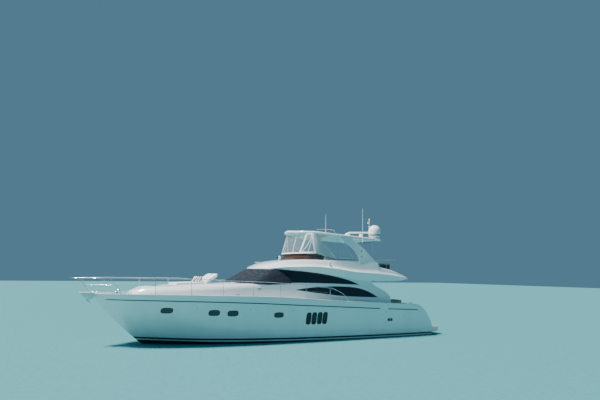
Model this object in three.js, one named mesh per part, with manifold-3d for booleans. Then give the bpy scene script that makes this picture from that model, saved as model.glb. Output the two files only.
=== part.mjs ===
// Flybridge motor yacht, 21.6 m overall. Millimetres: X towards the bow, Y to port, Z up.
// The origin is on the waterline amidships, so everything below Z = 0 is under water.
//
// The hull and deck mouldings are lofts through a short station table, with the saloon, cockpit and
// engine room cut out of them. The deckhouse is a hollow wall, the same loft made twice.

import * as THREE from 'three';
import { mergeVertices } from 'three/addons/utils/BufferGeometryUtils.js';
import Module from 'manifold-3d';

const wasm = await Module();
wasm.setup();

// Driving dimensions
const SEAT_GAP = 0.3;
const FAR = 20000;
const BULWARK_THICKNESS = 120;
const BULWARK_HEIGHT = 180;
const DECK_CAMBER = 60;
const MOULDING_SPLIT = 350;
const SALOON_SOLE_Z = 1500;
const COCKPIT_SOLE_Z = 1380;
const SOLE_THICKNESS = 40;
const PLATFORM_TOP_Z = 510;
const PLATFORM_BOTTOM_Z = 180;
const TRANSOM_X = -9960;
const PLATFORM_END_X = -10700;
const FLY_SOLE_Z = 3800;
const BULKHEAD_X = -5450;
const SILL_X = BULKHEAD_X - 140;
const WALL_THICKNESS = 60;
const GLASS_THICKNESS = 16;
const GLASS_CLEARANCE = 2;
const SALOON_HALF_WIDTH = 2030;
const SALOON_FRONT_X = 1900;
const COCKPIT_HALF_WIDTH = 2080;
const COCKPIT_AFT_X = -8550;
const ENGINE_WELL = { aft: -6100, front: -1900, halfWidth: 1700, bottom: -380 };
const ENGINE = { length: 2100, width: 1150, height: 1150, x: -3900, y: 850 };
const SHAFT = { radius: 25, bore: 26, slope: 9, y: 950, propX: -8300, propZ: -1130, length: 3250 };
const PROPELLER = { hub: 62, blades: 4, pitch: 620 };
const RUDDER = { x: -9230, stock: 35, bore: 36, chord: 480, top: -715, bottom: -1330 };
const TAB = { inner: 1180, outer: 2050, length: 340, thickness: 14 };
const ROUND_SIDES = 16;
const TUBE_SIDES = 8;

// Hull stations from the transom to the stem. Columns: x, y, z of the sheer (the gunwale's outer
// edge), x, y, z of the chine, x and z of the keel line.
const HULL_STATIONS = [
  [-8700, 2450, 1920, -9960, 2270, -280, -9930, -800],
  [-7800, 2510, 1975, -8600, 2320, -290, -8500, -880],
  [-6000, 2600, 2060, -6600, 2370, -290, -6500, -960],
  [-3100, 2700, 2200, -3500, 2390, -270, -3500, -1050],
  [440, 2720, 2430, 200, 2270, -210, 0, -1100],
  [3000, 2690, 2520, 2700, 2000, -60, 2400, -1060],
  [4700, 2600, 2550, 4300, 1700, 80, 4000, -960],
  [6400, 2380, 2585, 5800, 1250, 260, 5400, -760],
  [7800, 2060, 2600, 7000, 800, 440, 6500, -470],
  [8900, 1650, 2605, 7800, 430, 570, 7250, -180],
  [9600, 1250, 2610, 8250, 170, 645, 7680, 20],
  [10050, 780, 2610, 8420, 60, 670, 7850, 130],
  [10230, 380, 2610, 8475, 15, 678, 7910, 185],
  [10290, 0, 2610, 8490, 0, 680, 7930, 200],
];
// The transom's profile: height and x of its outer edge.
const TRANSOM_PROFILE = [
  [-900, -9960], [-300, -9960], [350, -9960], [700, -9900],
  [1160, -9620], [1540, -9300], [1800, -8980], [1920, -8700],
];
const STATION_STEPS = 2;

// Deckhouse plan points from the front centre round to the aft end. Columns: x and y at deck level,
// x, y, z at the window sill, x, y, z at the window head.
const HOUSE_POINTS = [
  [3120, 0, 3110, 0, 3280, 1760, 0, 3960],
  [3040, 700, 3010, 700, 3250, 1680, 560, 3965],
  [2800, 1350, 2730, 1350, 3180, 1400, 1130, 3970],
  [2350, 2040, 2250, 1950, 3090, 910, 1600, 3980],
  [1000, 2170, 1000, 2080, 3110, 100, 1770, 3950],
  [-500, 2180, -500, 2110, 3150, -700, 1850, 3890],
  [-2400, 2180, -2400, 2130, 3130, -2500, 1940, 3690],
  [-4200, 2170, -4200, 2130, 3080, -4200, 2040, 3520],
  [-6950, 2140, -6950, 2110, 3000, -6950, 2060, 3450],
  [-6950, 0, -6950, 0, 3000, -6950, 0, 3450],
];
const HOUSE_FOOT_Z = 1650;

// Flybridge moulding sections. Columns: x, half-width and height of the outer ledge, of the coaming's
// top and of the bottom edge, height of the ceiling, height of the crown on the centreline.
const FLY_STATIONS = [
  [1800, 0, 4005, 0, 4015, 0, 3960, 3960, 4015],
  [1740, 380, 3995, 300, 4025, 360, 3960, 3960, 4035],
  [1560, 850, 4000, 700, 4060, 820, 3950, 3950, 4100],
  [1250, 1330, 4010, 1050, 4140, 1250, 3950, 3950, 4220],
  [850, 1690, 4030, 1300, 4260, 1600, 3960, 3900, 4340],
  [300, 1980, 4080, 1550, 4400, 1780, 3930, 3800, 4440],
  [-500, 2170, 4120, 1750, 4500, 1920, 3870, 3620, 4530],
  [-1500, 2270, 4125, 1900, 4530, 2000, 3780, 3600, 4550],
  [-2640, 2340, 4050, 2000, 4530, 2080, 3620, 3600, 4530],
  [-4000, 2420, 3880, 2080, 4525, 2200, 3400, 3560, 4525],
  [-5720, 2450, 3790, 2160, 4510, 2250, 3320, 3550, 4510],
  [-5960, 2450, 3780, 2200, 4220, 2250, 3315, 3550, 4220],
  [-6840, 2420, 3700, 2230, 4020, 2220, 3320, 3530, 4020],
  [-7600, 2330, 3600, 2150, 3800, 2120, 3370, 3500, 3820],
  [-8150, 2150, 3530, 2000, 3620, 1980, 3440, 3470, 3640],
  [-8340, 1980, 3500, 1850, 3530, 1830, 3470, 3480, 3540],
];
const FLY_WELL_PLAN = [
  [-850, 0], [-900, 800], [-1200, 1400], [-1900, 1720], [-3000, 1840],
  [-5500, 1980], [-6900, 2030], [-7150, 1850], [-7200, 0],
];

// Coachroof sections: x, half-width at the foot, half-width at the top, height of the top.
const COACHROOF_STATIONS = [
  [8560, 300, 150, 2560], [8400, 700, 480, 2740], [8000, 980, 780, 2890], [7400, 1230, 1010, 2970],
  [5600, 1720, 1480, 3080], [3830, 2000, 1800, 3150], [2400, 2100, 1960, 3180], [1900, 2110, 1990, 3180],
];

// Hardtop sections: x, half-width, height of the top edge, thickness.
const HARDTOP_STATIONS = [
  [-690, 0, 6250, 60], [-760, 550, 6250, 100], [-1050, 1100, 6240, 125], [-1500, 1560, 6225, 130],
  [-1850, 1800, 6205, 130], [-2900, 1940, 6120, 135], [-4000, 1980, 6055, 140], [-5400, 1920, 5985, 130],
  [-6300, 1750, 5910, 90], [-6600, 1550, 5875, 50],
];

// Plan curves of the raised screens on the flybridge, from the centre aft along the port side.
// Columns: x and y at the bottom, x and y at the top.
const DEFLECTOR_PLAN = [
  [-640, 0, -730, 0], [-700, 600, -780, 590], [-880, 1150, -960, 1130], [-1230, 1600, -1290, 1570],
  [-1720, 1815, -1760, 1790], [-2150, 1880, -2230, 1860],
];
const ENCLOSURE_PLAN = [
  [-610, 0, -950, 0], [-680, 600, -1010, 580], [-900, 1180, -1200, 1100], [-1250, 1600, -1450, 1480],
  [-1750, 1830, -1830, 1700], [-2600, 1920, -2600, 1780], [-3400, 1970, -3100, 1800],
  [-4260, 2020, -3300, 1805],
];

// Geometry helpers

// A smooth curve through listed values: cubic between neighbours, its slope at each from both sides.
function smooth(keys, values) {
  const last = keys.length - 1;
  const slope = keys.map((_, i) => {
    const before = Math.max(i - 1, 0);
    const after = Math.min(i + 1, last);
    return (values[after] - values[before]) / (keys[after] - keys[before]);
  });
  const rising = keys[last] > keys[0] ? 1 : -1;
  return (key) => {
    let i = 0;
    while (i < last - 1 && (key - keys[i + 1]) * rising > 0) i += 1;
    const width = keys[i + 1] - keys[i];
    const t = THREE.MathUtils.clamp((key - keys[i]) / width, 0, 1);
    const keep = (1 + 2 * t) * (1 - t) ** 2;
    const next = t * t * (3 - 2 * t);
    const leave = t * (1 - t) ** 2 * width;
    const arrive = t * t * (t - 1) * width;
    return keep * values[i] + next * values[i + 1] + leave * slope[i] + arrive * slope[i + 1];
  };
}

// A closed solid from vertices and triangles; equal points are merged and empty triangles dropped.
function solidOf(positions, triangles) {
  const geometry = new THREE.BufferGeometry();
  geometry.setAttribute('position', new THREE.Float32BufferAttribute(positions.flat(), 3));
  geometry.setIndex(triangles.flat());
  return solidFrom(geometry);
}

function solidFrom(source) {
  let geometry = source.clone();
  geometry.deleteAttribute('normal');
  geometry.deleteAttribute('uv');
  geometry = mergeVertices(geometry, 1e-3);
  const index = geometry.index.array;
  const kept = [];
  for (let i = 0; i < index.length; i += 3) {
    const [a, b, c] = [index[i], index[i + 1], index[i + 2]];
    if (a !== b && b !== c && c !== a) kept.push(a, b, c);
  }
  return new wasm.Manifold(new wasm.Mesh({
    numProp: 3,
    vertProperties: new Float32Array(geometry.attributes.position.array),
    triVerts: new Uint32Array(kept),
  }));
}

function geometryOf(solid) {
  const mesh = solid.getMesh();
  const geometry = new THREE.BufferGeometry();
  geometry.setAttribute('position', new THREE.Float32BufferAttribute(mesh.vertProperties, 3));
  geometry.setIndex(new THREE.Uint32BufferAttribute(mesh.triVerts, 1));
  geometry.computeVertexNormals();
  return geometry;
}

// A body that is the same on both sides: each half ring lists port points from one centre point
// to the other, and the ends are closed across from port to starboard.
function mirroredLoft(halfRings) {
  const count = halfRings[0].length;
  const ringSize = 2 * count;
  const positions = halfRings.flatMap((ring) => [...ring, ...ring.map(([x, y, z]) => [x, -y, z]).reverse()]);
  const triangles = [];
  for (let r = 0; r < halfRings.length - 1; r += 1) {
    for (let p = 0; p < ringSize; p += 1) {
      const a = r * ringSize + p;
      const b = r * ringSize + ((p + 1) % ringSize);
      if (p < count) triangles.push([a, b, b + ringSize], [a, b + ringSize, a + ringSize]);
      else triangles.push([a, b, a + ringSize], [b, b + ringSize, a + ringSize]);
    }
  }
  const lastStart = (halfRings.length - 1) * ringSize;
  for (let p = 0; p < count - 1; p += 1) {
    const mirror = ringSize - 1 - p;
    triangles.push([p, mirror, mirror - 1], [p, mirror - 1, p + 1]);
    triangles.push([lastStart + p, lastStart + mirror - 1, lastStart + mirror]);
    triangles.push([lastStart + p, lastStart + p + 1, lastStart + mirror - 1]);
  }
  const solid = solidOf(positions, triangles);
  return solid.volume() > 0 ? solid : solidOf(positions, triangles.map(([a, b, c]) => [a, c, b]));
}

// A body through plain rings of equal size, closed at both ends by fans.
function loft(rings) {
  const size = rings[0].length;
  const positions = rings.flat();
  const triangles = [];
  for (let r = 0; r < rings.length - 1; r += 1) {
    for (let p = 0; p < size; p += 1) {
      const a = r * size + p;
      const b = r * size + ((p + 1) % size);
      triangles.push([a, b, b + size], [a, b + size, a + size]);
    }
  }
  const lastStart = (rings.length - 1) * size;
  for (let p = 1; p < size - 1; p += 1) {
    triangles.push([0, p + 1, p], [lastStart, lastStart + p, lastStart + p + 1]);
  }
  const solid = solidOf(positions, triangles);
  return solid.volume() > 0 ? solid : solidOf(positions, triangles.map(([a, b, c]) => [a, c, b]));
}

function box(x0, x1, y0, y1, z0, z1) {
  const geometry = new THREE.BoxGeometry(Math.abs(x1 - x0), Math.abs(y1 - y0), Math.abs(z1 - z0));
  geometry.translate((x0 + x1) / 2, (y0 + y1) / 2, (z0 + z1) / 2);
  return solidFrom(geometry);
}

// An outline in the side view (x, z) drawn out across the boat from y0 to y1.
function sidePrism(outline, y0, y1) {
  const shape = new THREE.Shape(outline.map(([x, z]) => new THREE.Vector2(x, z)));
  const geometry = new THREE.ExtrudeGeometry(shape, { depth: y1 - y0, bevelEnabled: false });
  geometry.rotateX(Math.PI / 2);
  geometry.translate(0, y1, 0);
  return solidFrom(geometry);
}

// An outline in plan (x, y) drawn up from z0 to z1.
function planPrism(outline, z0, z1) {
  const shape = new THREE.Shape(outline.map(([x, y]) => new THREE.Vector2(x, y)));
  const geometry = new THREE.ExtrudeGeometry(shape, { depth: z1 - z0, bevelEnabled: false });
  geometry.translate(0, 0, z0);
  return solidFrom(geometry);
}

// An outline seen from ahead (y, z) drawn out along the boat from x0 to x1.
function frontPrism(outline, x0, x1) {
  const shape = new THREE.Shape(outline.map(([y, z]) => new THREE.Vector2(y, z)));
  const geometry = new THREE.ExtrudeGeometry(shape, { depth: x1 - x0, bevelEnabled: false });
  geometry.rotateX(Math.PI / 2);
  geometry.rotateZ(Math.PI / 2);
  geometry.translate(x0, 0, 0);
  return solidFrom(geometry);
}

function withMirror(outline) {
  const inner = outline.filter(([, y]) => Math.abs(y) > 1e-6);
  return [...outline, ...inner.reverse().map(([x, y]) => [x, -y])];
}

function rod(from, to, radius, sides = ROUND_SIDES, endRadius = radius) {
  const start = new THREE.Vector3(...from);
  const end = new THREE.Vector3(...to);
  const length = start.distanceTo(end);
  const geometry = new THREE.CylinderGeometry(endRadius, radius, length, sides);
  const turn = new THREE.Quaternion().setFromUnitVectors(
    new THREE.Vector3(0, 1, 0), end.clone().sub(start).normalize());
  geometry.applyQuaternion(turn);
  geometry.translate(...start.clone().add(end).multiplyScalar(0.5).toArray());
  return solidFrom(geometry);
}

// A bent tube through the listed points.
function tube(points, radius, steps, sides = TUBE_SIDES) {
  const path = new THREE.CatmullRomCurve3(points.map((p) => new THREE.Vector3(...p)), false, 'centripetal');
  const section = new THREE.Shape();
  for (let i = 0; i < sides; i += 1) {
    const angle = 2 * Math.PI * i / sides;
    const move = i === 0 ? 'moveTo' : 'lineTo';
    section[move](radius * Math.cos(angle), radius * Math.sin(angle));
  }
  return solidFrom(new THREE.ExtrudeGeometry(section, { steps, extrudePath: path, bevelEnabled: false }));
}

// A rail of straight tubes between the listed points.
function railing(points, radius) {
  return joined(points.slice(1).map((point, i) => rod(points[i], point, radius, TUBE_SIDES)));
}

function lathe(profile, sides = ROUND_SIDES) {
  const geometry = new THREE.LatheGeometry(profile.map(([r, z]) => new THREE.Vector2(r, z)), sides);
  geometry.rotateX(Math.PI / 2);
  return solidFrom(geometry);
}

function joined(pieces) {
  return pieces.reduce((sum, piece) => sum.add(piece));
}

function flipped(solid) {
  return solid.mirror([0, 1, 0]);
}

// Sampled lines of the hull

const stationKeys = HULL_STATIONS.map((_, i) => i);
const hullLines = HULL_STATIONS[0].map((_, column) => smooth(
  stationKeys, HULL_STATIONS.map((row) => row[column])));
const transomX = smooth(TRANSOM_PROFILE.map(([z]) => z), TRANSOM_PROFILE.map(([, x]) => x));
const sheerX = HULL_STATIONS.map((row) => row[0]);
const sheerY = smooth(sheerX, HULL_STATIONS.map((row) => row[1]));
const sheerZ = smooth(sheerX, HULL_STATIONS.map((row) => row[2]));

// Half a hull section: keel, bottom, chine, flared topside, sheer, centre. The topsides bulge a little
// aft and are hollow forward; the stem is slightly convex.
function hullSection(u) {
  const [xs, ys, zs, xc, yc, zc, xk, zk] = hullLines.map((line) => line(u));
  const forward = u / (HULL_STATIONS.length - 1);
  const hollow = THREE.MathUtils.lerp(0.9, 1.3, forward ** 2);
  const stemBulge = 130 * forward ** 4;
  const ring = [[xk, 0, zk]];
  ring.push([(xk + xc) / 2, yc * 0.5, THREE.MathUtils.lerp(zk, zc, 0.5) - 25 * (1 - forward)]);
  ring.push([xc, Math.max(yc, 0), zc]);
  for (const t of [0.22, 0.44, 0.66, 0.84]) {
    const z = THREE.MathUtils.lerp(zc, zs, t);
    const x = THREE.MathUtils.lerp(xc, xs, t) + stemBulge * Math.sin(Math.PI * t);
    ring.push([x, Math.max(THREE.MathUtils.lerp(yc, ys, t ** hollow), 0), z]);
  }
  ring.push([xs, Math.max(ys, 0), zs], [xs, 0, zs]);
  return u > 0 ? ring : ring.map(([, y, z]) => [transomX(z), y, z]);
}

function hullRings() {
  const steps = (HULL_STATIONS.length - 1) * STATION_STEPS;
  return Array.from({ length: steps + 1 }, (_, i) => hullSection(i / STATION_STEPS));
}

// The space above the side decks, inside the bulwarks.
function deckRecess() {
  const stations = [-8450, -7600, -6400, -4800, -3100, -1300, 440, 1800, 3000, 4700, 6400, 7800, 8900, 9450];
  return mirroredLoft(stations.map((x) => {
    const inner = sheerY(x) - BULWARK_THICKNESS - 60 * THREE.MathUtils.smoothstep(x, 7000, 9450);
    const deck = sheerZ(x) - BULWARK_HEIGHT;
    const over = sheerZ(x) + 400;
    return [[x, 0, deck + DECK_CAMBER], [x, inner - 40, deck], [x, inner, over], [x, 0, over]];
  }));
}

function deckHeight(x) {
  return sheerZ(x) - BULWARK_HEIGHT;
}

// Everything above the joint of hull and deck mouldings, lifted or lowered by an amount.
function aboveJoint(lift) {
  const stations = [-11000, -8700, -6850, -3100, 440, 3000, 6400, 9700, 11000];
  return mirroredLoft(stations.map((x) => {
    const clamped = THREE.MathUtils.clamp(x, -8700, 10200);
    const joint = sheerZ(clamped) - MOULDING_SPLIT + lift;
    return [[x, 0, joint], [x, 4000, joint], [x, 4000, 9000], [x, 0, 9000]];
  }));
}

// Stair notches on both sides of the transom, from the platform up to the cockpit.
const STEP_INNER_Y = 1330;
const STEP_OUTER_Y = 2080;
function transomSteps() {
  const treads = [[-9990, PLATFORM_TOP_Z], [-9500, 800], [-9210, 1090], [-8920, COCKPIT_SOLE_Z]];
  const pieces = treads.map(([aft, level], i) => {
    const front = i < treads.length - 1 ? treads[i + 1][0] + 1 : COCKPIT_AFT_X + 5;
    return box(aft - (i === 0 ? 200 : 0), front, STEP_INNER_Y, STEP_OUTER_Y, level, 4000);
  });
  const port = joined(pieces);
  return port.add(flipped(port));
}

// The deckhouse as a solid block, its sides moved inwards by the inset. An inner block reaches past
// the outer one at the foot, the roof and the aft end, so that taking it away leaves open walls.
function house(inset) {
  const lastSide = HOUSE_POINTS.length - 2;
  const outward = (points, i) => {
    if (i === 0) return [1, 0];
    if (i === lastSide) return [0, 1];
    const before = points[i - 1];
    const after = points[Math.min(i + 1, lastSide)];
    const along = new THREE.Vector2(after[0] - before[0], after[1] - before[1]).normalize();
    return [along.y, -along.x];
  };
  const ring = (cx, cy, height) => {
    const points = HOUSE_POINTS.map((row) => [row[cx], row[cy]]);
    return HOUSE_POINTS.map((row, i) => {
      const [nx, ny] = i > lastSide ? [0, 0] : outward(points, i);
      const x = i >= lastSide ? row[cx] - Math.sign(inset) * 200 : row[cx] - inset * nx;
      return [x, Math.max(row[cy] - inset * ny, 0), height(row)];
    });
  };
  const foot = ring(0, 1, () => HOUSE_FOOT_Z - (inset > 0 ? 100 : 0));
  const sill = ring(2, 3, (row) => row[4]);
  const head = ring(5, 6, (row) => row[7]);
  if (inset <= 0) return mirroredLoft([foot, sill, head]);
  return mirroredLoft([foot, sill, head, head.map(([x, y, z]) => [x, y, z + 400])]);
}

const UPPER_WINDOW = [
  [1880, 3175], [720, 3900], [-600, 3850], [-1300, 3790], [-2640, 3610], [-3800, 3360], [-4500, 3110],
  [-2400, 3180], [-500, 3210], [1000, 3175],
];
const LOWER_WINDOW = [
  [-230, 2810], [-1250, 2930], [-2160, 2980], [-3150, 2995], [-4360, 2910], [-5200, 2680], [-5880, 2350],
  [-4740, 2390], [-3120, 2470], [-2140, 2580], [-1190, 2680],
];
// The space behind the raked aft edge of the deckhouse sides.
const BEHIND_HOUSE = [
  [-5250, 4000], [-5480, 3200], [-6150, 2850], [-6670, 2540], [-6820, 2350], [-6880, 1990], [-6880, 1500],
  [-7500, 1500], [-7500, 4000],
];

// Shrinks an outline towards its middle line by moving each edge inwards.
function shrunk(outline, by) {
  const area = outline.reduce((sum, [x, z], i) => {
    const [nx, nz] = outline[(i + 1) % outline.length];
    return sum + x * nz - nx * z;
  }, 0);
  const turn = Math.sign(area);
  return outline.map((point, i) => {
    const before = outline[(i + outline.length - 1) % outline.length];
    const after = outline[(i + 1) % outline.length];
    const a = new THREE.Vector2(point[0] - before[0], point[1] - before[1]).normalize();
    const b = new THREE.Vector2(after[0] - point[0], after[1] - point[1]).normalize();
    const na = new THREE.Vector2(-a.y, a.x).multiplyScalar(turn);
    const nb = new THREE.Vector2(-b.y, b.x).multiplyScalar(turn);
    const middle = na.clone().add(nb).normalize();
    const reach = by / Math.max(middle.dot(na), 0.35);
    return [point[0] + middle.x * reach, point[1] + middle.y * reach];
  });
}

const WINDSCREEN_PANES = [
  [[-600, 3330], [600, 3330], [520, 3925], [-520, 3925]],
  [[690, 3320], [1560, 3235], [1290, 3900], [610, 3925]],
  [[-690, 3320], [-610, 3925], [-1290, 3900], [-1560, 3235]],
];

const WINDSCREEN_OUTLINE = [
  [-1600, 3210], [-700, 3290], [700, 3290], [1600, 3210],
  [1330, 3920], [600, 3945], [-600, 3945], [-1330, 3920],
];

// Main mouldings

const hullBlank = mirroredLoft(hullRings());
const saloonWell = box(SILL_X, SALOON_FRONT_X, -SALOON_HALF_WIDTH, SALOON_HALF_WIDTH,
  SALOON_SOLE_Z - SOLE_THICKNESS, FAR);
const cockpitWell = box(COCKPIT_AFT_X, SILL_X + 1, -COCKPIT_HALF_WIDTH, COCKPIT_HALF_WIDTH,
  COCKPIT_SOLE_Z - SOLE_THICKNESS, FAR);
const engineWell = box(
  ENGINE_WELL.aft, ENGINE_WELL.front, -ENGINE_WELL.halfWidth, ENGINE_WELL.halfWidth, ENGINE_WELL.bottom, FAR);
const wells = joined([saloonWell, cockpitWell, engineWell, transomSteps()]);

function shaftPoint(distance, side) {
  const slope = THREE.MathUtils.degToRad(SHAFT.slope);
  return [SHAFT.propX + distance * Math.cos(slope), side * SHAFT.y, SHAFT.propZ + distance * Math.sin(slope)];
}

function sternTube(side) {
  return rod(shaftPoint(2250, side), shaftPoint(4000, side), 62);
}

function boresOf(side) {
  const shaftBore = rod(shaftPoint(2000, side), shaftPoint(SHAFT.length + 60, side), SHAFT.bore);
  const rudderBore = rod([RUDDER.x, side * SHAFT.y, -900], [RUDDER.x, side * SHAFT.y, -420], RUDDER.bore);
  return shaftBore.add(rudderBore);
}

const lowerBlank = hullBlank.subtract(aboveJoint(-SEAT_GAP / 2));
// The middle of the transom, between the stairs, belongs to the hull up to the cockpit's coaming.
const transomMiddle = hullBlank.intersect(
  box(-FAR, COCKPIT_AFT_X, -STEP_INNER_Y, STEP_INNER_Y, -FAR, FAR));
const hull = [1, -1].reduce((sum, side) => sum.add(sternTube(side)), lowerBlank.add(transomMiddle))
  .subtract(wells)
  .subtract(boresOf(1))
  .subtract(boresOf(-1));

const coachroof = mirroredLoft(COACHROOF_STATIONS.map(([x, foot, top, height]) => [
  [x, 0, 2100], [x, foot, 2100], [x, foot - 20, height - 260], [x, top, height - 50],
  [x, top * 0.55, height - 10], [x, 0, height]]));
const HATCH = { x0: 6700, x1: 7300, half: 300, seatZ: 2975, top: 3010, clearance: 6 };
const hatchPocket = box(HATCH.x0 - HATCH.clearance, HATCH.x1 + HATCH.clearance,
  -HATCH.half - HATCH.clearance, HATCH.half + HATCH.clearance, HATCH.seatZ, FAR);

const upperBlank = hullBlank.intersect(aboveJoint(SEAT_GAP / 2));
const deck = upperBlank.subtract(deckRecess()).add(coachroof.intersect(aboveJoint(60)))
  .subtract(box(-FAR, COCKPIT_AFT_X + 1, -STEP_INNER_Y - 1, STEP_INNER_Y + 1, -FAR, FAR))
  .subtract(wells)
  .subtract(hatchPocket);
// What stands on the boat is cut to this block, lifted by the seating gap.
const underDeck = hullBlank.subtract(deckRecess()).add(coachroof).translate([0, 0, SEAT_GAP]);
const underDeckOpen = underDeck.subtract(wells);

// The ceiling rises a little to the centreline, and its sides step down to the bottom edge.
const flyBlank = mirroredLoft(FLY_STATIONS.map(([x, yL, zL, yT, zT, yB, zB, ceiling, crown]) => [
  [x, 0, ceiling + yB / 100], [x, Math.max(yB - 380, 0), ceiling],
  [x, Math.max(yB - 300, 0), zB], [x, yB, zB],
  [x, yL, zL - 30], [x, yL, zL], [x, yL * 0.55 + yT * 0.45, THREE.MathUtils.lerp(zL, zT, 0.35)],
  [x, yT, zT], [x, yT * 0.5, THREE.MathUtils.lerp(zT, crown, 0.8)], [x, 0, crown]]));
const flyWell = planPrism(withMirror(FLY_WELL_PLAN), FLY_SOLE_Z, 6000);
const STAIR_WELL = { x0: -7000, x1: -5950, y0: -1750, y1: -1150 };
const stairHole = box(STAIR_WELL.x0, STAIR_WELL.x1, STAIR_WELL.y0, STAIR_WELL.y1, 3000, 4000);
const flybridge = flyBlank.subtract(flyWell).subtract(stairHole);

const windowCuts = joined([
  sidePrism(UPPER_WINDOW, 1300, 3000), sidePrism(LOWER_WINDOW, 1300, 3000),
  sidePrism(UPPER_WINDOW, -3000, -1300), sidePrism(LOWER_WINDOW, -3000, -1300),
  ...WINDSCREEN_PANES.map((pane) => frontPrism(pane, 1150, 3600)),
]);
const houseShell = house(0).subtract(house(WALL_THICKNESS));
const screenRebate = house(-50).subtract(house(GLASS_CLEARANCE + GLASS_THICKNESS + SEAT_GAP))
  .intersect(frontPrism(WINDSCREEN_OUTLINE, 1150, 3600));
const deckhouse = houseShell
  .subtract(windowCuts)
  .subtract(screenRebate)
  .subtract(sidePrism(BEHIND_HOUSE, -3000, 3000))
  .subtract(underDeck)
  .subtract(flyBlank.translate([0, 0, -SEAT_GAP]));

const glassSkin = house(GLASS_CLEARANCE).subtract(house(GLASS_CLEARANCE + GLASS_THICKNESS));
const glassLimit = glassSkin.subtract(flyBlank.translate([0, 0, -SEAT_GAP]));
const upperGlass = glassLimit.intersect(sidePrism(shrunk(UPPER_WINDOW, SEAT_GAP), 1300, 3000));
const lowerGlass = glassLimit.intersect(sidePrism(shrunk(LOWER_WINDOW, SEAT_GAP), 1300, 3000));
const windscreen = glassLimit.intersect(frontPrism(shrunk(WINDSCREEN_OUTLINE, SEAT_GAP), 1150, 3600));

// The cover over the windscreen and the front of the side windows
const COVER = { clearance: 0.4, thickness: 14, aftX: 140 };
const coverZone = sidePrism([[4000, 3290], [4000, 3950], [900, 3935], [COVER.aftX, 3905], [COVER.aftX, 3150],
  [1500, 3100], [2300, 3130], [3000, 3255]], -3000, 3000);
const screenCover = house(-COVER.clearance - COVER.thickness).subtract(house(-COVER.clearance))
  .intersect(coverZone)
  .subtract(flyBlank.translate([0, 0, -SEAT_GAP]))
  .subtract(underDeck);

// Aft bulkhead with a fixed pane to port and a sliding door to starboard of the centre
const DOOR = { y0: -1000, y1: 60, z0: SALOON_SOLE_Z, z1: 3440, thickness: 40, x: BULKHEAD_X - 105 };
const bulkheadSlab = box(BULKHEAD_X - 50, BULKHEAD_X, -2200, 2200, SALOON_SOLE_Z, 3900)
  .subtract(box(BULKHEAD_X - 200, BULKHEAD_X + 200, -950, 0, SALOON_SOLE_Z + 20, 3400))
  .subtract(box(BULKHEAD_X - 200, BULKHEAD_X + 200, 60, 1750, 2000, 3380))
  .subtract(box(BULKHEAD_X - 200, BULKHEAD_X + 200, -1750, -1010, 2000, 3380));
const bulkhead = bulkheadSlab.intersect(house(WALL_THICKNESS + SEAT_GAP))
  .subtract(flyBlank.translate([0, 0, -SEAT_GAP]))
  .subtract(underDeckOpen.translate([0, SEAT_GAP, 0]))
  .subtract(underDeckOpen.translate([0, -SEAT_GAP, 0]));

// Hardtop with its two arch legs
const hardtopSlab = mirroredLoft(HARDTOP_STATIONS.map(([x, y, z, thick]) => [
  [x, 0, z + 50 - thick], [x, Math.max(y - 60, 0), z - thick], [x, y, z - thick * 0.5],
  [x, Math.max(y - 30, 0), z], [x, y * 0.5, z + 40], [x, 0, z + 50]]));
const LEG_OUTLINE = [
  [-3250, 5990], [-3730, 5540], [-3880, 5480], [-4140, 5240], [-4400, 4880], [-4480, 4660], [-4560, 4400],
  [-5760, 4400], [-5720, 4510], [-5380, 4820], [-5070, 5150], [-4500, 5570], [-4250, 5700], [-4000, 6000],
];
const LEG = { thickness: 120, footY: 2165, lean: 0.13, footZ: 4400 };
function archLeg() {
  const upright = sidePrism(LEG_OUTLINE, LEG.footY - LEG.thickness, LEG.footY);
  return upright.warp((v) => { v[1] -= LEG.lean * (v[2] - LEG.footZ); });
}
const PLINTH_TOP_Z = 5990;
const plinth = sidePrism([
  [-6560, 5850], [-5900, 5850], [-5700, PLINTH_TOP_Z], [-6560, PLINTH_TOP_Z]], -900, 1560);
const hardtop = joined([hardtopSlab, archLeg(), flipped(archLeg()), plinth])
  .subtract(flyBlank.translate([0, 0, SEAT_GAP]));

// A thin upright wall along a plan curve, both sides, between two heights.
function screenWall(plan, bottomZ, topZ, thickness) {
  const port = plan.map(([xb, yb, xt, yt], i) => {
    const before = plan[Math.max(i - 1, 0)];
    const after = plan[Math.min(i + 1, plan.length - 1)];
    const along = i === 0 ? new THREE.Vector2(0, 1)
      : new THREE.Vector2(after[0] - before[0], after[1] - before[1]).normalize();
    const inwardX = -along.y * thickness;
    const inwardY = along.x * thickness;
    return [
      [xb, yb, bottomZ(i)], [xt, yt, topZ(i)],
      [xt + inwardX, Math.max(yt + inwardY, 0), topZ(i)],
      [xb + inwardX, Math.max(yb + inwardY, 0), bottomZ(i)],
    ];
  });
  const starboard = port.slice(1).map((ring) => ring.map(([x, y, z]) => [x, -y, z]));
  return loft([...starboard.reverse(), ...port]);
}
const deflectorTop = 4900;
const deflector = screenWall(DEFLECTOR_PLAN, () => 4380, (i) => (i === 5 ? 4770 : deflectorTop), 12)
  .subtract(flyBlank.translate([0, 0, SEAT_GAP]));
const slabTop = smooth(HARDTOP_STATIONS.map(([x]) => x), HARDTOP_STATIONS.map(([, , z]) => z));
const enclosure = screenWall(ENCLOSURE_PLAN, (i) => (i < 5 ? deflectorTop + SEAT_GAP : 4540),
  (i) => slabTop(ENCLOSURE_PLAN[i][2]) - 70, 14)
  .subtract(flyBlank.translate([0, 0, SEAT_GAP]))
  .subtract(deflector.translate([0, 0, SEAT_GAP]))
  .subtract(deflector.translate([0, SEAT_GAP, 0]))
  .subtract(deflector.translate([0, -SEAT_GAP, 0]))
  .subtract(hardtopSlab.translate([0, 0, -SEAT_GAP]))
  .subtract(archLeg().add(flipped(archLeg())).translate([SEAT_GAP, 0, 0]));

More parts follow.
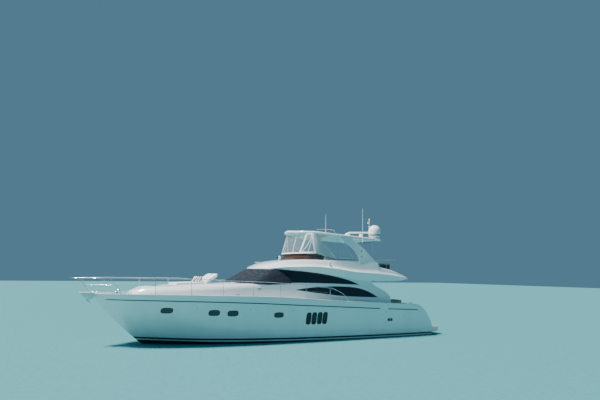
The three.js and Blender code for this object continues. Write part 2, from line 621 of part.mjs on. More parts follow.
// Platforms and soles
const platform = planPrism(withMirror([
  [TRANSOM_X + 60, 0], [TRANSOM_X + 60, 2290], [-10450, 2290], [-10620, 2200], [PLATFORM_END_X, 1950],
  [PLATFORM_END_X, 0]]), PLATFORM_BOTTOM_Z, PLATFORM_TOP_Z)
  .subtract(hullBlank.translate([-SEAT_GAP, 0, 0]));
const saloonSole = box(SILL_X + SEAT_GAP, SALOON_FRONT_X - SEAT_GAP, -SALOON_HALF_WIDTH + SEAT_GAP,
  SALOON_HALF_WIDTH - SEAT_GAP, SALOON_SOLE_Z - SOLE_THICKNESS + SEAT_GAP, SALOON_SOLE_Z - SEAT_GAP);
const cockpitSole = box(COCKPIT_AFT_X + SEAT_GAP, SILL_X - SEAT_GAP, -COCKPIT_HALF_WIDTH + SEAT_GAP,
  COCKPIT_HALF_WIDTH - SEAT_GAP, COCKPIT_SOLE_Z - SOLE_THICKNESS + SEAT_GAP, COCKPIT_SOLE_Z);
const bowPlatform = loft([
  [[9500, -420, 2612], [9500, 420, 2612], [9500, 420, 2640], [9500, -420, 2640]],
  [[10000, -400, 2612], [10000, 400, 2612], [10000, 400, 2650], [10000, -400, 2650]],
  [[10298, -380, 2300], [10298, 380, 2300], [10298, 380, 2655], [10298, -380, 2655]],
  [[10450, -330, 2345], [10450, 330, 2345], [10450, 360, 2660], [10450, -360, 2660]],
  [[10780, -230, 2560], [10780, 230, 2560], [10780, 260, 2665], [10780, -260, 2665]],
  [[10850, -150, 2620], [10850, 150, 2620], [10850, 170, 2665], [10850, -170, 2665]],
]).subtract(hullBlank.translate([SEAT_GAP, 0, SEAT_GAP]));

// Underwater gear
// Blade sections: radius, half-chord, half-thickness.
const BLADE_SECTIONS = [[50, 75, 16], [150, 130, 13], [250, 165, 9], [330, 140, 6], [372, 55, 4]];
function propellerWithShaft(side) {
  const hub = lathe([[0, -110], [38, -95], [55, -40], [PROPELLER.hub, 20], [PROPELLER.hub, 90], [0, 90]]);
  const blade = loft(BLADE_SECTIONS.map(([radius, half, thick]) => {
    const angle = Math.atan2(PROPELLER.pitch, 2 * Math.PI * radius);
    return [[-half, 0], [0, -thick], [half, 0], [0, thick]].map(([along, across]) => [
      along * Math.cos(angle) - across * Math.sin(angle), radius,
      side * (along * Math.sin(angle) + across * Math.cos(angle))]);
  }));
  const blades = Array.from({ length: PROPELLER.blades },
    (_, i) => blade.rotate([0, 0, i * 360 / PROPELLER.blades]));
  return joined([hub, ...blades])
    .rotate([0, 90, 0])
    .rotate([0, -SHAFT.slope, 0])
    .translate([SHAFT.propX, side * SHAFT.y, SHAFT.propZ])
    .add(rod(shaftPoint(20, side), shaftPoint(SHAFT.length, side), SHAFT.radius));
}

function shaftBracket(side) {
  const barrel = rod(shaftPoint(180, side), shaftPoint(400, side), 52);
  const [x, y, z] = shaftPoint(290, side);
  const strut = (lean) => loft([0, 620].map((rise) => {
    const middle = y + side * lean * rise;
    return [[x - 75, middle - 11, z + rise], [x + 75, middle - 11, z + rise],
      [x + 75, middle + 11, z + rise], [x - 75, middle + 11, z + rise]];
  }));
  return joined([barrel, strut(0.42), strut(-0.42)])
    .subtract(rod(shaftPoint(100, side), shaftPoint(500, side), SHAFT.bore))
    .subtract(hullBlank.translate([0, 0, -SEAT_GAP]));
}

function rudder(side) {
  const y = side * SHAFT.y;
  const blade = loft([[RUDDER.bottom, 0.8], [RUDDER.top, 1]].map(([z, scale]) => {
    const fore = RUDDER.x + 130 * scale;
    const aft = RUDDER.x - (RUDDER.chord - 130) * scale;
    return [[aft, y, z], [RUDDER.x - 60, y - 26, z], [RUDDER.x + 60, y - 26, z], [fore, y, z],
      [RUDDER.x + 60, y + 26, z], [RUDDER.x - 60, y + 26, z]];
  }));
  return blade.add(rod([RUDDER.x, y, RUDDER.top - 300], [RUDDER.x, y, -440], RUDDER.stock));
}

// A trim tab lies along the hull's bottom edge, so it leans with the deadrise.
const DEADRISE = Math.atan2(-280 + 800, 2270);
function trimTab(side) {
  const width = (TAB.outer - TAB.inner) / Math.cos(DEADRISE);
  const innerZ = -800 + TAB.inner * Math.tan(DEADRISE);
  const plate = box(-TAB.length, -12, 0, width, 8, 8 + TAB.thickness);
  const knuckle = rod([0, 20, 10], [0, width - 20, 10], 9);
  const port = joined([plate, knuckle, box(-30, 0, 20, width - 20, 4, 16)])
    .rotate([THREE.MathUtils.radToDeg(DEADRISE), 0, 0])
    .translate([TRANSOM_X - 10, TAB.inner, innerZ + 40]);
  return side > 0 ? port : flipped(port);
}

const engineBlock = (side) => box(ENGINE.x - ENGINE.length / 2, ENGINE.x + ENGINE.length / 2,
  side * ENGINE.y - ENGINE.width / 2, side * ENGINE.y + ENGINE.width / 2,
  ENGINE_WELL.bottom + SEAT_GAP, ENGINE_WELL.bottom + ENGINE.height);

// Saloon door, transom gates, hatch lids
const saloonDoor = box(DOOR.x, DOOR.x + DOOR.thickness, DOOR.y0, DOOR.y1, DOOR.z0, DOOR.z1);
// A gate turns on its post, which stands against the outer wall of the stairs.
const GATE = {
  hingeX: -8915, post: 14, aft: 20, fore: 9, inner: 1345, bottom: COCKPIT_SOLE_Z + 25, top: 1900,
};
const gateHingeY = STEP_OUTER_Y - SEAT_GAP - GATE.post;
function transomGate(side) {
  const leaf = box(GATE.hingeX - GATE.aft, GATE.hingeX + GATE.fore, GATE.inner, gateHingeY - 8,
    GATE.bottom, GATE.top);
  const post = rod([GATE.hingeX, gateHingeY, GATE.bottom], [GATE.hingeX, gateHingeY, GATE.top], GATE.post);
  const port = leaf.add(post);
  return side > 0 ? port : flipped(port);
}
const foredeckHatch = box(HATCH.x0, HATCH.x1, -HATCH.half, HATCH.half, HATCH.seatZ + SEAT_GAP, HATCH.top);
// The lid over the stairs lies flush, on a hinge barrel along its outboard edge.
const LID = { clearance: 6, thickness: 30, barrel: 8 };
const lidHingeZ = FLY_SOLE_Z + SEAT_GAP + LID.barrel;
function flyHatch() {
  const { x0, x1, y0, y1 } = STAIR_WELL;
  const lid = box(x0 + LID.clearance, x1 - LID.clearance, y0 + LID.clearance, y1 - LID.clearance,
    FLY_SOLE_Z - LID.thickness, FLY_SOLE_Z);
  const barrel = rod([x0 + 40, y0, lidHingeZ], [x1 - 40, y0, lidHingeZ], LID.barrel, TUBE_SIDES);
  const strap = box(x0 + 40, x1 - 40, y0 + SEAT_GAP, y0 + 20, FLY_SOLE_Z - 2, lidHingeZ);
  return joined([lid, barrel, strap]);
}

// Stairs from the cockpit to the flybridge
const STAIR = { steps: 8, x0: -8050, x1: -6250, width: 520, thickness: 45 };
function flyStairs() {
  const yMid = (STAIR_WELL.y0 + STAIR_WELL.y1) / 2;
  const rise = (FLY_SOLE_Z - 250 - COCKPIT_SOLE_Z) / STAIR.steps;
  const run = (STAIR.x1 - STAIR.x0) / STAIR.steps;
  const treads = Array.from({ length: STAIR.steps }, (_, i) => box(
    STAIR.x0 + run * i - 40, STAIR.x0 + run * (i + 1) + 40, yMid - STAIR.width / 2, yMid + STAIR.width / 2,
    COCKPIT_SOLE_Z + rise * (i + 1) - STAIR.thickness, COCKPIT_SOLE_Z + rise * (i + 1)));
  const headX = STAIR.x0 + (3540 - COCKPIT_SOLE_Z) * run / rise;
  const stringer = (y) => sidePrism([
    [STAIR.x0 - 20, COCKPIT_SOLE_Z + SEAT_GAP], [STAIR.x0 + 200, COCKPIT_SOLE_Z + SEAT_GAP],
    [headX + 130, 3440], [headX + 130, 3620], [headX - 40, 3620]], y, y + 40);
  return joined([...treads, stringer(yMid - STAIR.width / 2 - 30), stringer(yMid + STAIR.width / 2 - 10)])
    .subtract(flyBlank.translate([0, 0, -SEAT_GAP]));
}

// Rails
const RAIL = { radius: 16, post: 13 };
const railTop = [
  [11350, 300, 3370], [10980, 620, 3360], [9900, 1350, 3385], [7600, 2030, 3380], [5830, 2390, 3375],
  [4170, 2560, 3315], [2570, 2620, 3270], [950, 2640, 3200], [-670, 2640, 3060], [-2240, 2630, 2920],
];
const railEnd = [[-2400, 2628, 2880], [-3100, 2612, 2560], [-3400, 2608, 2180]];
const RAIL_POSTS = [9090, 7550, 5830, 4210, 2560, 970, -640, -2200];
function railAt(x) {
  const i = railTop.findIndex(([px], k) => k > 0 && px <= x);
  const [a, b] = [railTop[i - 1], railTop[i]];
  const t = (a[0] - x) / (a[0] - b[0]);
  return [x, THREE.MathUtils.lerp(a[1], b[1], t), THREE.MathUtils.lerp(a[2], b[2], t)];
}
function bowRail() {
  const topLine = tube([...railTop, ...railEnd], RAIL.radius, 34);
  const pieces = [topLine];
  RAIL_POSTS.forEach((x) => {
    const rake = x > 9000 ? 560 : 40;
    pieces.push(rod([x, sheerY(x) - 55, sheerZ(x) - 20], railAt(x + rake), RAIL.post, TUBE_SIDES));
  });
  const [legFoot, legTop] = [[10370, 290, 2600], railAt(10900)];
  pieces.push(rod(legFoot, legTop, RAIL.post, TUBE_SIDES));
  const post = railAt(RAIL_POSTS[0] + 560);
  const postFoot = [RAIL_POSTS[0], sheerY(RAIL_POSTS[0]) - 55, sheerZ(RAIL_POSTS[0])];
  const between = (a, b, t) => a.map((value, k) => THREE.MathUtils.lerp(value, b[k], t));
  pieces.push(rod(between(legFoot, legTop, 0.55), between(postFoot, post, 0.55), RAIL.post, TUBE_SIDES));
  const port = joined(pieces);
  const bowBar = rod([railTop[0][0], -railTop[0][1], railTop[0][2]], railTop[0], RAIL.radius, TUBE_SIDES);
  return joined([port, flipped(port), bowBar])
    .subtract(hullBlank.translate([0, 0, SEAT_GAP]))
    .subtract(bowPlatform.translate([0, 0, SEAT_GAP]));
}
function aftRail() {
  const z = 4650;
  const line = [
    [-6060, 2075, 3900], [-6060, 2075, 4540], [-6110, 2075, 4630], [-6200, 2075, z],
    [-7100, 2075, z], [-7290, 1990, z], [-7370, 1820, z], [-7370, 0, z]];
  const posts = [[-6580, 2075], [-7050, 2075], [-7370, 1200], [-7370, 0]].map(
    ([x, y]) => rod([x, y, 3700], [x, y, z], RAIL.post, TUBE_SIDES));
  const port = joined([railing(line, RAIL.radius), ...posts]);
  return port.add(flipped(port)).subtract(flyBlank.translate([0, 0, SEAT_GAP]));
}

// Flybridge furniture
const WHEEL_RAKE = 25;
const WHEEL_STAND_OFF = 95;
const dashSlope = Math.tan(THREE.MathUtils.degToRad(WHEEL_RAKE));
// A console whose dash leans forward, square to the wheel's axis.
function helmStand(x, dashBottom, dashTop, front, topZ, y0, y1, floor) {
  return sidePrism([[x, floor + SEAT_GAP], [x, dashBottom], [x + (dashTop - dashBottom) * dashSlope, dashTop],
    [front, topZ], [front, floor + SEAT_GAP]], y0, y1);
}
const flyConsole = helmStand(-1560, 4200, 4600, -1150, 4700, -1250, -150, FLY_SOLE_Z);
// The wheel's centre stands off the dash along its axis, opposite the dash's middle.
function wheelCentre(x, dashBottom, y) {
  const rake = THREE.MathUtils.degToRad(WHEEL_RAKE);
  const rise = 200;
  return {
    x: x + rise * dashSlope - WHEEL_STAND_OFF * Math.cos(rake),
    y,
    z: dashBottom + rise + WHEEL_STAND_OFF * Math.sin(rake),
  };
}
const FLY_WHEEL = wheelCentre(-1560, 4200, -700);
const HELM_WHEEL = wheelCentre(860, 2330, -700);
function steeringWheel(at, radius) {
  const ring = new THREE.TorusGeometry(radius, 14, 5, 16);
  const hub = rod([0, 0, -22], [0, 0, 22], 45);
  const stub = rod([0, 0, -WHEEL_STAND_OFF + SEAT_GAP], [0, 0, -20], 20);
  const spokes = [90, 210, 330].map((angle) => {
    const turn = THREE.MathUtils.degToRad(angle);
    return rod([0, 0, 0], [radius * Math.cos(turn), radius * Math.sin(turn), 0], 9, TUBE_SIDES);
  });
  return joined([solidFrom(ring), hub, stub, ...spokes])
    .rotate([0, -90 + WHEEL_RAKE, 0])
    .translate([at.x, at.y, at.z]);
}
function helmSeat(x, y, floor, width) {
  const back = [
    [x - 230, floor + 600], [x - 360, floor + 1150], [x - 260, floor + 1150], [x - 120, floor + 600]];
  return joined([
    rod([x, y, floor + SEAT_GAP], [x, y, floor + 30], 190),
    rod([x, y, floor + 20], [x, y, floor + 480], 45),
    box(x - 260, x + 260, y - width / 2, y + width / 2, floor + 460, floor + 620),
    sidePrism(back, y - width / 2, y + width / 2)]);
}
const FLY_SETTEE_PLAN = [
  [-3000, 1750], [-3000, 700], [-3550, 700], [-3550, 1150],
  [-5100, 1150], [-5100, 700], [-5650, 700], [-5650, 1800],
];
const FLY_SETTEE_BACK = [[-3000, 1750], [-3000, 1560], [-5650, 1600], [-5650, 1800]];
const flySettee = planPrism(FLY_SETTEE_PLAN, FLY_SOLE_Z + SEAT_GAP, 4230)
  .add(planPrism(FLY_SETTEE_BACK, 4200, 4560));
const flyBar = box(-4700, -3000, -1780, -1150, FLY_SOLE_Z + SEAT_GAP, 4650);
const AFT_SCREEN = { aft: -6990, front: -6000, outer: 1900, inner: 1500, cloth: 20, top: 4420 };
const aftScreen = joined([
  box(AFT_SCREEN.aft, AFT_SCREEN.front, AFT_SCREEN.outer - AFT_SCREEN.cloth, AFT_SCREEN.outer,
    FLY_SOLE_Z + SEAT_GAP, AFT_SCREEN.top),
  box(AFT_SCREEN.front - AFT_SCREEN.cloth, AFT_SCREEN.front, AFT_SCREEN.inner, AFT_SCREEN.outer,
    FLY_SOLE_Z + SEAT_GAP, AFT_SCREEN.top)]);

// Saloon and cockpit furniture
const helmConsole = helmStand(860, 2330, 2730, 1850, 2950, -1500, 300, SALOON_SOLE_Z);
const SOFA_PLAN = [[-900, 1850], [-900, 1150], [-3600, 1150], [-3600, 600], [-4300, 600], [-4300, 1850]];
const SOFA_BACK = [[-900, 1850], [-900, 1640], [-4100, 1640], [-4100, 600], [-4300, 600], [-4300, 1850]];
const saloonSofa = planPrism(SOFA_PLAN, SALOON_SOLE_Z + SEAT_GAP, 1930)
  .add(planPrism(SOFA_BACK, 1900, 2280));
const galley = box(-5200, -1400, -1850, -1250, SALOON_SOLE_Z + SEAT_GAP, 2400);
const cockpitBench = box(-8500, -7950, -1150, 1150, COCKPIT_SOLE_Z + SEAT_GAP, 1830)
  .add(box(-8500, -8330, -1150, 1150, 1800, 2150));
// The lounger lies on the coachroof, and its backrest stands up from the cushion's aft end.
const LOUNGER_OUTLINE = [
  [3880, 3560], [4560, 3200], [4600, 3000], [6300, 2900], [6300, 3230], [4680, 3290], [3960, 3680]];
const lounger = sidePrism(LOUNGER_OUTLINE, -900, 900).subtract(underDeck);

// Deck gear
// Heights are above the deck.
const WINDLASS = {
  x: 8980, halfLength: 220, halfWidth: 260, bedTop: 130,
  drumRadius: 95, drumTop: 330, crossRadius: 64, crossZ: 215,
};
function windlassUnit() {
  const { x, halfLength, halfWidth, bedTop } = WINDLASS;
  const floor = deckHeight(x);
  return joined([
    box(x - halfLength, x + halfLength, -halfWidth, halfWidth, floor + 20, floor + bedTop),
    rod([x, 0, floor + bedTop - 10], [x, 0, floor + WINDLASS.drumTop], WINDLASS.drumRadius),
    rod([x, -230, floor + WINDLASS.crossZ], [x, 230, floor + WINDLASS.crossZ], WINDLASS.crossRadius, 12)])
    .subtract(underDeck);
}
// The anchor is stowed under the bow platform: shank along its underside, flukes against the stem.
const fluke = loft([
  [[10330, 0, 2180], [10400, 0, 2290], [10420, 0, 2230]],
  [[10250, 230, 2060], [10290, 240, 2100], [10300, 240, 2070]]]);
const anchor = sidePrism([[10330, 2330], [10790, 2620], [10810, 2560], [10560, 2330], [10330, 2180]], -28, 28)
  .add(fluke)
  .add(flipped(fluke))
  .subtract(bowPlatform.translate([0, 0, -SEAT_GAP]))
  .subtract(hullBlank.translate([SEAT_GAP, 0, 0]));

// Masts, domes and aerials on the hardtop
function domeAt(x, y, z, radius, height) {
  const straight = height - radius;
  const profile = [[0, 0], [radius * 0.55, 0], [radius * 0.6, height * 0.08], [radius * 0.97, height * 0.2],
    [radius, straight]];
  for (let i = 1; i < 6; i += 1) {
    const angle = i * Math.PI / 12;
    profile.push([radius * Math.cos(angle), straight + radius * Math.sin(angle)]);
  }
  profile.push([0, height]);
  return lathe(profile, 16).translate([x, y, z]);
}
const SAT_DOME = { x: -6330, y: 1200, radius: 395, height: 870 };
const SCANNER = { x: -6380, y: -400, halfLength: 880, z: 6420, turn: 52 };
const satDome = domeAt(SAT_DOME.x, SAT_DOME.y, PLINTH_TOP_Z + SEAT_GAP, SAT_DOME.radius, SAT_DOME.height);
const smallDome = domeAt(-4660, 600, 6035, 200, 290).subtract(hardtopSlab.translate([0, 0, SEAT_GAP]));
const radarBase = rod(
  [SCANNER.x, SCANNER.y, PLINTH_TOP_Z + SEAT_GAP], [SCANNER.x, SCANNER.y, SCANNER.z - 20], 130);
const lightMast = joined([
  box(-6420, -6280, 530, 670, PLINTH_TOP_Z + SEAT_GAP, PLINTH_TOP_Z + 30),
  rod([-6350, 600, PLINTH_TOP_Z + 20], [-6350, 600, 7250], 20),
  rod([-6350, 600, 7200], [-6350, 600, 7330], 42), rod([-6350, 600, 7010], [-6350, 600, 7090], 42),
  rod([-6350, 480, 6800], [-6350, 720, 6800], 12, TUBE_SIDES)]);
const scanner = rod([0, 0, SCANNER.z - 20 + SEAT_GAP], [0, 0, SCANNER.z + 10], 60)
  .add(box(-75, 75, -SCANNER.halfLength, SCANNER.halfLength, SCANNER.z, SCANNER.z + 110))
  .rotate([0, 0, SCANNER.turn]).translate([SCANNER.x, SCANNER.y, 0]);
const aerialFwd = rod([-2350, 1780, 6100], [-2350, 1780, 7280], 12, TUBE_SIDES)
  .add(rod([-2350, 1780, 6100], [-2350, 1780, 6300], 24))
  .subtract(hardtopSlab.translate([0, 0, SEAT_GAP]));
const aerialAft = joined([
  rod([-4850, 2010, 5640], [-4850, 2010, 7790], 12, TUBE_SIDES),
  rod([-4850, 2010, 5640], [-4850, 2010, 6200], 22),
  box(-4870, -4830, 1880, 2010, 6000, 6045)])
  .subtract(hardtop.translate([0, 0, SEAT_GAP]));

// The scene graph

const paint = (color, roughness, metalness = 0) => ({ color, roughness, metalness });
const GELCOAT = paint(0xe9eef0, 0.25);
const ANTIFOUL = paint(0x20242a, 0.7);
const TEAK = paint(0x9a6b3f, 0.6);
const STEEL = paint(0xc8ccd0, 0.2, 1);
const BRONZE = paint(0xa9793a, 0.35, 1);
const TINTED = paint(0x0a1626, 0.08);
const SMOKED = paint(0x3a2c26, 0.1);
const NAVY_CANVAS = paint(0x14243c, 0.85);
const PALE_CANVAS = paint(0xdfe4e6, 0.8);
const GREY_CANVAS = paint(0x2e3338, 0.85);
const CAST_PAINT = paint(0xd0d4d6, 0.5, 0.4);
const LEATHER = paint(0xe6dfd0, 0.6);
const JOINERY = paint(0x6d4128, 0.4);

const yacht = new THREE.Group();
yacht.name = 'yacht';

function place(name, solid, finish) {
  const mesh = new THREE.Mesh(geometryOf(solid), new THREE.MeshStandardMaterial(finish));
  mesh.name = name;
  yacht.add(mesh);
}

place('hull', hull, GELCOAT);
place('deck', deck, GELCOAT);
place('bow_platform', bowPlatform, GELCOAT);
place('swim_platform', platform, GELCOAT);
place('deckhouse', deckhouse, GELCOAT);
place('windscreen', windscreen, TINTED);
place('upper_window_port', upperGlass, TINTED);
place('upper_window_stbd', flipped(upperGlass), TINTED);
place('lower_window_port', lowerGlass, TINTED);
place('lower_window_stbd', flipped(lowerGlass), TINTED);
place('windscreen_cover', screenCover, NAVY_CANVAS);
place('aft_bulkhead', bulkhead, GELCOAT);
place('saloon_door', saloonDoor, TINTED);
place('saloon_sole', saloonSole, JOINERY);
place('cockpit_sole', cockpitSole, TEAK);
place('flybridge', flybridge, GELCOAT);
place('fly_stairs', flyStairs(), TEAK);
place('fly_hatch', flyHatch(), SMOKED);
place('hardtop', hardtop, GELCOAT);
place('wind_deflector', deflector, SMOKED);
place('fly_enclosure', enclosure, PALE_CANVAS);
place('aft_screen', aftScreen, GREY_CANVAS);
place('bow_rail', bowRail(), STEEL);
place('aft_rail', aftRail(), STEEL);
place('windlass', windlassUnit(), STEEL);
place('anchor', anchor, STEEL);
place('foredeck_hatch', foredeckHatch, SMOKED);
place('foredeck_lounger', lounger, PALE_CANVAS);
place('fly_console', flyConsole, GELCOAT);
place('fly_wheel', steeringWheel(FLY_WHEEL, 190), STEEL);
place('fly_helm_seat', helmSeat(-2250, -700, FLY_SOLE_Z, 560), LEATHER);
place('fly_settee', flySettee, LEATHER);
place('fly_bar', flyBar, GELCOAT);
place('helm_console', helmConsole, JOINERY);
place('helm_wheel', steeringWheel(HELM_WHEEL, 200), STEEL);
place('helm_seat', helmSeat(120, -700, SALOON_SOLE_Z, 620), LEATHER);
place('saloon_sofa', saloonSofa, LEATHER);
place('galley_unit', galley, JOINERY);
place('cockpit_bench', cockpitBench, LEATHER);
place('sat_dome', satDome, GELCOAT);
place('small_dome', smallDome, GELCOAT);
place('radar_base', radarBase, GELCOAT);
place('radar_scanner', scanner, GELCOAT);
place('light_mast', lightMast, GELCOAT);
place('aerial_fwd', aerialFwd, GELCOAT);
place('aerial_aft', aerialAft, GELCOAT);
for (const [name, side] of [['port', 1], ['stbd', -1]]) {
  place(`engine_${name}`, engineBlock(side), CAST_PAINT);
  place(`propeller_${name}`, propellerWithShaft(side), BRONZE);
  place(`shaft_bracket_${name}`, shaftBracket(side), BRONZE);
  place(`rudder_${name}`, rudder(side), ANTIFOUL);
  place(`trim_tab_${name}`, trimTab(side), STEEL);
  place(`transom_gate_${name}`, transomGate(side), GELCOAT);
}

export default yacht;
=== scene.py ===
"""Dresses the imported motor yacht: mouldings, glass, canvas, rails, seats and deck gear.

Metres, in the CAD frame: X towards the bow, Y to port, Z up, with the waterline at Z = 0.
"""

import logging
from dataclasses import dataclass, field
from enum import Enum
from typing import Callable, Sequence

import bmesh
import bpy
import numpy as np
from mathutils import Matrix, Vector


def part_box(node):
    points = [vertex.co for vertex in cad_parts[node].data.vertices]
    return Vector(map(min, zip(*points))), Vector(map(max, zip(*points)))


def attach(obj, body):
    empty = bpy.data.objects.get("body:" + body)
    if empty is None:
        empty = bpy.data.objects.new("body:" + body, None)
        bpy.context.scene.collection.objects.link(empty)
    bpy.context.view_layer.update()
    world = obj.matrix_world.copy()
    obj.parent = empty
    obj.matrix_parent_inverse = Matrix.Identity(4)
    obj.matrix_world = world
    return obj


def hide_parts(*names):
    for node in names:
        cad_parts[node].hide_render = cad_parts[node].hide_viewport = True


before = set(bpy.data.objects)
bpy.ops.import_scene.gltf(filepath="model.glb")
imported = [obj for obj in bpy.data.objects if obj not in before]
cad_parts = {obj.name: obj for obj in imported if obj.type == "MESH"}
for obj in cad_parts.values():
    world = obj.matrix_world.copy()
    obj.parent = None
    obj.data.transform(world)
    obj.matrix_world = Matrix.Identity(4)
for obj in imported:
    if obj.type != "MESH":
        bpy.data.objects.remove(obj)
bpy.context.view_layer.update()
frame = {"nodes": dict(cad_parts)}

LOG = logging.getLogger("yacht")
Array = np.ndarray
Piece = bpy.types.Object
Socket = bpy.types.NodeSocket
MM = 0.001
ROOT = "yacht"
PORT = 1.0
STARBOARD = -1.0
SIDES = ((PORT, "port"), (STARBOARD, "stbd"))

# Hull stations from the transom to the stem: x, y, z of the sheer, x, y, z of the chine, x and z of the keel.
HULL_STATIONS = np.array([
    [-8700, 2450, 1920, -9960, 2270, -280, -9930, -800],
    [-7800, 2510, 1975, -8600, 2320, -290, -8500, -880],
    [-6000, 2600, 2060, -6600, 2370, -290, -6500, -960],
    [-3100, 2700, 2200, -3500, 2390, -270, -3500, -1050],
    [440, 2720, 2430, 200, 2270, -210, 0, -1100],
    [3000, 2690, 2520, 2700, 2000, -60, 2400, -1060],
    [4700, 2600, 2550, 4300, 1700, 80, 4000, -960],
    [6400, 2380, 2585, 5800, 1250, 260, 5400, -760],
    [7800, 2060, 2600, 7000, 800, 440, 6500, -470],
    [8900, 1650, 2605, 7800, 430, 570, 7250, -180],
    [9600, 1250, 2610, 8250, 170, 645, 7680, 20],
    [10050, 780, 2610, 8420, 60, 670, 7850, 130],
    [10230, 380, 2610, 8475, 15, 678, 7910, 185],
    [10290, 0, 2610, 8490, 0, 680, 7930, 200],
]) * MM
# The transom's profile: height and x of its outer edge.
TRANSOM_PROFILE = np.array([
    [-900, -9960], [-300, -9960], [350, -9960], [700, -9900],
    [1160, -9620], [1540, -9300], [1800, -8980], [1920, -8700],
]) * MM
# The joint of hull and deck mouldings, which the rubbing strake covers: x and z.
JOINT_LINE = np.array([
    [-11.0, 1.42], [-8.77, 1.57], [-6.28, 1.68], [-5.74, 1.705], [-3.0, 1.85], [-0.2, 1.99], [2.2, 2.12],
    [4.65, 2.21], [7.2, 2.28], [9.7, 2.32], [11.0, 2.33],
])
# Deckhouse plan points from the front centre round to the aft end: x and y at deck level, x, y, z at the
# window sill, x, y, z at the window head.
HOUSE_POINTS = np.array([
    [3120, 0, 3110, 0, 3280, 1760, 0, 3960],
    [3040, 700, 3010, 700, 3250, 1680, 560, 3965],
    [2800, 1350, 2730, 1350, 3180, 1400, 1130, 3970],
    [2350, 2040, 2250, 1950, 3090, 910, 1600, 3980],
    [1000, 2170, 1000, 2080, 3110, 100, 1770, 3950],
    [-500, 2180, -500, 2110, 3150, -700, 1850, 3890],
    [-2400, 2180, -2400, 2130, 3130, -2500, 1940, 3690],
    [-4200, 2170, -4200, 2130, 3080, -4200, 2040, 3520],
    [-6950, 2140, -6950, 2110, 3000, -6950, 2060, 3450],
]) * MM
# Flybridge moulding sections: x, half-width and height of the outer ledge, of the coaming's top and of the
# bottom edge, height of the ceiling, height of the crown.
FLY_STATIONS = np.array([
    [1800, 0, 4005, 0, 4015, 0, 3960, 3960, 4015],
    [1740, 380, 3995, 300, 4025, 360, 3960, 3960, 4035],
    [1560, 850, 4000, 700, 4060, 820, 3950, 3950, 4100],
    [1250, 1330, 4010, 1050, 4140, 1250, 3950, 3950, 4220],
    [850, 1690, 4030, 1300, 4260, 1600, 3960, 3900, 4340],
    [300, 1980, 4080, 1550, 4400, 1780, 3930, 3800, 4440],
    [-500, 2170, 4120, 1750, 4500, 1920, 3870, 3620, 4530],
    [-1500, 2270, 4125, 1900, 4530, 2000, 3780, 3600, 4550],
    [-2640, 2340, 4050, 2000, 4530, 2080, 3620, 3600, 4530],
    [-4000, 2420, 3880, 2080, 4525, 2200, 3400, 3560, 4525],
    [-5720, 2450, 3790, 2160, 4510, 2250, 3320, 3550, 4510],
    [-5960, 2450, 3780, 2200, 4220, 2250, 3315, 3550, 4220],
    [-6840, 2420, 3700, 2230, 4020, 2220, 3320, 3530, 4020],
    [-7600, 2330, 3600, 2150, 3800, 2120, 3370, 3500, 3820],
    [-8150, 2150, 3530, 2000, 3620, 1980, 3440, 3470, 3640],
    [-8340, 1980, 3500, 1850, 3530, 1830, 3470, 3480, 3540],
]) * MM
FLY_WELL_PLAN = np.array([
    [-850, 0], [-900, 800], [-1200, 1400], [-1900, 1720], [-3000, 1840],
    [-5500, 1980], [-6900, 2030], [-7150, 1850], [-7200, 0],
]) * MM
# Coachroof sections: x, half-width at the foot, half-width at the top, height of the top.
COACHROOF_STATIONS = np.array([
    [8560, 300, 150, 2560], [8400, 700, 480, 2740], [8000, 980, 780, 2890], [7400, 1230, 1010, 2970],
    [5600, 1720, 1480, 3080], [3830, 2000, 1800, 3150], [2400, 2100, 1960, 3180], [1900, 2110, 1990, 3180],
]) * MM
# Hardtop sections: x, half-width, height of the top edge, thickness.
HARDTOP_STATIONS = np.array([
    [-690, 0, 6250, 60], [-760, 550, 6250, 100], [-1050, 1100, 6240, 125], [-1500, 1560, 6225, 130],
    [-1850, 1800, 6205, 130], [-2900, 1940, 6120, 135], [-4000, 1980, 6055, 140], [-5400, 1920, 5985, 130],
    [-6300, 1750, 5910, 90], [-6600, 1550, 5875, 50],
]) * MM
# Plan curves of the screens on the flybridge: x and y at the bottom, x and y at the top.
DEFLECTOR_PLAN = np.array([
    [-640, 0, -730, 0], [-700, 600, -780, 590], [-880, 1150, -960, 1130], [-1230, 1600, -1290, 1570],
    [-1720, 1815, -1760, 1790], [-2150, 1880, -2230, 1860],
]) * MM
ENCLOSURE_PLAN = np.array([
    [-610, 0, -950, 0], [-680, 600, -1010, 580], [-900, 1180, -1200, 1100], [-1250, 1600, -1450, 1480],
    [-1750, 1830, -1830, 1700], [-2600, 1920, -2600, 1780], [-3400, 1970, -3100, 1800],
    [-4260, 2020, -3300, 1805],
]) * MM
# Window outlines in the side view (x, z), each as runs that are smooth between their end corners.
UPPER_WINDOW = (
    [[1880, 3175], [720, 3900]],
    [[720, 3900], [-600, 3850], [-1300, 3790], [-2640, 3610], [-3800, 3360], [-4500, 3110]],
    [[-4500, 3110], [-2400, 3180], [-500, 3210], [1000, 3175], [1880, 3175]],
)
LOWER_WINDOW = (
    [[-230, 2810], [-1250, 2930], [-2160, 2980], [-3150, 2995], [-4360, 2910], [-5200, 2680], [-5880, 2350]],
    [[-5880, 2350], [-4740, 2390], [-3120, 2470], [-2140, 2580], [-1190, 2680], [-230, 2810]],
)
BEHIND_HOUSE = (
    [[-5250, 4000], [-5480, 3200], [-6150, 2850], [-6670, 2540], [-6820, 2350], [-6880, 1990], [-6880, 1500]],
    [[-6880, 1500], [-7500, 1500], [-7500, 4000], [-5250, 4000]],
)
LEG_OUTLINE = (
    [[-3250, 5990], [-3730, 5540], [-4140, 5240], [-4400, 4880], [-4480, 4660], [-4560, 4400]],
    [[-4560, 4400], [-5760, 4400]],
    [[-5760, 4400], [-5720, 4510], [-5380, 4820], [-5070, 5150], [-4500, 5570], [-4250, 5700], [-4000, 6000]],
    [[-4000, 6000], [-3250, 5990]],
)
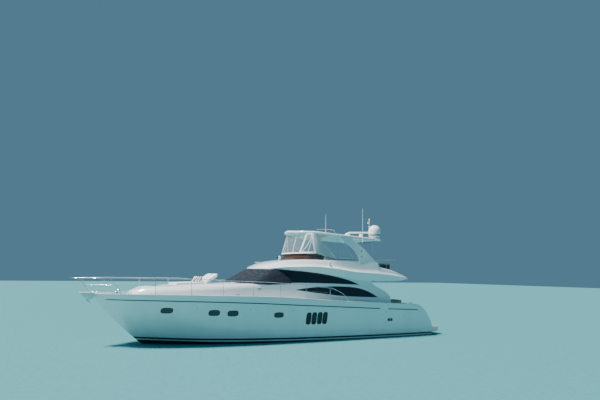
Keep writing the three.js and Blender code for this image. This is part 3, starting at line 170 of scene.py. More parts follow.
# The openings of the windscreen and the rebate round all three, seen from ahead: y and z.
WINDSCREEN_PANES = (
    [[-600, 3330], [600, 3330], [520, 3925], [-520, 3925]],
    [[690, 3320], [1560, 3235], [1290, 3900], [610, 3925]],
    [[-690, 3320], [-610, 3925], [-1290, 3900], [-1560, 3235]],
)
WINDSCREEN_OUTLINE = [
    [-1600, 3210], [-700, 3290], [700, 3290], [1600, 3210],
    [1330, 3920], [600, 3945], [-600, 3945], [-1330, 3920],
]
HOUSE_FOOT_Z = 1.65
WALL_THICKNESS = 0.06
FLY_SOLE_Z = 3.8
COCKPIT_SOLE_Z = 1.38
SALOON_SOLE_Z = 1.5
PLINTH_TOP_Z = 5.99
# x, y and z of its foot, radius and height.
SAT_DOME = (-6.33, 1.2, PLINTH_TOP_Z + 0.001, 0.395, 0.868)
RADAR_AXIS = (-6.38, -0.4)
# y of both wheels and helm seats.
HELM_Y = -0.7
# How far the deck lies in from the gunwale and below it.
BULWARK = (0.12, 0.18)
UP = np.array([0.0, 0.0, 1.0])
MIRROR = np.array([1.0, -1.0, 1.0])
FAR = 20.0
GAP = 0.0003


class Mode(Enum):
    """How one solid changes another."""

    CUT = "DIFFERENCE"
    JOIN = "UNION"
    KEEP = "INTERSECT"


@dataclass
class Shape:
    """Vertices (n, 3) and faces, each a list of vertex numbers."""

    verts: Array
    faces: list


def spread(*values: Array) -> list:
    """Numbers as arrays of one common shape."""
    return np.broadcast_arrays(*[np.asarray(value, float) for value in values])


def hermite(keys: Array, values: Array, at: Array) -> Array:
    """Cubic through listed values; the slope at each is that between its two neighbours.

    Formula: (1+2t)(1-t)^2 a + t^2(3-2t) b + t(1-t)^2 w A + t^2(t-1) w B, for the span of width w.

    Args:
        keys: Rising positions of the values, shape (n,).
        values: Values at the keys, shape (n, ...).
        at: Positions to work out, any shape.

    Returns:
        Values at those positions, of the shape of at followed by that of one value.
    """
    keys = np.asarray(keys, float)
    values = np.asarray(values, float)
    last = len(keys) - 1
    before = np.maximum(np.arange(last + 1) - 1, 0)
    after = np.minimum(np.arange(last + 1) + 1, last)
    tail = (1,) * (values.ndim - 1)
    slope = (values[after] - values[before]) / (keys[after] - keys[before]).reshape(-1, *tail)
    at = np.asarray(at, float)
    i = np.clip(np.searchsorted(keys, at, side="right") - 1, 0, last - 1)
    width = keys[i + 1] - keys[i]
    t = np.clip((at - keys[i]) / width, 0, 1)
    width = width.reshape(at.shape + tail)
    t = t.reshape(at.shape + tail)
    near = (1 + 2 * t) * (1 - t) ** 2 * values[i] + t * t * (3 - 2 * t) * values[i + 1]
    return near + width * (t * (1 - t) ** 2 * slope[i] + t * t * (t - 1) * slope[i + 1])


def rows_at(table: Array, at: Array) -> Array:
    """A station table at any row numbers, smoothed between its rows."""
    return hermite(np.arange(len(table)), table, at)


def resampled(table: Array, count: int) -> Array:
    """A station table smoothed to more rows."""
    return rows_at(table, np.linspace(0, len(table) - 1, count))


def smooth_path(points: Sequence, count: int) -> Array:
    """A smooth curve through points, with the length of its chords as the key."""
    points = np.asarray(points, float)
    chord = np.concatenate([[0], np.cumsum(np.linalg.norm(np.diff(points, axis=0), axis=1))])
    return hermite(chord, points, np.linspace(0, chord[-1], count))


def lengths(grid: Array, axis: int = 0) -> Array:
    """Lengths of a grid's lines of points along one axis."""
    return np.linalg.norm(np.diff(grid, axis=axis), axis=-1).sum(axis=axis)


def length_of(path: Array) -> float:
    """Length of a line of points."""
    return float(lengths(path))


def outline_of(runs: Sequence, step: float = 0.12) -> Array:
    """A closed outline from runs in millimetres; each run is smooth and its ends stay corners.

    Args:
        runs: Lists of points; each begins where the last one ends.
        step: About how far apart the new points are, in metres.

    Returns:
        Points (n, 2) in metres, without the repeated corners.
    """
    parts = []
    for run in runs:
        run = np.array(run, float) * MM
        dense = run if len(run) == 2 else smooth_path(run, max(int(length_of(run) / step), len(run)))
        parts.append(dense[:-1])
    return np.concatenate(parts)


def filleted(rings: Array, radii: Sequence, steps: int = 4, closed: bool = False) -> Array:
    """Rounds the corners of many rings at once, each by a parabola (1-t)^2 a + 2t(1-t) p + t^2 b.

    Args:
        rings: Points (rings, points, dimensions).
        radii: How far from each corner its rounding starts.
        steps: Spans of one rounding.
        closed: Whether the last point is followed by the first.

    Returns:
        Rings with steps + 1 points for each corner.
    """
    radii = np.array(radii, float)
    if not closed:
        radii[[0, -1]] = 0
    back = np.roll(rings, 1, axis=1) - rings
    ahead = np.roll(rings, -1, axis=1) - rings
    back_length = np.maximum(np.linalg.norm(back, axis=-1, keepdims=True), 1e-9)
    ahead_length = np.maximum(np.linalg.norm(ahead, axis=-1, keepdims=True), 1e-9)
    reach = np.minimum(np.minimum(back_length, ahead_length) * 0.49, radii[None, :, None])
    start = (rings + back / back_length * reach)[:, :, None]
    end = (rings + ahead / ahead_length * reach)[:, :, None]
    t = np.linspace(0, 1, steps + 1)[None, None, :, None]
    curve = (1 - t) ** 2 * start + 2 * t * (1 - t) * rings[:, :, None] + t * t * end
    return curve.reshape(rings.shape[0], -1, rings.shape[-1])


def grid_faces(rows: int, columns: int, wrap: bool = False) -> list:
    """Quads of a grid whose point (r, c) is number r * columns + c; wrap joins its last column and first."""
    r = np.arange(rows - 1)[:, None]
    c = np.arange(columns if wrap else columns - 1)[None, :]
    nxt = (c + 1) % columns
    quads = np.stack([r * columns + c, r * columns + nxt, (r + 1) * columns + nxt, (r + 1) * columns + c], -1)
    return quads.reshape(-1, 4).tolist()


def layered(rows: Sequence, least: Sequence | None = None) -> Array:
    """Half rings (stations, points, 3) from rows of x, y and z; least is the smallest y of each row."""
    lows = np.full(len(rows), -np.inf) if least is None else MM * np.array(least)
    return np.stack([np.stack([x, np.maximum(y, low), z], -1) for (x, y, z), low in zip(rows, lows)], axis=1)


def half_loft(half_rings: Array) -> Shape:
    """A body that is the same on both sides, from port half rings that start and end on the centreline.

    Args:
        half_rings: Points (rings, points, 3) with y at or above 0.

    Returns:
        A closed shape; its ends are closed by strips across from port to starboard.
    """
    mirror = half_rings[:, ::-1] * MIRROR
    rings = np.concatenate([half_rings, mirror], axis=1)
    rows, columns = rings.shape[:2]
    p = np.arange(columns // 2 - 1)
    cap = np.stack([p, columns - 1 - p, columns - 2 - p, p + 1], -1)
    faces = grid_faces(rows, columns, wrap=True)
    faces += cap.tolist() + (cap[:, ::-1] + (rows - 1) * columns).tolist()
    return Shape(rings.reshape(-1, 3), faces)


def ring_loft(rings: Array) -> Shape:
    """A closed body through plain rings (rings, points, 3), with one face over each end."""
    rows, columns = rings.shape[:2]
    faces = grid_faces(rows, columns, wrap=True)
    first = list(range(columns))
    faces += [first[::-1], [(rows - 1) * columns + i for i in first]]
    return Shape(rings.reshape(-1, 3), faces)


def sheet_shape(grid: Array) -> Shape:
    """An open sheet from a grid of points (rows, columns, 3)."""
    return Shape(grid.reshape(-1, 3), grid_faces(grid.shape[0], grid.shape[1]))


def prism(outline: Array, axis: int, low: float, high: float) -> Shape:
    """A flat outline drawn out along one axis.

    Args:
        outline: Points (n, 2), in the order of the two other axes.
        axis: 0, 1 or 2 for X, Y or Z.
        low: Where the body starts on that axis.
        high: Where it ends.

    Returns:
        A closed shape with two rings.
    """
    outline = np.asarray(outline, float)
    others = [a for a in range(3) if a != axis]
    rings = np.zeros((2, len(outline), 3))
    rings[:, :, others] = outline[None]
    rings[0, :, axis] = low
    rings[1, :, axis] = high
    return ring_loft(rings)


def box_shape(x0: float, x1: float, y0: float, y1: float, z0: float, z1: float) -> Shape:
    """A plain box between two corners, used to cut and to start bevelled pieces."""
    return prism([[x0, y0], [x1, y0], [x1, y1], [x0, y1]], 2, z0, z1)


def border_of(rows: int, columns: int) -> Array:
    """Numbers of a grid's outer points, once round."""
    return np.concatenate([
        np.arange(columns), np.arange(1, rows) * columns + columns - 1,
        (rows - 1) * columns + np.arange(columns - 2, -1, -1), np.arange(rows - 2, 0, -1) * columns])


def rounded_rectangle(x0: float, x1: float, y0: float, y1: float, radius: float, steps: int = 5) -> Array:
    """Corner-rounded rectangle (n, 2)."""
    corners = np.array([[[x0, y0], [x1, y0], [x1, y1], [x0, y1]]], float)
    return filleted(corners, [radius * 1.3] * 4, steps, closed=True)[0]


def with_mirror(plan: Array) -> Array:
    """A port outline (x, y) from centre to centre, closed by its starboard mirror."""
    inner = plan[np.abs(plan[:, 1]) > 1e-6][::-1] * [1, -1]
    return np.concatenate([plan, inner])


def mirrored(grid: Array) -> Array:
    """A port grid (rows, columns, 3) that starts on the centreline, carried on to starboard."""
    return np.concatenate([grid[:, ::-1], grid[:, 1:] * MIRROR], axis=1)


def at_height(plan: Array, z: float) -> Array:
    """Points (x, y) of a plan, all at one height."""
    return np.append(plan, np.full((len(plan), 1), z), 1)


def unit(vectors: Array) -> Array:
    """Vectors scaled to length 1 along the last axis."""
    return vectors / np.maximum(np.linalg.norm(vectors, axis=-1, keepdims=True), 1e-12)


def sweep(path: Array, profile: Array, out: Array, closed: bool = False, scale: Array | None = None) -> Shape:
    """A profile carried along a path: point = path + a * out + b * (tangent x out).

    Args:
        path: Points (n, 3).
        profile: Points (m, 2) of a closed profile, a along out and b across.
        out: Directions (n, 3), or one (3,), that a points along; made square to the path.
        closed: Whether the path joins its own start.
        scale: Size of the profile at each point, shape (n,).

    Returns:
        A closed shape.
    """
    if closed:
        ahead = np.roll(path, -1, axis=0) - np.roll(path, 1, axis=0)
    else:
        ahead = np.gradient(path, axis=0)
    tangent = unit(ahead)
    out = np.broadcast_to(np.asarray(out, float), path.shape)
    out = unit(out - (out * tangent).sum(-1, keepdims=True) * tangent)
    across = np.cross(tangent, out)
    size = np.ones(len(path)) if scale is None else np.asarray(scale)
    a = profile[None, :, 0, None] * size[:, None, None]
    b = profile[None, :, 1, None] * size[:, None, None]
    rings = path[:, None] + a * out[:, None] + b * across[:, None]
    if not closed:
        return ring_loft(rings)
    rings = np.concatenate([rings, rings[:1]])
    return Shape(rings.reshape(-1, 3), grid_faces(rings.shape[0], rings.shape[1], wrap=True))


def circle(radius: float, sides: int = 12) -> Array:
    """A round profile (sides, 2)."""
    angle = np.arange(sides) * 2 * np.pi / sides
    return radius * np.stack([np.cos(angle), np.sin(angle)], -1)


def tube(points: Sequence, radius: float, sides: int = 12, count: int = 0, closed: bool = False,
         scale: Array | None = None) -> Shape:
    """A round tube along a path; count above 0 smooths the path to that many points first."""
    path = smooth_path(points, count) if count else np.asarray(points, float)
    overall = np.abs(unit(np.gradient(path, axis=0))).max(axis=0)
    out = np.eye(3)[np.argmin(overall)] + 0.013
    return sweep(path, circle(radius, sides), out, closed, scale)


def lathe(profile: Sequence, centre: Sequence, sides: int = 32, axis: Sequence = (0, 0, 1)) -> Shape:
    """A body of revolution: rings of radius r at height h along an axis through the centre.

    Args:
        profile: Rows of r and h, from one closed end to the other.
        centre: The point where h is 0.
        sides: Points round each ring.
        axis: Direction of the height.

    Returns:
        A closed shape.
    """
    profile = np.asarray(profile, float)
    turn = np.array(Vector((0, 0, 1)).rotation_difference(Vector(axis)).to_matrix())
    ring = circle(1.0, sides)
    points = np.concatenate([
        profile[:, None, :1] * ring[None],
        np.broadcast_to(profile[:, None, 1:], (len(profile), sides, 1)),
    ], axis=-1)
    return ring_loft(points @ turn.T + np.asarray(centre, float))


def merged(shapes: Sequence[Shape]) -> Shape:
    """Several closed shapes as one list of faces, side by side."""
    verts = []
    faces = []
    start = 0
    for shape in shapes:
        verts.append(shape.verts)
        faces += [[start + i for i in face] for face in shape.faces]
        start += len(shape.verts)
    return Shape(np.concatenate(verts), faces)


def whole(shape: Shape | Sequence[Shape]) -> Shape:
    """One shape from one or several."""
    return shape if isinstance(shape, Shape) else merged(shape)


def flipped(shape: Shape) -> Shape:
    """The shape mirrored to the other side, its faces turned to point outwards."""
    return Shape(shape.verts * MIRROR, [face[::-1] for face in shape.faces])


def on_side(shape: Shape, side: float) -> Shape:
    """The shape to port, or mirrored to starboard."""
    return shape if side > 0 else flipped(shape)


def sided(shapes: Sequence[Shape], side: float) -> Shape:
    """Several shapes as one, to port or mirrored to starboard."""
    return on_side(merged(shapes), side)


def both(shape: Shape | Sequence[Shape]) -> Shape:
    """One shape or several, with the mirror."""
    return merged([whole(shape), flipped(whole(shape))])


def linked(name: str, data: bpy.types.ID) -> Piece:
    """A new object in the scene."""
    piece = bpy.data.objects.new(name, data)
    bpy.context.scene.collection.objects.link(piece)
    return piece


def make(name: str, shape: Shape, solid: bool = True) -> Piece:
    """A linked object from a shape, its doubles merged; a closed shape's faces are turned outwards.

    Args:
        name: Name of the object.
        shape: Vertices and faces.
        solid: Whether the shape is closed.

    Returns:
        The object, at the origin.
    """
    mesh = bpy.data.meshes.new(name)
    mesh.from_pydata(shape.verts.tolist(), [], shape.faces)
    piece = linked(name, mesh)
    work = bmesh.new()
    work.from_mesh(mesh)
    bmesh.ops.remove_doubles(work, verts=work.verts, dist=2e-5)
    bmesh.ops.dissolve_degenerate(work, edges=work.edges, dist=1e-5)
    if solid:
        bmesh.ops.recalc_face_normals(work, faces=work.faces)
    work.to_mesh(mesh)
    work.free()
    return piece


def applied(piece: Piece) -> Piece:
    """Makes the modifiers of a piece its mesh."""
    graph = bpy.context.evaluated_depsgraph_get()
    mesh = bpy.data.meshes.new_from_object(piece.evaluated_get(graph))
    piece.modifiers.clear()
    piece.data = mesh
    return piece


def combined(piece: Piece, tools: Sequence[Shape], mode: Mode) -> Piece:
    """Cuts, joins or limits a solid by others, one after another.

    The exact solver steps in where the quick one fails. Faces of five or more corners are split at
    the end, because rounding their edges could fold them.
    """
    for tool in tools:
        other = make("tool", tool)
        start = piece.data
        for solver in ("MANIFOLD", "EXACT"):
            change = piece.modifiers.new("change", "BOOLEAN")
            change.operation = mode.value
            change.solver = solver
            change.object = other
            applied(piece)
            if piece.data.vertices and len(piece.data.vertices) != len(start.vertices):
                break
            LOG.warning("%s: the %s solver left %s unchanged", piece.name, solver, mode.name)
            piece.data = start
        bpy.data.objects.remove(other)
    split = piece.modifiers.new("split", "TRIANGULATE")
    split.min_vertices = 5
    return applied(piece)


def shape_of(piece: Piece) -> Shape:
    """Reads a mesh back as a shape."""
    verts = np.zeros(len(piece.data.vertices) * 3)
    piece.data.vertices.foreach_get("co", verts)
    return Shape(verts.reshape(-1, 3), [list(face.vertices) for face in piece.data.polygons])


def carved(shape: Shape, *steps: tuple) -> Shape:
    """A shape after steps of tools and a mode, worked out on a piece that is then removed."""
    piece = make("work", shape)
    for tools, mode in steps:
        combined(piece, tools, mode)
    result = shape_of(piece)
    bpy.data.objects.remove(piece)
    return result


def bevelled(piece: Piece, width: float, segments: int = 2, angle: float = 40) -> Piece:
    """Rounds every edge that is sharper than an angle in degrees."""
    bevel = piece.modifiers.new("edges", "BEVEL")
    bevel.width = width
    bevel.segments = segments
    bevel.limit_method = "ANGLE"
    bevel.angle_limit = np.radians(angle)
    bevel.use_clamp_overlap = True
    bevel.miter_outer = "MITER_ARC"
    return applied(piece)


def thickened(piece: Piece, thickness: float, offset: float = -1) -> Piece:
    """Gives a sheet its thickness."""
    wall = piece.modifiers.new("wall", "SOLIDIFY")
    wall.thickness = thickness
    wall.offset = offset
    return applied(piece)


def cloth(name: str, grid: Array, thickness: float) -> Piece:
    """A sheet whose middle surface is a grid of points."""
    return thickened(make(name, sheet_shape(grid), solid=False), thickness, 0)


def dress(piece: Piece, finish: "Finish", slot: str = "", body: str = ROOT,
          replaces: Sequence[str] = (), angle: float = 35) -> Piece:
    """Gives a piece its finish, smooth shading and body.

    Args:
        piece: The object, final in shape.
        finish: What its surface is.
        slot: Not used.
        body: The CAD body it rides on.
        replaces: CAD nodes it stands for.
        angle: Edges sharper than this many degrees stay crisp.

    Returns:
        The same object.
    """
    piece.data.materials.clear()
    piece.data.materials.append(finish.material())
    piece.data.polygons.foreach_set("use_smooth", np.ones(len(piece.data.polygons), bool))
    piece.data.set_sharp_from_angle(angle=np.radians(angle))
    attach(piece, body)
    if replaces:
        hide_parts(*replaces)
    LOG.info("%s: %d faces", piece.name, len(piece.data.polygons))
    return piece


def fit(name: str, shape: Shape | Sequence[Shape], finish: "Finish", slot: str = "", edge: tuple = (),
        **more: object) -> Piece:
    """Makes a piece from one shape or several, rounds its edges if asked to, and dresses it."""
    piece = make(name, whole(shape))
    return dress(bevelled(piece, *edge) if edge else piece, finish, slot, **more)


# Finishes

class Graph:
    """A material's nodes, with short calls for what the finishes use."""

    def __init__(self, name: str) -> None:
        """Starts a material with its shader and the object's own coordinates."""
        self.material = bpy.data.materials.new(name)
        self.material.use_nodes = True
        self.tree = self.material.node_tree
        self.shader = self.tree.nodes["Principled BSDF"]
        self.place = self.add("ShaderNodeTexCoord").outputs["Object"]

    def put(self, socket: Socket, value: object) -> None:
        """Links a socket to another, or sets its own value."""
        if isinstance(value, Socket):
            self.tree.links.new(value, socket)
        else:
            socket.default_value = value

    def add(self, kind: str, inputs: dict | None = None, **settings: object) -> bpy.types.Node:
        """A new node with its settings and inputs."""
        node = self.tree.nodes.new(kind)
        for key, value in settings.items():
            setattr(node, key, value)
        for key, value in (inputs or {}).items():
            self.put(node.inputs[key], value)
        return node

    def math(self, operation: str, a: object, b: object = 0.0, c: object = 0.0) -> Socket:
        """One sum on numbers."""
        return self.add("ShaderNodeMath", {0: a, 1: b, 2: c}, operation=operation).outputs[0]

    def noise(self, scale: float, detail: float = 3.0, vector: object = None) -> Socket:
        """Smooth noise from about 0.3 to 0.7."""
        inputs = {"Vector": vector or self.place, "Scale": scale, "Detail": detail}
        return self.add("ShaderNodeTexNoise", inputs).outputs["Fac"]

    def span(self, value: object, low: float, high: float, start: float = 0.3,
             end: float = 0.7) -> Socket:
        """Carries start..end over to low..high."""
        inputs = {"Value": value, "From Min": start, "From Max": end, "To Min": low, "To Max": high}
        return self.add("ShaderNodeMapRange", inputs).outputs[0]

    def mix(self, factor: object, a: object, b: object) -> Socket:
        """A colour between two others."""
        node = self.add("ShaderNodeMix", {"Factor": factor}, data_type="RGBA")
        self.put(node.inputs[6], a)
        self.put(node.inputs[7], b)
        return node.outputs[2]

    def wave(self, operation: str, a: object, b: object, pitch: float) -> Socket:
        """The sine of pitch times the sum or the difference of two values."""
        return self.math("SINE", self.math("MULTIPLY", self.math(operation, a, b), pitch))

    def stretched(self, scale: Sequence) -> Socket:
        """The object's coordinates, scaled along each axis."""
        return self.add("ShaderNodeMapping", {"Vector": self.place, "Scale": scale}).outputs[0]

    def axes(self) -> tuple:
        """The x, y and z of the object's coordinates."""
        return tuple(self.add("ShaderNodeSeparateXYZ", {0: self.place}).outputs)

    def bump(self, height: object, strength: float, distance: float) -> None:
        """Gives the shader a bumped normal."""
        node = self.add("ShaderNodeBump", {"Height": height, "Strength": strength, "Distance": distance})
        self.put(self.shader.inputs["Normal"], node.outputs[0])


def tone(colour: Sequence, factor: float) -> tuple:
    """A colour made lighter or darker, with alpha 1."""
    return (*[min(c * factor, 1.0) for c in colour[:3]], 1.0)


@dataclass(frozen=True)
class Finish:
    """A surface with a slow drift of colour and gloss, and a fine bump."""

    name: str
    colour: tuple
    roughness: float
    metallic: float = 0.0
    coat: float = 0.0
    sheen: float = 0.0
    alpha: float = 1.0
    drift: float = 0.04
    drift_scale: float = 0.8
    grain_scale: float = 60.0
    grain: float = 0.03
    grain_depth: float = 0.002
    slot: str = "gelcoat"

    def material(self) -> bpy.types.Material:
        """The material, made once."""
        return bpy.data.materials.get(self.name) or self.build()

    def base(self, graph: Graph) -> Socket:
        """The drifting base colour."""
        slow = graph.span(graph.noise(self.drift_scale), 0.0, 1.0)
        return graph.mix(slow, tone(self.colour, 1 - self.drift), tone(self.colour, 1 + self.drift))

    def relief(self, graph: Graph) -> Socket:
        """The height of the fine bump."""
        return graph.noise(self.grain_scale, 4.0)

    def build(self) -> bpy.types.Material:
        """Wires the shader."""
        graph = Graph(self.name)
        shader = graph.shader
        graph.put(shader.inputs["Base Color"], self.base(graph))
        gloss = graph.span(graph.noise(self.drift_scale * 5), self.roughness * 0.8, self.roughness * 1.2)
        graph.put(shader.inputs["Roughness"], self.rough(graph, gloss))
        plain = {"Metallic": self.metallic, "Coat Weight": self.coat, "Coat Roughness": 0.06,
                 "Sheen Weight": self.sheen, "Alpha": self.alpha}
        for key, value in plain.items():
            graph.put(shader.inputs[key], value)
        graph.bump(self.relief(graph), self.grain, self.grain_depth)
        return graph.material

    def rough(self, graph: Graph, gloss: Socket) -> Socket:
        """The roughness, from the slow drift of gloss."""
        return gloss


@dataclass(frozen=True)
class HullPaint(Finish):
    """Gelcoat with boot stripes and bottom paint, by the height over a line that rises towards the bow.

    Line: 0.196 + 0.01226 x + 0.000608 x^2, the middle of the black stripe.
    """

    stripe: float = 0.042
    white_foot: float = -0.115

    def above_line(self, graph: Graph) -> Socket:
        """Height over the middle of the black stripe."""
        x, _, z = graph.axes()
        rise = graph.math("MULTIPLY_ADD", x, 0.000608, 0.01226)
        return graph.math("SUBTRACT", z, graph.math("MULTIPLY_ADD", rise, x, 0.196))

    def base(self, graph: Graph) -> Socket:
        """Gelcoat above, then a black stripe, a white line and dark bottom paint."""
        height = self.above_line(graph)
        stain = graph.noise(1.5, 5.0, graph.stretched((1.0, 1.0, 0.25)))
        low = graph.math("LESS_THAN", graph.math("ABSOLUTE", height), self.stripe)
        bottom = graph.math("LESS_THAN", height, self.white_foot)
        gel = graph.mix(graph.span(stain, 0.0, 1.0), tone(self.colour, 0.965), tone(self.colour, 1.03))
        striped = graph.mix(low, gel, (0.012, 0.013, 0.016, 1))
        weed = graph.mix(graph.span(graph.noise(9.0, 6.0), 0.0, 1.0), (0.014, 0.02, 0.024, 1),
                         (0.03, 0.04, 0.04, 1))
        return graph.mix(bottom, striped, weed)

    def rough(self, graph: Graph, gloss: Socket) -> Socket:
        """Bottom paint is matt."""
        bottom = graph.math("LESS_THAN", self.above_line(graph), self.white_foot)
        return graph.math("MULTIPLY_ADD", bottom, 0.5, gloss)


@dataclass(frozen=True)
class Woven(Finish):
    """Canvas: threads along two directions, with faded patches."""

    thread: float = 900.0
    grain: float = 0.3
    grain_depth: float = 0.0006

    def relief(self, graph: Graph) -> Socket:
        """Height = sin(thread x + y) times sin(thread z - y)."""
        x, y, z = graph.axes()
        one = graph.wave("ADD", x, y, self.thread)
        return graph.math("MULTIPLY", one, graph.wave("SUBTRACT", z, y, self.thread))


@dataclass(frozen=True)
class Striped(Woven):
    """A pale weave with dark stripes: dark where sin(pitch (x - 0.45 y + 0.65 z)) is above a level."""

    pitch: float = 42.0
    dark: tuple = (0.012, 0.012, 0.014)

    def base(self, graph: Graph) -> Socket:
        """Stripes over the drifting pale colour."""
        x, y, z = graph.axes()
        across = graph.math("SUBTRACT", x, graph.math("MULTIPLY", y, 0.45))
        wave = graph.wave("ADD", across, graph.math("MULTIPLY", z, 0.65), self.pitch)
        mask = graph.span(wave, 0.0, 1.0, -0.15, 0.0)
        return graph.mix(mask, super().base(graph), tone(self.dark, 1))


@dataclass(frozen=True)
class Planked(Finish):
    """Laid planks along the boat with dark seams between them."""

    plank: float = 0.055
    seam: float = 0.09
    seam_colour: tuple = (0.02, 0.02, 0.02, 1)

    def seams(self, graph: Graph) -> Socket:
        """1 in a seam: the fraction of y / plank is under the seam's share."""
        _, y, _ = graph.axes()
        share = graph.math("FRACT", graph.math("DIVIDE", y, self.plank))
        return graph.math("LESS_THAN", share, self.seam)

    def base(self, graph: Graph) -> Socket:
        """Wood grain drawn out along the planks, with seams."""
        _, y, _ = graph.axes()
        board = graph.math("FLOOR", graph.math("DIVIDE", y, self.plank))
        tint = graph.add("ShaderNodeTexWhiteNoise", {"W": board}, noise_dimensions="1D").outputs["Value"]
        grain = graph.noise(30.0, 6.0, graph.stretched((0.12, 1.0, 1.0)))
        factor = graph.math("MULTIPLY_ADD", tint, 0.35, graph.span(grain, 0.0, 0.65))
        wood = graph.mix(factor, tone(self.colour, 0.7), tone(self.colour, 1.25))
        return graph.mix(self.seams(graph), wood, self.seam_colour)

    def relief(self, graph: Graph) -> Socket:
        """Seams lie a little lower than the wood."""
        return graph.math("SUBTRACT", graph.noise(30.0, 4.0, graph.stretched((0.1, 1, 1))), self.seams(graph))


@dataclass(frozen=True)
class Brushed(Finish):
    """Metal polished along one direction."""

    def relief(self, graph: Graph) -> Socket:
        """Fine lines drawn out along x."""
        return graph.noise(220.0, 3.0, graph.stretched((0.06, 1.0, 1.0)))


@dataclass(frozen=True)
class Studded(Finish):
    """Moulded anti-slip: small raised diamonds, where |sin| of both diagonals is high."""

    pitch: float = 180.0

    def relief(self, graph: Graph) -> Socket:
        """Height = |sin(pitch (x + y))| times |sin(pitch (x - y))|."""
        x, y, _ = graph.axes()
        one = graph.wave("ADD", x, y, self.pitch)
        two = graph.wave("SUBTRACT", x, y, self.pitch)
        return graph.math("MULTIPLY", graph.math("ABSOLUTE", one), graph.math("ABSOLUTE", two))


GELCOAT = Finish("gelcoat_white", (0.80, 0.83, 0.84), 0.2, coat=0.6, drift=0.02, grain_scale=12, grain=0.015)
HULL_PAINT = HullPaint("gelcoat_hull", (0.78, 0.83, 0.84), 0.16, coat=0.7, grain_scale=5, grain=0.02,
                       grain_depth=0.004)
ANTI_SLIP = Studded("deck_anti_slip", (0.70, 0.73, 0.74), 0.55, drift=0.05, grain=0.5, grain_depth=0.001)
TINTED = Finish("glass_tinted", (0.006, 0.011, 0.022), 0.04, coat=0.4, alpha=0.93, drift=0.1, grain=0.0,
                slot="tinted_glass")
VINYL = Finish("vinyl_clear", (0.50, 0.60, 0.64), 0.07, alpha=0.1, drift=0.03, drift_scale=3, grain_scale=6,
               grain=0.12, grain_depth=0.004, slot="clear_vinyl")
SMOKED = Finish("acrylic_smoked", (0.075, 0.040, 0.028), 0.06, coat=0.5, alpha=0.78, drift=0.25,
                drift_scale=2, grain=0.0, slot="smoked_acrylic")
NAVY = Woven("canvas_navy", (0.0015, 0.0085, 0.02), 0.9, drift_scale=1.6, grain=0.35, slot="navy_canvas")
GREY = Woven("canvas_grey", (0.045, 0.052, 0.06), 0.85, sheen=0.2, drift=0.12, drift_scale=3, grain=0.35,
             slot="grey_canvas")
PALE = Woven("canvas_pale", (0.82, 0.83, 0.82), 0.8, sheen=0.3, drift_scale=3, slot="pale_canvas")
STRIPED = Striped("canvas_striped", (0.74, 0.75, 0.75), 0.8, sheen=0.3, slot="upholstery")
# Painted shade: white canvas coloured light blue-grey as it looks in shade, for the opaque quarter panels and
# their frames.
PALE_CANVAS_PAINTED_SHADE = Woven("canvas_pale_painted_shade", (0.46, 0.50, 0.52), 0.82, sheen=0.2, drift=0.08, drift_scale=3,
                   slot="pale_canvas")
TEAK = Planked("teak_laid", (0.36, 0.22, 0.12), 0.6, grain=0.3, grain_depth=0.001, slot="teak")
JOINERY = Planked("joinery_varnished", (0.22, 0.10, 0.045), 0.22, coat=0.6, plank=0.6, seam=0.004, grain=0.05,
                  slot="joinery")
STEEL = Brushed("steel_polished", (0.74, 0.75, 0.76), 0.14, metallic=1.0, drift=0.03, grain=0.05,
                grain_depth=0.0005, slot="stainless")
BRONZE = Brushed("bronze_cast", (0.46, 0.29, 0.12), 0.34, metallic=1.0, drift=0.2, drift_scale=6, grain=0.15)
IRON = Finish("engine_paint", (0.52, 0.54, 0.55), 0.45, metallic=0.2, drift=0.08, grain_scale=40, grain=0.2)
BOTTOM = Finish("bottom_paint", (0.02, 0.027, 0.032), 0.7, drift=0.2, drift_scale=4, grain_scale=50,
                grain=0.2)
# Painted shade: the strake's dark blue-grey stands for the shadow in the groove at the hull-deck joint.
STRAKE_PAINTED_SHADE = Finish("strake_painted_shade", (0.035, 0.055, 0.06), 0.5, drift=0.06, grain_scale=60, grain=0.05)
RUBBER = Finish("rubber_black", (0.012, 0.012, 0.014), 0.55, drift=0.1, grain_scale=90, grain=0.1,
                slot="smoked_acrylic")
HIDE = Finish("hide_cream", (0.70, 0.66, 0.58), 0.5, sheen=0.1, drift=0.05, drift_scale=2.5, grain_scale=240,
              grain=0.25, grain_depth=0.001, slot="upholstery")
DOME = Finish("plastic_white", (0.80, 0.82, 0.83), 0.3, coat=0.2, drift=0.02, grain_scale=40, grain=0.02,
              slot="dome_plastic")
GREY_BAND = Finish("plastic_grey", (0.28, 0.30, 0.32), 0.4, grain_scale=40, grain=0.04, slot="dome_plastic")
MAST = Finish("mast_paint", (0.80, 0.82, 0.83), 0.3, coat=0.3, drift=0.03, grain_scale=30,
              slot="painted_mast")
DARK_GLASS = Finish("glass_port", (0.008, 0.014, 0.02), 0.05, coat=0.5, drift=0.1, grain=0.0,
                    slot="tinted_glass")
FLOOR = Finish("studio_floor", (0.065, 0.26, 0.285), 0.6, drift=0.01, grain_scale=3, grain=0.0)


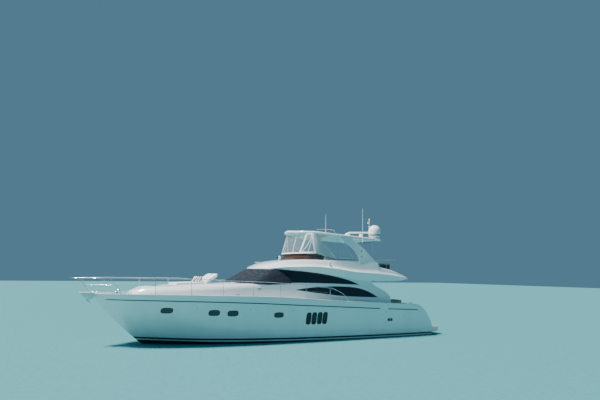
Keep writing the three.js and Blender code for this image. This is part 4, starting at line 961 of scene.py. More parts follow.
@dataclass
class Studio:
    """Camera, floor and soft light: a high key from ahead, and a blue-green bounce from port."""

    place: tuple = (13.4607, 28.4244, 3.764)
    right: tuple = (-0.88354946, 0.46811868, 0.01432699)
    up: tuple = (0.07743407, 0.11584587, 0.99024426)
    lens: float = 31.2
    floor_reach: float = 160.0

    def build(self) -> None:
        """Makes the camera first, then the floor and the lights."""
        self.camera()
        self.floor()
        self.sun("light_key", (4.8, -1.3, 8.4), 9.0, 10, (1.0, 0.985, 0.95))
        self.sun("light_port", (9.0, 14.0, 3.0), 0.1, 60, (0.25, 0.90, 1.0))
        world = bpy.data.worlds.new("studio")
        bpy.context.scene.world = world
        world.use_nodes = True
        background = world.node_tree.nodes["Background"]
        background.inputs["Color"].default_value = (0.25, 0.60, 0.86, 1)
        background.inputs["Strength"].default_value = 0.33

    def camera(self) -> None:
        """The photograph's viewpoint, from two of its axes; the third is their cross product."""
        right = Vector(self.right).normalized()
        up = Vector(self.up).normalized()
        back = right.cross(up)
        turn = Matrix((right, up, back)).transposed().to_4x4()
        data = bpy.data.cameras.new("camera")
        data.lens = self.lens
        data.sensor_width = 36.0
        data.clip_end = 600.0
        camera = linked("camera", data)
        camera.matrix_world = Matrix.Translation(self.place) @ turn
        bpy.context.scene.camera = camera

    def floor(self) -> None:
        """A plain floor at the waterline, as blue-green as the water."""
        reach = self.floor_reach
        grid = np.array([[[x, y, 0] for x in (-reach, reach)] for y in (-reach, reach)], float)
        piece = make("floor", sheet_shape(grid), solid=False)
        piece.data.materials.append(FLOOR.material())

    def sun(self, name: str, place: Sequence, strength: float, spread: float, colour: Sequence) -> None:
        """A soft sun from a direction; spread is its angle in degrees."""
        data = bpy.data.lights.new(name, "SUN")
        data.energy = strength
        data.color = colour
        data.angle = np.radians(spread)
        lamp = linked(name, data)
        lamp.location = place
        lamp.rotation_euler = Vector(place).to_track_quat("Z", "Y").to_euler()


# Surfaces that other pieces stand on

class HullForm:
    """The hull's lines. u runs over the stations from the transom to the stem, t up the topside."""

    last = len(HULL_STATIONS) - 1

    def side(self, u: Array, t: Array) -> Array:
        """A topside point: z and x go evenly from chine to sheer, y as t to the power of 0.9 to 1.3.

        The stem bulges by 0.13 forward^4 sin(pi t), and near u = 0 x moves to the transom's profile.
        """
        u, t = spread(u, t)
        line = rows_at(HULL_STATIONS, u)
        forward = u / self.last
        hollow = 0.9 + 0.4 * forward ** 2
        z = line[..., 5] + (line[..., 2] - line[..., 5]) * t
        x = line[..., 3] + (line[..., 0] - line[..., 3]) * t + 0.13 * forward ** 4 * np.sin(np.pi * t)
        y = np.maximum(line[..., 4] + (line[..., 1] - line[..., 4]) * t ** hollow, 0)
        return np.stack([self.to_transom(u, x, z), y, z], -1)

    def bottom(self, u: Array, s: Array) -> Array:
        """A bottom point from the keel (s = 0) to the chine (s = 1), sagging by 0.1 s (1 - s) aft."""
        u, s = spread(u, s)
        line = rows_at(HULL_STATIONS, u)
        z = line[..., 7] + (line[..., 5] - line[..., 7]) * s - 0.1 * s * (1 - s) * (1 - u / self.last)
        x = line[..., 6] + (line[..., 3] - line[..., 6]) * s
        return np.stack([self.to_transom(u, x, z), np.maximum(line[..., 4], 0) * s, z], -1)

    def to_transom(self, u: Array, x: Array, z: Array) -> Array:
        """x moved to the transom's profile by (1 - u)^2 over the first station."""
        return x + np.maximum(1 - u, 0) ** 2 * (hermite(TRANSOM_PROFILE[:, 0], TRANSOM_PROFILE[:, 1], z) - x)

    def breadth(self, x: Array, z: Array) -> Array:
        """Half-breadth of the topside at x and z, by halving the span of u."""
        x, z = spread(x, z)
        low = np.zeros(x.shape)
        high = np.full(x.shape, float(self.last))
        for _ in range(30):
            u = (low + high) / 2
            line = rows_at(HULL_STATIONS, u)
            t = np.clip((z - line[..., 5]) / (line[..., 2] - line[..., 5]), 0, 1)
            short = self.side(u, t)[..., 0] < x
            low = np.where(short, u, low)
            high = np.where(short, high, u)
        return self.side(u, t)[..., 1]

    def point(self, x: Array, z: Array, proud: float | Array = 0.0) -> Array:
        """A point that stands proud of the port topside."""
        x, z = spread(x, z)
        return np.stack([x, self.breadth(x, z), z], -1) + self.normal(x, z) * np.asarray(proud)[..., None]

    def normal(self, x: Array, z: Array) -> Array:
        """The topside's outward direction (-dy/dx, 1, -dy/dz)."""
        e = 0.02
        along = (self.breadth(x + e, z) - self.breadth(x - e, z)) / (2 * e)
        up = (self.breadth(x, z + e) - self.breadth(x, z - e)) / (2 * e)
        return unit(np.stack([-along, np.ones(np.shape(along)), -up], -1))

    def sheer(self, x: Array) -> Array:
        """Half-width and height of the gunwale at x, shape (..., 2)."""
        return hermite(HULL_STATIONS[:, 0], HULL_STATIONS[:, 1:3], x)

    def blank(self) -> Shape:
        """The whole hull as one closed body, its gunwale edge rounded."""
        u = np.concatenate([np.linspace(0, 1, 10)[:-1], np.linspace(1, 13, 100)])[:, None]
        bottom = self.bottom(u, np.linspace(0, 1, 7)[None, :-1])
        side = self.side(u, np.linspace(0, 1, 22)[None])
        centre = side[:, -1:] * [1, 0, 1]
        half = np.concatenate([bottom, side, centre], axis=1)
        radii = np.zeros(half.shape[1])
        radii[-2] = 0.04
        return half_loft(filleted(half, radii, 3))

    def recess(self) -> Shape:
        """The space above the side decks, inside the bulwarks."""
        x = np.linspace(-8.45, 9.45, 90)
        sheer = self.sheer(x)
        blend = np.clip((x - 7) / 2.45, 0, 1)
        inner = sheer[:, 0] - BULWARK[0] - 0.06 * blend * blend * (3 - 2 * blend)
        deck = sheer[:, 1] - BULWARK[1]
        zero = np.zeros_like(x)
        rows = ((x, zero, deck + 0.06), (x, inner - 0.04, deck), (x, inner, deck + 0.15),
                (x, inner, deck + 0.6), (x, zero, deck + 0.6))
        return half_loft(filleted(layered(rows), [0, 0.05, 0.0, 0, 0], 4))

    def inner(self, x: Array) -> Array:
        """Half-width of the deck inside the bulwark."""
        return self.sheer(x)[..., 0] - BULWARK[0] - 0.04

    def trim(self, x: Array, z: Array, profile: Array, proud: float = 0.0, **more: object) -> Shape:
        """A profile carried along a line on the port topside."""
        return sweep(self.point(x, z, proud), profile, self.normal(x, z), **more)

    def deck_height(self, x: Array, y: Array) -> Array:
        """Height of the side deck: it rises by 0.06 towards the centreline."""
        sheer = self.sheer(x)
        return sheer[..., 1] - BULWARK[1] + 0.06 * (1 - np.abs(y) / self.inner(x))


class HouseForm:
    """The deckhouse wall: s runs round its plan from the front centre aft.

    v runs up from foot (0) by sill (1) to head (2).
    """

    last = len(HOUSE_POINTS) - 1
    knuckle = 0.09

    def level(self, s: Array, v: Array, inset: float = 0.0) -> Array:
        """A wall point: straight from foot to sill to head, the knuckle at the sill rounded.

        Within knuckle of v = 1 the kink is ((v - 1)^2 + k^2) / (2k) times half the change of slope.
        """
        s, v = spread(s, v)
        row = rows_at(HOUSE_POINTS, s)
        foot = np.stack([row[..., 0], row[..., 1], np.full(s.shape, HOUSE_FOOT_Z)], -1)
        sill = row[..., 2:5]
        head = row[..., 5:8]
        d = (v - 1)[..., None]
        low = sill - foot
        high = head - sill
        k = self.knuckle
        round_off = sill + (low + high) / 2 * d + (high - low) / 2 * (d * d + k * k) / (2 * k)
        point = np.where(d < -k, sill + low * d, np.where(d > k, sill + high * d, round_off))
        if inset:
            e = 0.01
            ahead = self.level(np.clip(s + e, 0, self.last), v)
            behind = self.level(np.clip(s - e, 0, self.last), v)
            along = unit((ahead - behind)[..., :2])
            out = np.stack([along[..., 1], -along[..., 0]], -1)
            point = point.copy()
            point[..., :2] -= inset * out
            point[..., 1] = np.maximum(point[..., 1], 0)
        return point

    def block(self, inset: float = 0.0) -> Shape:
        """The deckhouse as a solid; an inner block reaches past the outer at foot, roof and aft end."""
        v = np.concatenate([[0, 0.3, 0.6, 0.85], np.linspace(0.91, 1.09, 7), np.linspace(1.15, 2, 10)])
        s = np.linspace(0, self.last, 120)
        rings = self.level(s[None], v[:, None], inset)
        rings[:, -1, 0] = -6.95 - np.sign(inset) * 0.2
        rings[:, 0, 1] = 0
        if inset > 0:
            rings[0, :, 2] -= 0.1
            rings = np.concatenate([rings, rings[-1:] + [0, 0, 0.4]])
        return half_loft(np.concatenate([rings, rings[:, -1:] * [1, 0, 1]], axis=1))

    def share(self, row: Array, z: Array) -> Array:
        """v of the wall at height z, from a row of its plan: below the sill or above it."""
        below = (z - HOUSE_FOOT_Z) / (row[..., 4] - HOUSE_FOOT_Z)
        above = 1 + (z - row[..., 4]) / (row[..., 7] - row[..., 4])
        return np.where(z < row[..., 4], below, above)

    def find(self, x: Array, z: Array, inset: float = 0.0) -> Array:
        """The wall point with that x and z on the port side, by halving the span of s."""
        x, z = spread(x, z)
        low = np.zeros(x.shape)
        high = np.full(x.shape, float(self.last))
        for _ in range(34):
            s = (low + high) / 2
            v = self.share(rows_at(HOUSE_POINTS, s), z)
            past = self.level(s, v)[..., 0] > x
            low = np.where(past, s, low)
            high = np.where(past, high, s)
        return self.level(s, v, inset)

    def normal(self, x: Array, z: Array) -> Array:
        """The wall's outward direction on the port side."""
        e = 0.02
        along = self.find(x + e, z) - self.find(x - e, z)
        up = self.find(x, z + e) - self.find(x, z - e)
        out = np.cross(along, up)
        return unit(out * np.sign(out[..., 1:2]))


HULL = HullForm()
HOUSE = HouseForm()


# Mouldings

def joint_solid() -> Shape:
    """Everything above the joint of hull and deck."""
    x = np.linspace(-11, 11, 60)
    z = joint_height(x)
    zero = np.zeros_like(x)
    return half_loft(layered([(x, zero, z), (x, zero + 4, z), (x, zero + 4, zero + 9), (x, zero, zero + 9)]))


def joint_height(x: Array) -> Array:
    """Height of the joint of hull and deck at x."""
    return hermite(JOINT_LINE[:, 0], JOINT_LINE[:, 1], x)


def above_joint() -> Shape:
    """Everything above the joint, less the middle of the transom."""
    return carved(joint_solid(), ([box_shape(-FAR, -8.55, -1.331, 1.331, -FAR, FAR)], Mode.CUT))


def wells() -> list[Shape]:
    """Saloon, cockpit and engine room, as boxes open to the sky."""
    return [
        box_shape(-5.59, 1.9, -2.03, 2.03, 1.46, FAR),
        box_shape(-8.55, -5.58, -2.08, 2.08, 1.34, FAR),
        box_shape(-6.1, -1.9, -1.7, 1.7, -0.38, FAR),
    ]


def stair_cuts() -> list[Shape]:
    """Stair notches on both sides of the transom, from the platform up to the cockpit."""
    treads = [(-10.19, -9.499, 0.51), (-9.5, -9.209, 0.8), (-9.21, -8.919, 1.09),
              (-8.92, -8.545, COCKPIT_SOLE_Z)]
    boxes = []
    for aft, front, level in treads:
        for y0, y1 in ((1.33, 2.08), (-2.08, -1.33)):
            boxes.append(box_shape(aft, front, y0, y1, level, 4.0))
    return boxes


def coachroof() -> Shape:
    """The raised foredeck: smoothed stations whose shoulder is one long rounding."""
    x, foot, top, height = resampled(COACHROOF_STATIONS, 70).T
    zero = np.zeros_like(x)
    base = zero + 2.305
    shoulder = np.maximum(height - 0.26, 2.315)
    rows = ((x, zero, base), (x, foot, base), (x, foot - 0.02, shoulder), (x, top, height - 0.05),
            (x, top * 0.55, height - 0.01), (x, zero, height))
    return half_loft(filleted(layered(rows), [0, 0, 0.12, 0.22, 0.3, 0], 6))


def fly_blank(drop: float = 0.0) -> Shape:
    """The flybridge moulding as a solid, its ledge lip, coaming and bottom edge rounded."""
    x, y_ledge, z_ledge, y_top, z_top, y_foot, z_foot, ceiling, crown = resampled(FLY_STATIONS, 150).T
    zero = np.zeros_like(x)
    rise = z_top - z_ledge
    rows = (
        (x, zero, ceiling + y_foot / 100), (x, y_foot - 0.38, ceiling), (x, y_foot - 0.30, z_foot),
        (x, y_foot, z_foot), (x, y_ledge, z_ledge - 0.035), (x, y_ledge, z_ledge),
        (x, y_ledge * 0.45 + y_top * 0.55, z_ledge + 0.22 * rise), (x, y_top, z_top),
        (x, y_top * 0.5, z_top + 0.8 * (crown - z_top)), (x, zero, crown))
    half = layered(rows, [0, 2, 4, 6, 8, 8, 6, 4, 2, 0]) - [0, 0, drop]
    return half_loft(filleted(half, [0, 0, 0, 0.05, 0.02, 0.02, 0.2, 0.11, 0, 0], 5))


def fly_section(x: Array) -> Array:
    """The row of FLY_STATIONS at x, shape (..., 9)."""
    return hermite(-FLY_STATIONS[:, 0], FLY_STATIONS, -np.asarray(x))


def crown_at(x: float) -> float:
    """Height of the flybridge moulding's crown at x, before its well is cut."""
    return float(fly_section(x)[8])


@dataclass
class HullMoulding:
    """The hull with its strake, ports, vents, through-hull fittings and platforms.

    Ports are given by x, z, width and height, vents by x, and fittings by x and z.
    """

    strake: float = 0.017
    port_holes: tuple = ((6.88, 1.785, 0.58, 0.285), (4.56, 1.655, 0.58, 0.3), (3.58, 1.615, 0.58, 0.3),
                         (1.0, 1.485, 0.55, 0.28), (-6.5, 1.03, 0.42, 0.21))
    vents: tuple = (-0.83, -1.177, -1.531, -1.87)
    vent_z: float = 1.255
    vent_half: tuple = (0.155, 0.33)
    vent_rake: float = -0.055
    fittings: tuple = ((8.6, 1.18), (5.46, 1.9), (2.65, 1.785), (0.17, 1.73), (-5.72, 1.44), (-5.98, 1.33),
                       (-6.2, 1.5), (-6.35, 1.87), (-7.6, 1.23))

    def build(self) -> None:
        """Makes every piece of the hull."""
        self.shell()
        self.strakes()
        for side, name in SIDES:
            self.ports(side, name)
            self.vent_set(side, name)
            self.small_fittings(side, name)
        self.swim_platform()
        self.bow_platform()

    def shell(self) -> None:
        """The hull below the joint, and the middle of the transom, with its wells cut out."""
        piece = make("hull_moulding", HULL.blank())
        combined(piece, [above_joint()], Mode.CUT)
        slope = np.array([np.cos(np.radians(9)), 0, np.sin(np.radians(9))])
        shafts = [np.array([-8.3, side * 0.95, -1.13]) for side in (PORT, STARBOARD)]
        for shaft in shafts:
            combined(piece, [tube([shaft + slope * 2.25, shaft + slope * 4.0], 0.062, 24)], Mode.JOIN)
        combined(piece, wells() + stair_cuts(), Mode.CUT)
        for shaft in shafts:
            bore = tube([shaft + slope * 2.0, shaft + slope * 3.31], 0.026, 24)
            stock = tube([[-9.23, shaft[1], -0.9], [-9.23, shaft[1], -0.42]], 0.036, 24)
            combined(piece, [bore, stock], Mode.CUT)
        bevelled(piece, 0.008, 2, 50)
        dress(piece, HULL_PAINT, replaces=["hull"], angle=30)

    def strakes(self) -> None:
        """The rubbing strake along the joint, its dark blue-grey colour painted shade of the groove there,
        and a faint spray rail low on the topsides.
        """
        runs = (((-5.74, 9.72), 160), ((-8.77, -6.28), 40))
        shapes = []
        profile = rounded_rectangle(-0.01, self.strake, -0.024, 0.024, 0.01, 3)
        for (start, end), count in runs:
            x = np.linspace(start, end, count)
            z = joint_height(x)
            taper = np.clip(np.minimum(x - start, end - x) / 0.12, 0.25, 1)
            shapes.append(both(HULL.trim(x, z, profile, scale=taper)))
        fit("rubbing_strake", shapes, STRAKE_PAINTED_SHADE)
        x = np.linspace(-9.6, 6.2, 150)
        z = 0.40 + 0.012 * (x + 9.6) + 0.0011 * (x + 9.6) ** 2
        taper = np.clip(np.minimum(x + 9.6, 6.2 - x) / 1.2, 0.02, 1)
        wedge = np.array([[0, -0.05], [0.02, -0.008], [0.02, 0.004], [0, 0.012]])
        fit("spray_rails", both(HULL.trim(x, z, wedge, -0.012, scale=taper)), HULL_PAINT, angle=25)

    def outline_on(self, centre: Sequence, half: Sequence, power: float, count: int,
                   rake: float = 0.0) -> tuple:
        """A superellipse |a|^p + |b|^p = 1 round a place on the topside: x and z of its points."""
        angle = np.linspace(0, 2 * np.pi, count, endpoint=False)
        c, s = np.cos(angle), np.sin(angle)
        b = np.sign(s) * np.abs(s) ** (2 / power) * half[1]
        a = np.sign(c) * np.abs(c) ** (2 / power) * half[0] + rake * b
        return centre[0] + a, centre[1] + b

    def frame_round(self, centre: Sequence, half: Sequence, power: float, profile: Array,
                    rake: float = 0.0) -> Shape:
        """A frame whose profile follows an outline on the topside."""
        return HULL.trim(*self.outline_on(centre, half, power, 48, rake), profile, closed=True)

    def pane(self, centre: Sequence, half: Sequence, power: float, proud: float, rake: float = 0.0) -> Shape:
        """A filled outline: rings shrink to the middle, all on the topside."""
        x, z = self.outline_on(centre, half, power, 48, rake)
        r = np.array([1.0, 0.8, 0.5, 0.2, 0.0])[:, None]
        grid_x = centre[0] + (x - centre[0]) * r
        grid_z = centre[1] + (z - centre[1]) * r
        points = HULL.point(grid_x, grid_z, np.full(grid_x.shape, proud))
        return Shape(points.reshape(-1, 3), grid_faces(5, 48, wrap=True))

    def ports(self, side: float, name: str) -> None:
        """Five dark oval ports with rims; the aft one has a metal frame with a bar."""
        rims, panes = [], []
        white = np.array([[-0.012, -0.004], [0.004, -0.004], [0.010, 0.004], [0.010, 0.016], [0.003, 0.026],
                          [-0.012, 0.026]])
        for x, z, width, height in self.port_holes:
            half = (width / 2, height / 2)
            rims.append(self.frame_round((x, z), half, 3.2, white))
            panes.append(self.pane((x, z), half, 3.2, 0.003))
        x, z, width, height = self.port_holes[-1]
        bar_z = np.linspace(z - height / 2, z + height / 2, 8)
        bar = HULL.trim(x, bar_z, circle(0.012, 8), 0.004)
        aft = sided([rims.pop(), bar], side)
        fit(f"port_rims_{name}", sided(rims, side), RUBBER)
        fit(f"aft_port_frame_{name}", aft, STEEL)
        glass = make(f"port_glass_{name}", sided(panes, side), solid=False)
        dress(thickened(glass, 0.006, -1), DARK_GLASS)

    def vent_set(self, side: float, name: str) -> None:
        """Four raked air intakes: a dark back, slats and a slim rim each."""
        backs, slats, rims = [], [], []
        lip = np.array([[-0.01, -0.002], [0.006, -0.002], [0.012, 0.006], [0.006, 0.018], [-0.01, 0.018]])
        slat = np.array([[0.0, -0.012], [0.002, -0.014], [0.009, 0.006], [0.007, 0.008]])
        for x in self.vents:
            centre = (x, self.vent_z)
            rims.append(self.frame_round(centre, self.vent_half, 4.0, lip, self.vent_rake))
            backs.append(self.pane(centre, self.vent_half, 4.0, 0.001, self.vent_rake))
            for lift in np.linspace(-0.28, 0.28, 12):
                reach = 0.145 * (1 - abs(lift / 0.36) ** 6)
                across = x + self.vent_rake * lift + np.linspace(-reach, reach, 5)
                slats.append(HULL.trim(across, self.vent_z + lift, slat, 0.002))
        backs_piece = make(f"vent_backs_{name}", sided(backs, side), solid=False)
        dress(thickened(backs_piece, 0.004, -1), RUBBER, "tinted_glass")
        fit(f"vent_slats_{name}", sided(slats, side), DARK_GLASS)
        fit(f"vent_rims_{name}", sided(rims, side), RUBBER)

    def small_fittings(self, side: float, name: str) -> None:
        """Small round outlets with flanges."""
        shapes = []
        for x, z in self.fittings:
            ring = [[0.0, -0.01], [0.034, -0.01], [0.034, 0.006], [0.026, 0.014], [0.018, 0.014],
                    [0.014, -0.004], [0, -0.004]]
            shapes.append(lathe(ring, HULL.point(x, z), 20, HULL.normal(x, z)))
        fit(f"hull_outlets_{name}", sided(shapes, side), STEEL)

    def swim_platform(self) -> None:
        """The platform with rounded corners, a groove line and a teak top."""
        plan = np.array([[-9.9, 0], [-9.9, 2.29], [-10.45, 2.29], [-10.62, 2.2], [-10.7, 1.95], [-10.7, 0]])
        plan = filleted(plan[None], [0, 0, 0.2, 0.15, 0.3, 0], 6)[0]
        outline = with_mirror(plan)
        heights = [0.18, 0.19, 0.215, 0.335, 0.342, 0.352, 0.359, 0.485, 0.502, 0.508]
        insets = [0.03, 0.012, 0.0, 0.0, 0.012, 0.012, 0.0, 0.0, 0.008, 0.02]
        centre = np.array([-10.3, 0])
        rings = []
        for height, inset in zip(heights, insets):
            shrink = 1 - inset / np.array([0.4, 2.2])
            ring = centre + (outline - centre) * shrink
            rings.append(at_height(ring, height))
        piece = make("platform_moulding", ring_loft(np.array(rings)))
        combined(piece, [HULL.blank()], Mode.CUT)
        dress(piece, GELCOAT, replaces=["swim_platform"])
        inner = rounded_rectangle(-10.64, -10.02, -2.15, 2.15, 0.1, 6)
        fit("platform_teak", prism(inner, 2, 0.504, 0.5105), TEAK, edge=(0.002,))

    def bow_platform(self) -> None:
        """The pulpit moulding under the anchor, from the CAD sections with every edge rounded."""
        rows = np.array([
            [9.50, 0.42, 2.600, 0.42, 2.632], [10.00, 0.40, 2.600, 0.40, 2.642],
            [10.20, 0.385, 2.40, 0.385, 2.646], [10.30, 0.38, 2.30, 0.38, 2.650],
            [10.45, 0.33, 2.345, 0.36, 2.655], [10.62, 0.28, 2.45, 0.31, 2.660],
            [10.78, 0.23, 2.56, 0.26, 2.662], [10.85, 0.15, 2.615, 0.17, 2.662]])
        x, y_low, z_low, y_top, z_top = resampled(rows, 40).T
        zero = np.zeros_like(x)
        half = layered([(x, zero, z_low), (x, y_low, z_low), (x, y_top, z_top), (x, zero, z_top)])
        piece = make("bow_platform_moulding", half_loft(filleted(half, [0, 0.05, 0.03, 0], 5)))
        combined(piece, [HULL.blank()], Mode.CUT)
        dress(piece, GELCOAT, replaces=["bow_platform"])


@dataclass
class DeckMoulding:
    """The deck with bulwarks and coachroof, its anti-slip panels and its fittings.

    The hatch is given by the limits of its opening in x and in y.
    """

    hatch: tuple = (6.694, 7.306, -0.306, 0.306)

    def build(self) -> Shape:
        """Makes the deck; returns the solid that the deckhouse is cut by."""
        under = carved(HULL.blank(), ([HULL.recess()], Mode.CUT), ([coachroof()], Mode.JOIN))
        self.moulding(under)
        self.anti_slip()
        self.cleats()
        slot = prism(rounded_rectangle(1.87, 2.10, 2.842, 2.878, 0.015, 4), 1, 2.07, 2.0935)
        fit("coachroof_vents", both(slot), RUBBER, "tinted_glass", angle=40)
        return under

    def moulding(self, under: Shape) -> None:
        """Everything above the joint, less the wells and the stairs."""
        piece = make("deck_moulding", under)
        combined(piece, [above_joint()], Mode.KEEP)
        x0, x1, y0, y1 = self.hatch
        combined(piece, wells() + stair_cuts() + [box_shape(x0, x1, y0, y1, 2.975, FAR)], Mode.CUT)
        bevelled(piece, 0.01, 2, 50)
        dress(piece, GELCOAT, replaces=["deck"], angle=30)

    def anti_slip(self) -> None:
        """Raised anti-slip panels on the side decks, foredeck and coachroof."""
        shapes = []
        spans = [(-6.6, -4.7), (-4.6, -2.6), (-2.5, -0.5), (-0.4, 1.6), (1.7, 3.6), (3.7, 5.4)]
        for start, end in spans:
            x = np.linspace(start, end, 24)[:, None]
            edge = HULL.inner(x)
            outer = edge - 0.03
            inner = np.maximum(2.235, edge - 0.42) + np.clip((x - 2.4) * -0.2, -0.9, 0)
            inner = np.minimum(inner, outer - 0.14)
            y = inner + (outer - inner) * np.linspace(0, 1, 6)[None]
            shapes.append(self.panel(x, y, HULL.deck_height(x, y)))
        fit("side_deck_panels", both(shapes), ANTI_SLIP)
        self.roof_panels()

    def roof_panels(self) -> None:
        """Anti-slip panels beside the hatch and along the middle of the coachroof."""
        station = resampled(COACHROOF_STATIONS, 200)[::-1]
        shapes = []
        for start, end, low, high in ((6.5, 7.9, 0.42, 0.72), (3.2, 5.6, 1.12, 1.42),
                                      (7.42, 8.1, 0.03, 0.33)):
            x = np.linspace(start, end, 20)[:, None]
            y = np.linspace(low, high, 7)[None] * (1 - 0.07 * (x - start))
            half, top = (np.interp(x, station[:, 0], station[:, c]) for c in (2, 3))
            share = np.abs(y) / half
            z = top - 0.01 * np.clip(share / 0.55, 0, 1) - 0.04 * np.clip((share - 0.55) / 0.45, 0, 1)
            shapes.append(self.panel(x, y, z + 0.001))
        fit("coachroof_panels", both(shapes), ANTI_SLIP)

    def panel(self, x: Array, y: Array, z: Array) -> Shape:
        """A thin raised panel over a grid: its top 4 mm above it, its underside 10 mm below."""
        x, y, z = spread(x, y, z)
        top = np.stack([x, y, z + 0.004], -1)
        foot = np.stack([x, y, z - 0.01], -1)
        rows, columns = x.shape
        faces = grid_faces(rows, columns)
        count = rows * columns
        border = border_of(rows, columns)
        nxt = np.roll(border, -1)
        walls = np.stack([border, border + count, nxt + count, nxt], -1).tolist()
        under = [[i + count for i in face[::-1]] for face in faces]
        return Shape(np.concatenate([top.reshape(-1, 3), foot.reshape(-1, 3)]), faces + walls + under)

    def cleats(self) -> None:
        """Horn cleats on the gunwale."""
        shapes = []
        for x in (8.7, 3.41, -2.92, -8.2):
            y, z = HULL.sheer(np.array(x))
            y = y - 0.06
            along = np.linspace(-0.17, 0.17, 15)
            lift = 0.065 + 0.012 * (along / 0.17) ** 2
            size = 1 - 0.55 * (np.abs(along) / 0.17) ** 2
            horn = np.stack([x + along, np.full(15, y), z + lift], -1)
            shapes.append(sweep(horn, circle(0.017, 12), UP, scale=size))
            for foot in (-0.055, 0.055):
                leg = [[0.03, 0.0], [0.026, 0.008], [0.014, 0.02], [0.013, 0.066]]
                shapes.append(lathe([[0, 0]] + leg + [[0, 0.066]], (x + foot, y, z - 0.002), 14))
        fit("deck_cleats", both(shapes), STEEL)


@dataclass
class Deckhouse:
    """The deckhouse wall, its glass and the soft cover over the windscreen."""

    glass_inset: float = 0.002
    glass_thickness: float = 0.016

    def build(self, under: Shape) -> None:
        """Makes the wall, the panes, their gaskets and the cover."""
        self.wall(under)
        self.glass()
        self.gaskets()
        self.cover()

    def wall(self, under: Shape) -> None:
        """Outer block less inner block, windows, aft rake, the boat below and the flybridge above."""
        piece = make("deckhouse_moulding", HOUSE.block())
        cuts = [HOUSE.block(WALL_THICKNESS)]
        for runs in (UPPER_WINDOW, LOWER_WINDOW):
            outline = outline_of(runs)
            cuts += [prism(outline, 1, 1.3, 3.0), prism(outline, 1, -3.0, -1.3)]
        cuts += [prism(np.array(pane) * MM, 0, 1.15, 3.6) for pane in WINDSCREEN_PANES]
        cuts += [prism(outline_of(BEHIND_HOUSE), 1, -3.0, 3.0), under, fly_blank(GAP)]
        combined(piece, cuts, Mode.CUT)
        front = prism(np.array(WINDSCREEN_OUTLINE) * MM, 0, 1.15, 3.6)
        rebate = carved(HOUSE.block(-0.05), ([HOUSE.block(0.0183)], Mode.CUT), ([front], Mode.KEEP))
        combined(piece, [rebate], Mode.CUT)
        bevelled(piece, 0.006, 2, 50)
        dress(piece, GELCOAT, replaces=["deckhouse"], angle=30)

    def glass(self) -> None:
        """Side panes, cut from one skin just inside the wall's surface."""
        inner = HOUSE.block(self.glass_inset + self.glass_thickness)
        skin = carved(HOUSE.block(self.glass_inset), ([inner, fly_blank(GAP)], Mode.CUT))
        for runs, window in ((UPPER_WINDOW, "upper_window"), (LOWER_WINDOW, "lower_window")):
            outline = outline_of(runs)
            for side, name in SIDES:
                piece = make(f"{window}_pane_{name}", skin)
                combined(piece, [prism(outline, 1, *sorted((side * 1.3, side * 3.0)))], Mode.KEEP)
                dress(piece, TINTED, replaces=[f"{window}_{name}"], angle=30)

    def gaskets(self) -> None:
        """A thin black bead round each window, and the bars between the lower panes."""
        shapes = []
        for runs in (UPPER_WINDOW, LOWER_WINDOW):
            for run in runs:
                run = np.array(run, float) * MM
                path = smooth_path(run, max(int(np.linalg.norm(run[-1] - run[0]) / 0.08), 4))
                path = path[path[:, 1] < 3.93]
                wall = HOUSE.find(path[:, 0], path[:, 1])
                shapes.append(sweep(wall, circle(0.008, 8), HOUSE.normal(path[:, 0], path[:, 1])))
        for x in (-1.62, -2.72):
            top = np.interp(x, [-3.15, -2.16, -1.25, -0.23], [2.995, 2.98, 2.93, 2.81])
            foot = np.interp(x, [-3.12, -2.14, -1.19, -0.23], [2.47, 2.58, 2.68, 2.81])
            z = np.linspace(foot, top, 12)
            across = np.full(12, x)
            bar = rounded_rectangle(-0.02, 0.004, -0.014, 0.014, 0.004, 2)
            shapes.append(sweep(HOUSE.find(across, z), bar, HOUSE.normal(across, z)))
        fit("window_gaskets", both(shapes), RUBBER, "tinted_glass")

    def cover_grid(self, proud: float, rows: int, columns: int) -> Array:
        """Points of the cover: s round the house from port to starboard, with hem and head at each s."""
        half = np.linspace(0, 4.62, columns // 2 + 1)
        at_sill = HOUSE.level(half, np.full(half.shape, 1.0))
        hem = np.interp(at_sill[:, 0], [0.14, 1.5, 2.3, 3.0, 3.2], [3.155, 3.105, 3.14, 3.222, 3.228])
        head = np.interp(at_sill[:, 0], [0.09, 0.75, 1.39, 1.95, 2.34], [3.872, 3.893, 3.923, 3.95, 3.955])
        share = np.linspace(0, 1, rows)[:, None]
        z = hem + (head - hem) * share
        v = HOUSE.share(rows_at(HOUSE_POINTS, half), z)
        wave = 0.003 * np.sin(half * 9 + share * 7) + 0.004 * np.sin(half * 4.1 - share * 11)
        fold = 0.007 * np.exp(-(share / 0.06) ** 2) + 0.026 * np.exp(-(half / 0.6) ** 2)
        port = HOUSE.level(half[None] + 0 * v, v, -proud)
        out = unit(port - HOUSE.level(half[None] + 0 * v, v, 0.02))
        port = port + out * (wave * np.sin(np.pi * share) + fold)[..., None]
        return mirrored(port)

    def cover(self) -> None:
        """One sheet of canvas over windscreen and front side windows, with seams and a rolled hem."""
        grid = self.cover_grid(0.010, 28, 160)
        piece = cloth("screen_cover_cloth", grid, 0.003)
        dress(piece, NAVY, replaces=["windscreen_cover"], angle=60)
        shapes = [tube(grid[0], 0.011, 10)]
        columns = grid.shape[1]
        for share in (0.0, 0.165, 0.36, 0.64, 0.835, 1.0):
            seam = grid[:, int(round(share * (columns - 1)))]
            shapes.append(tube(seam, 0.006, 8))
        fit("screen_cover_seams", shapes, NAVY)


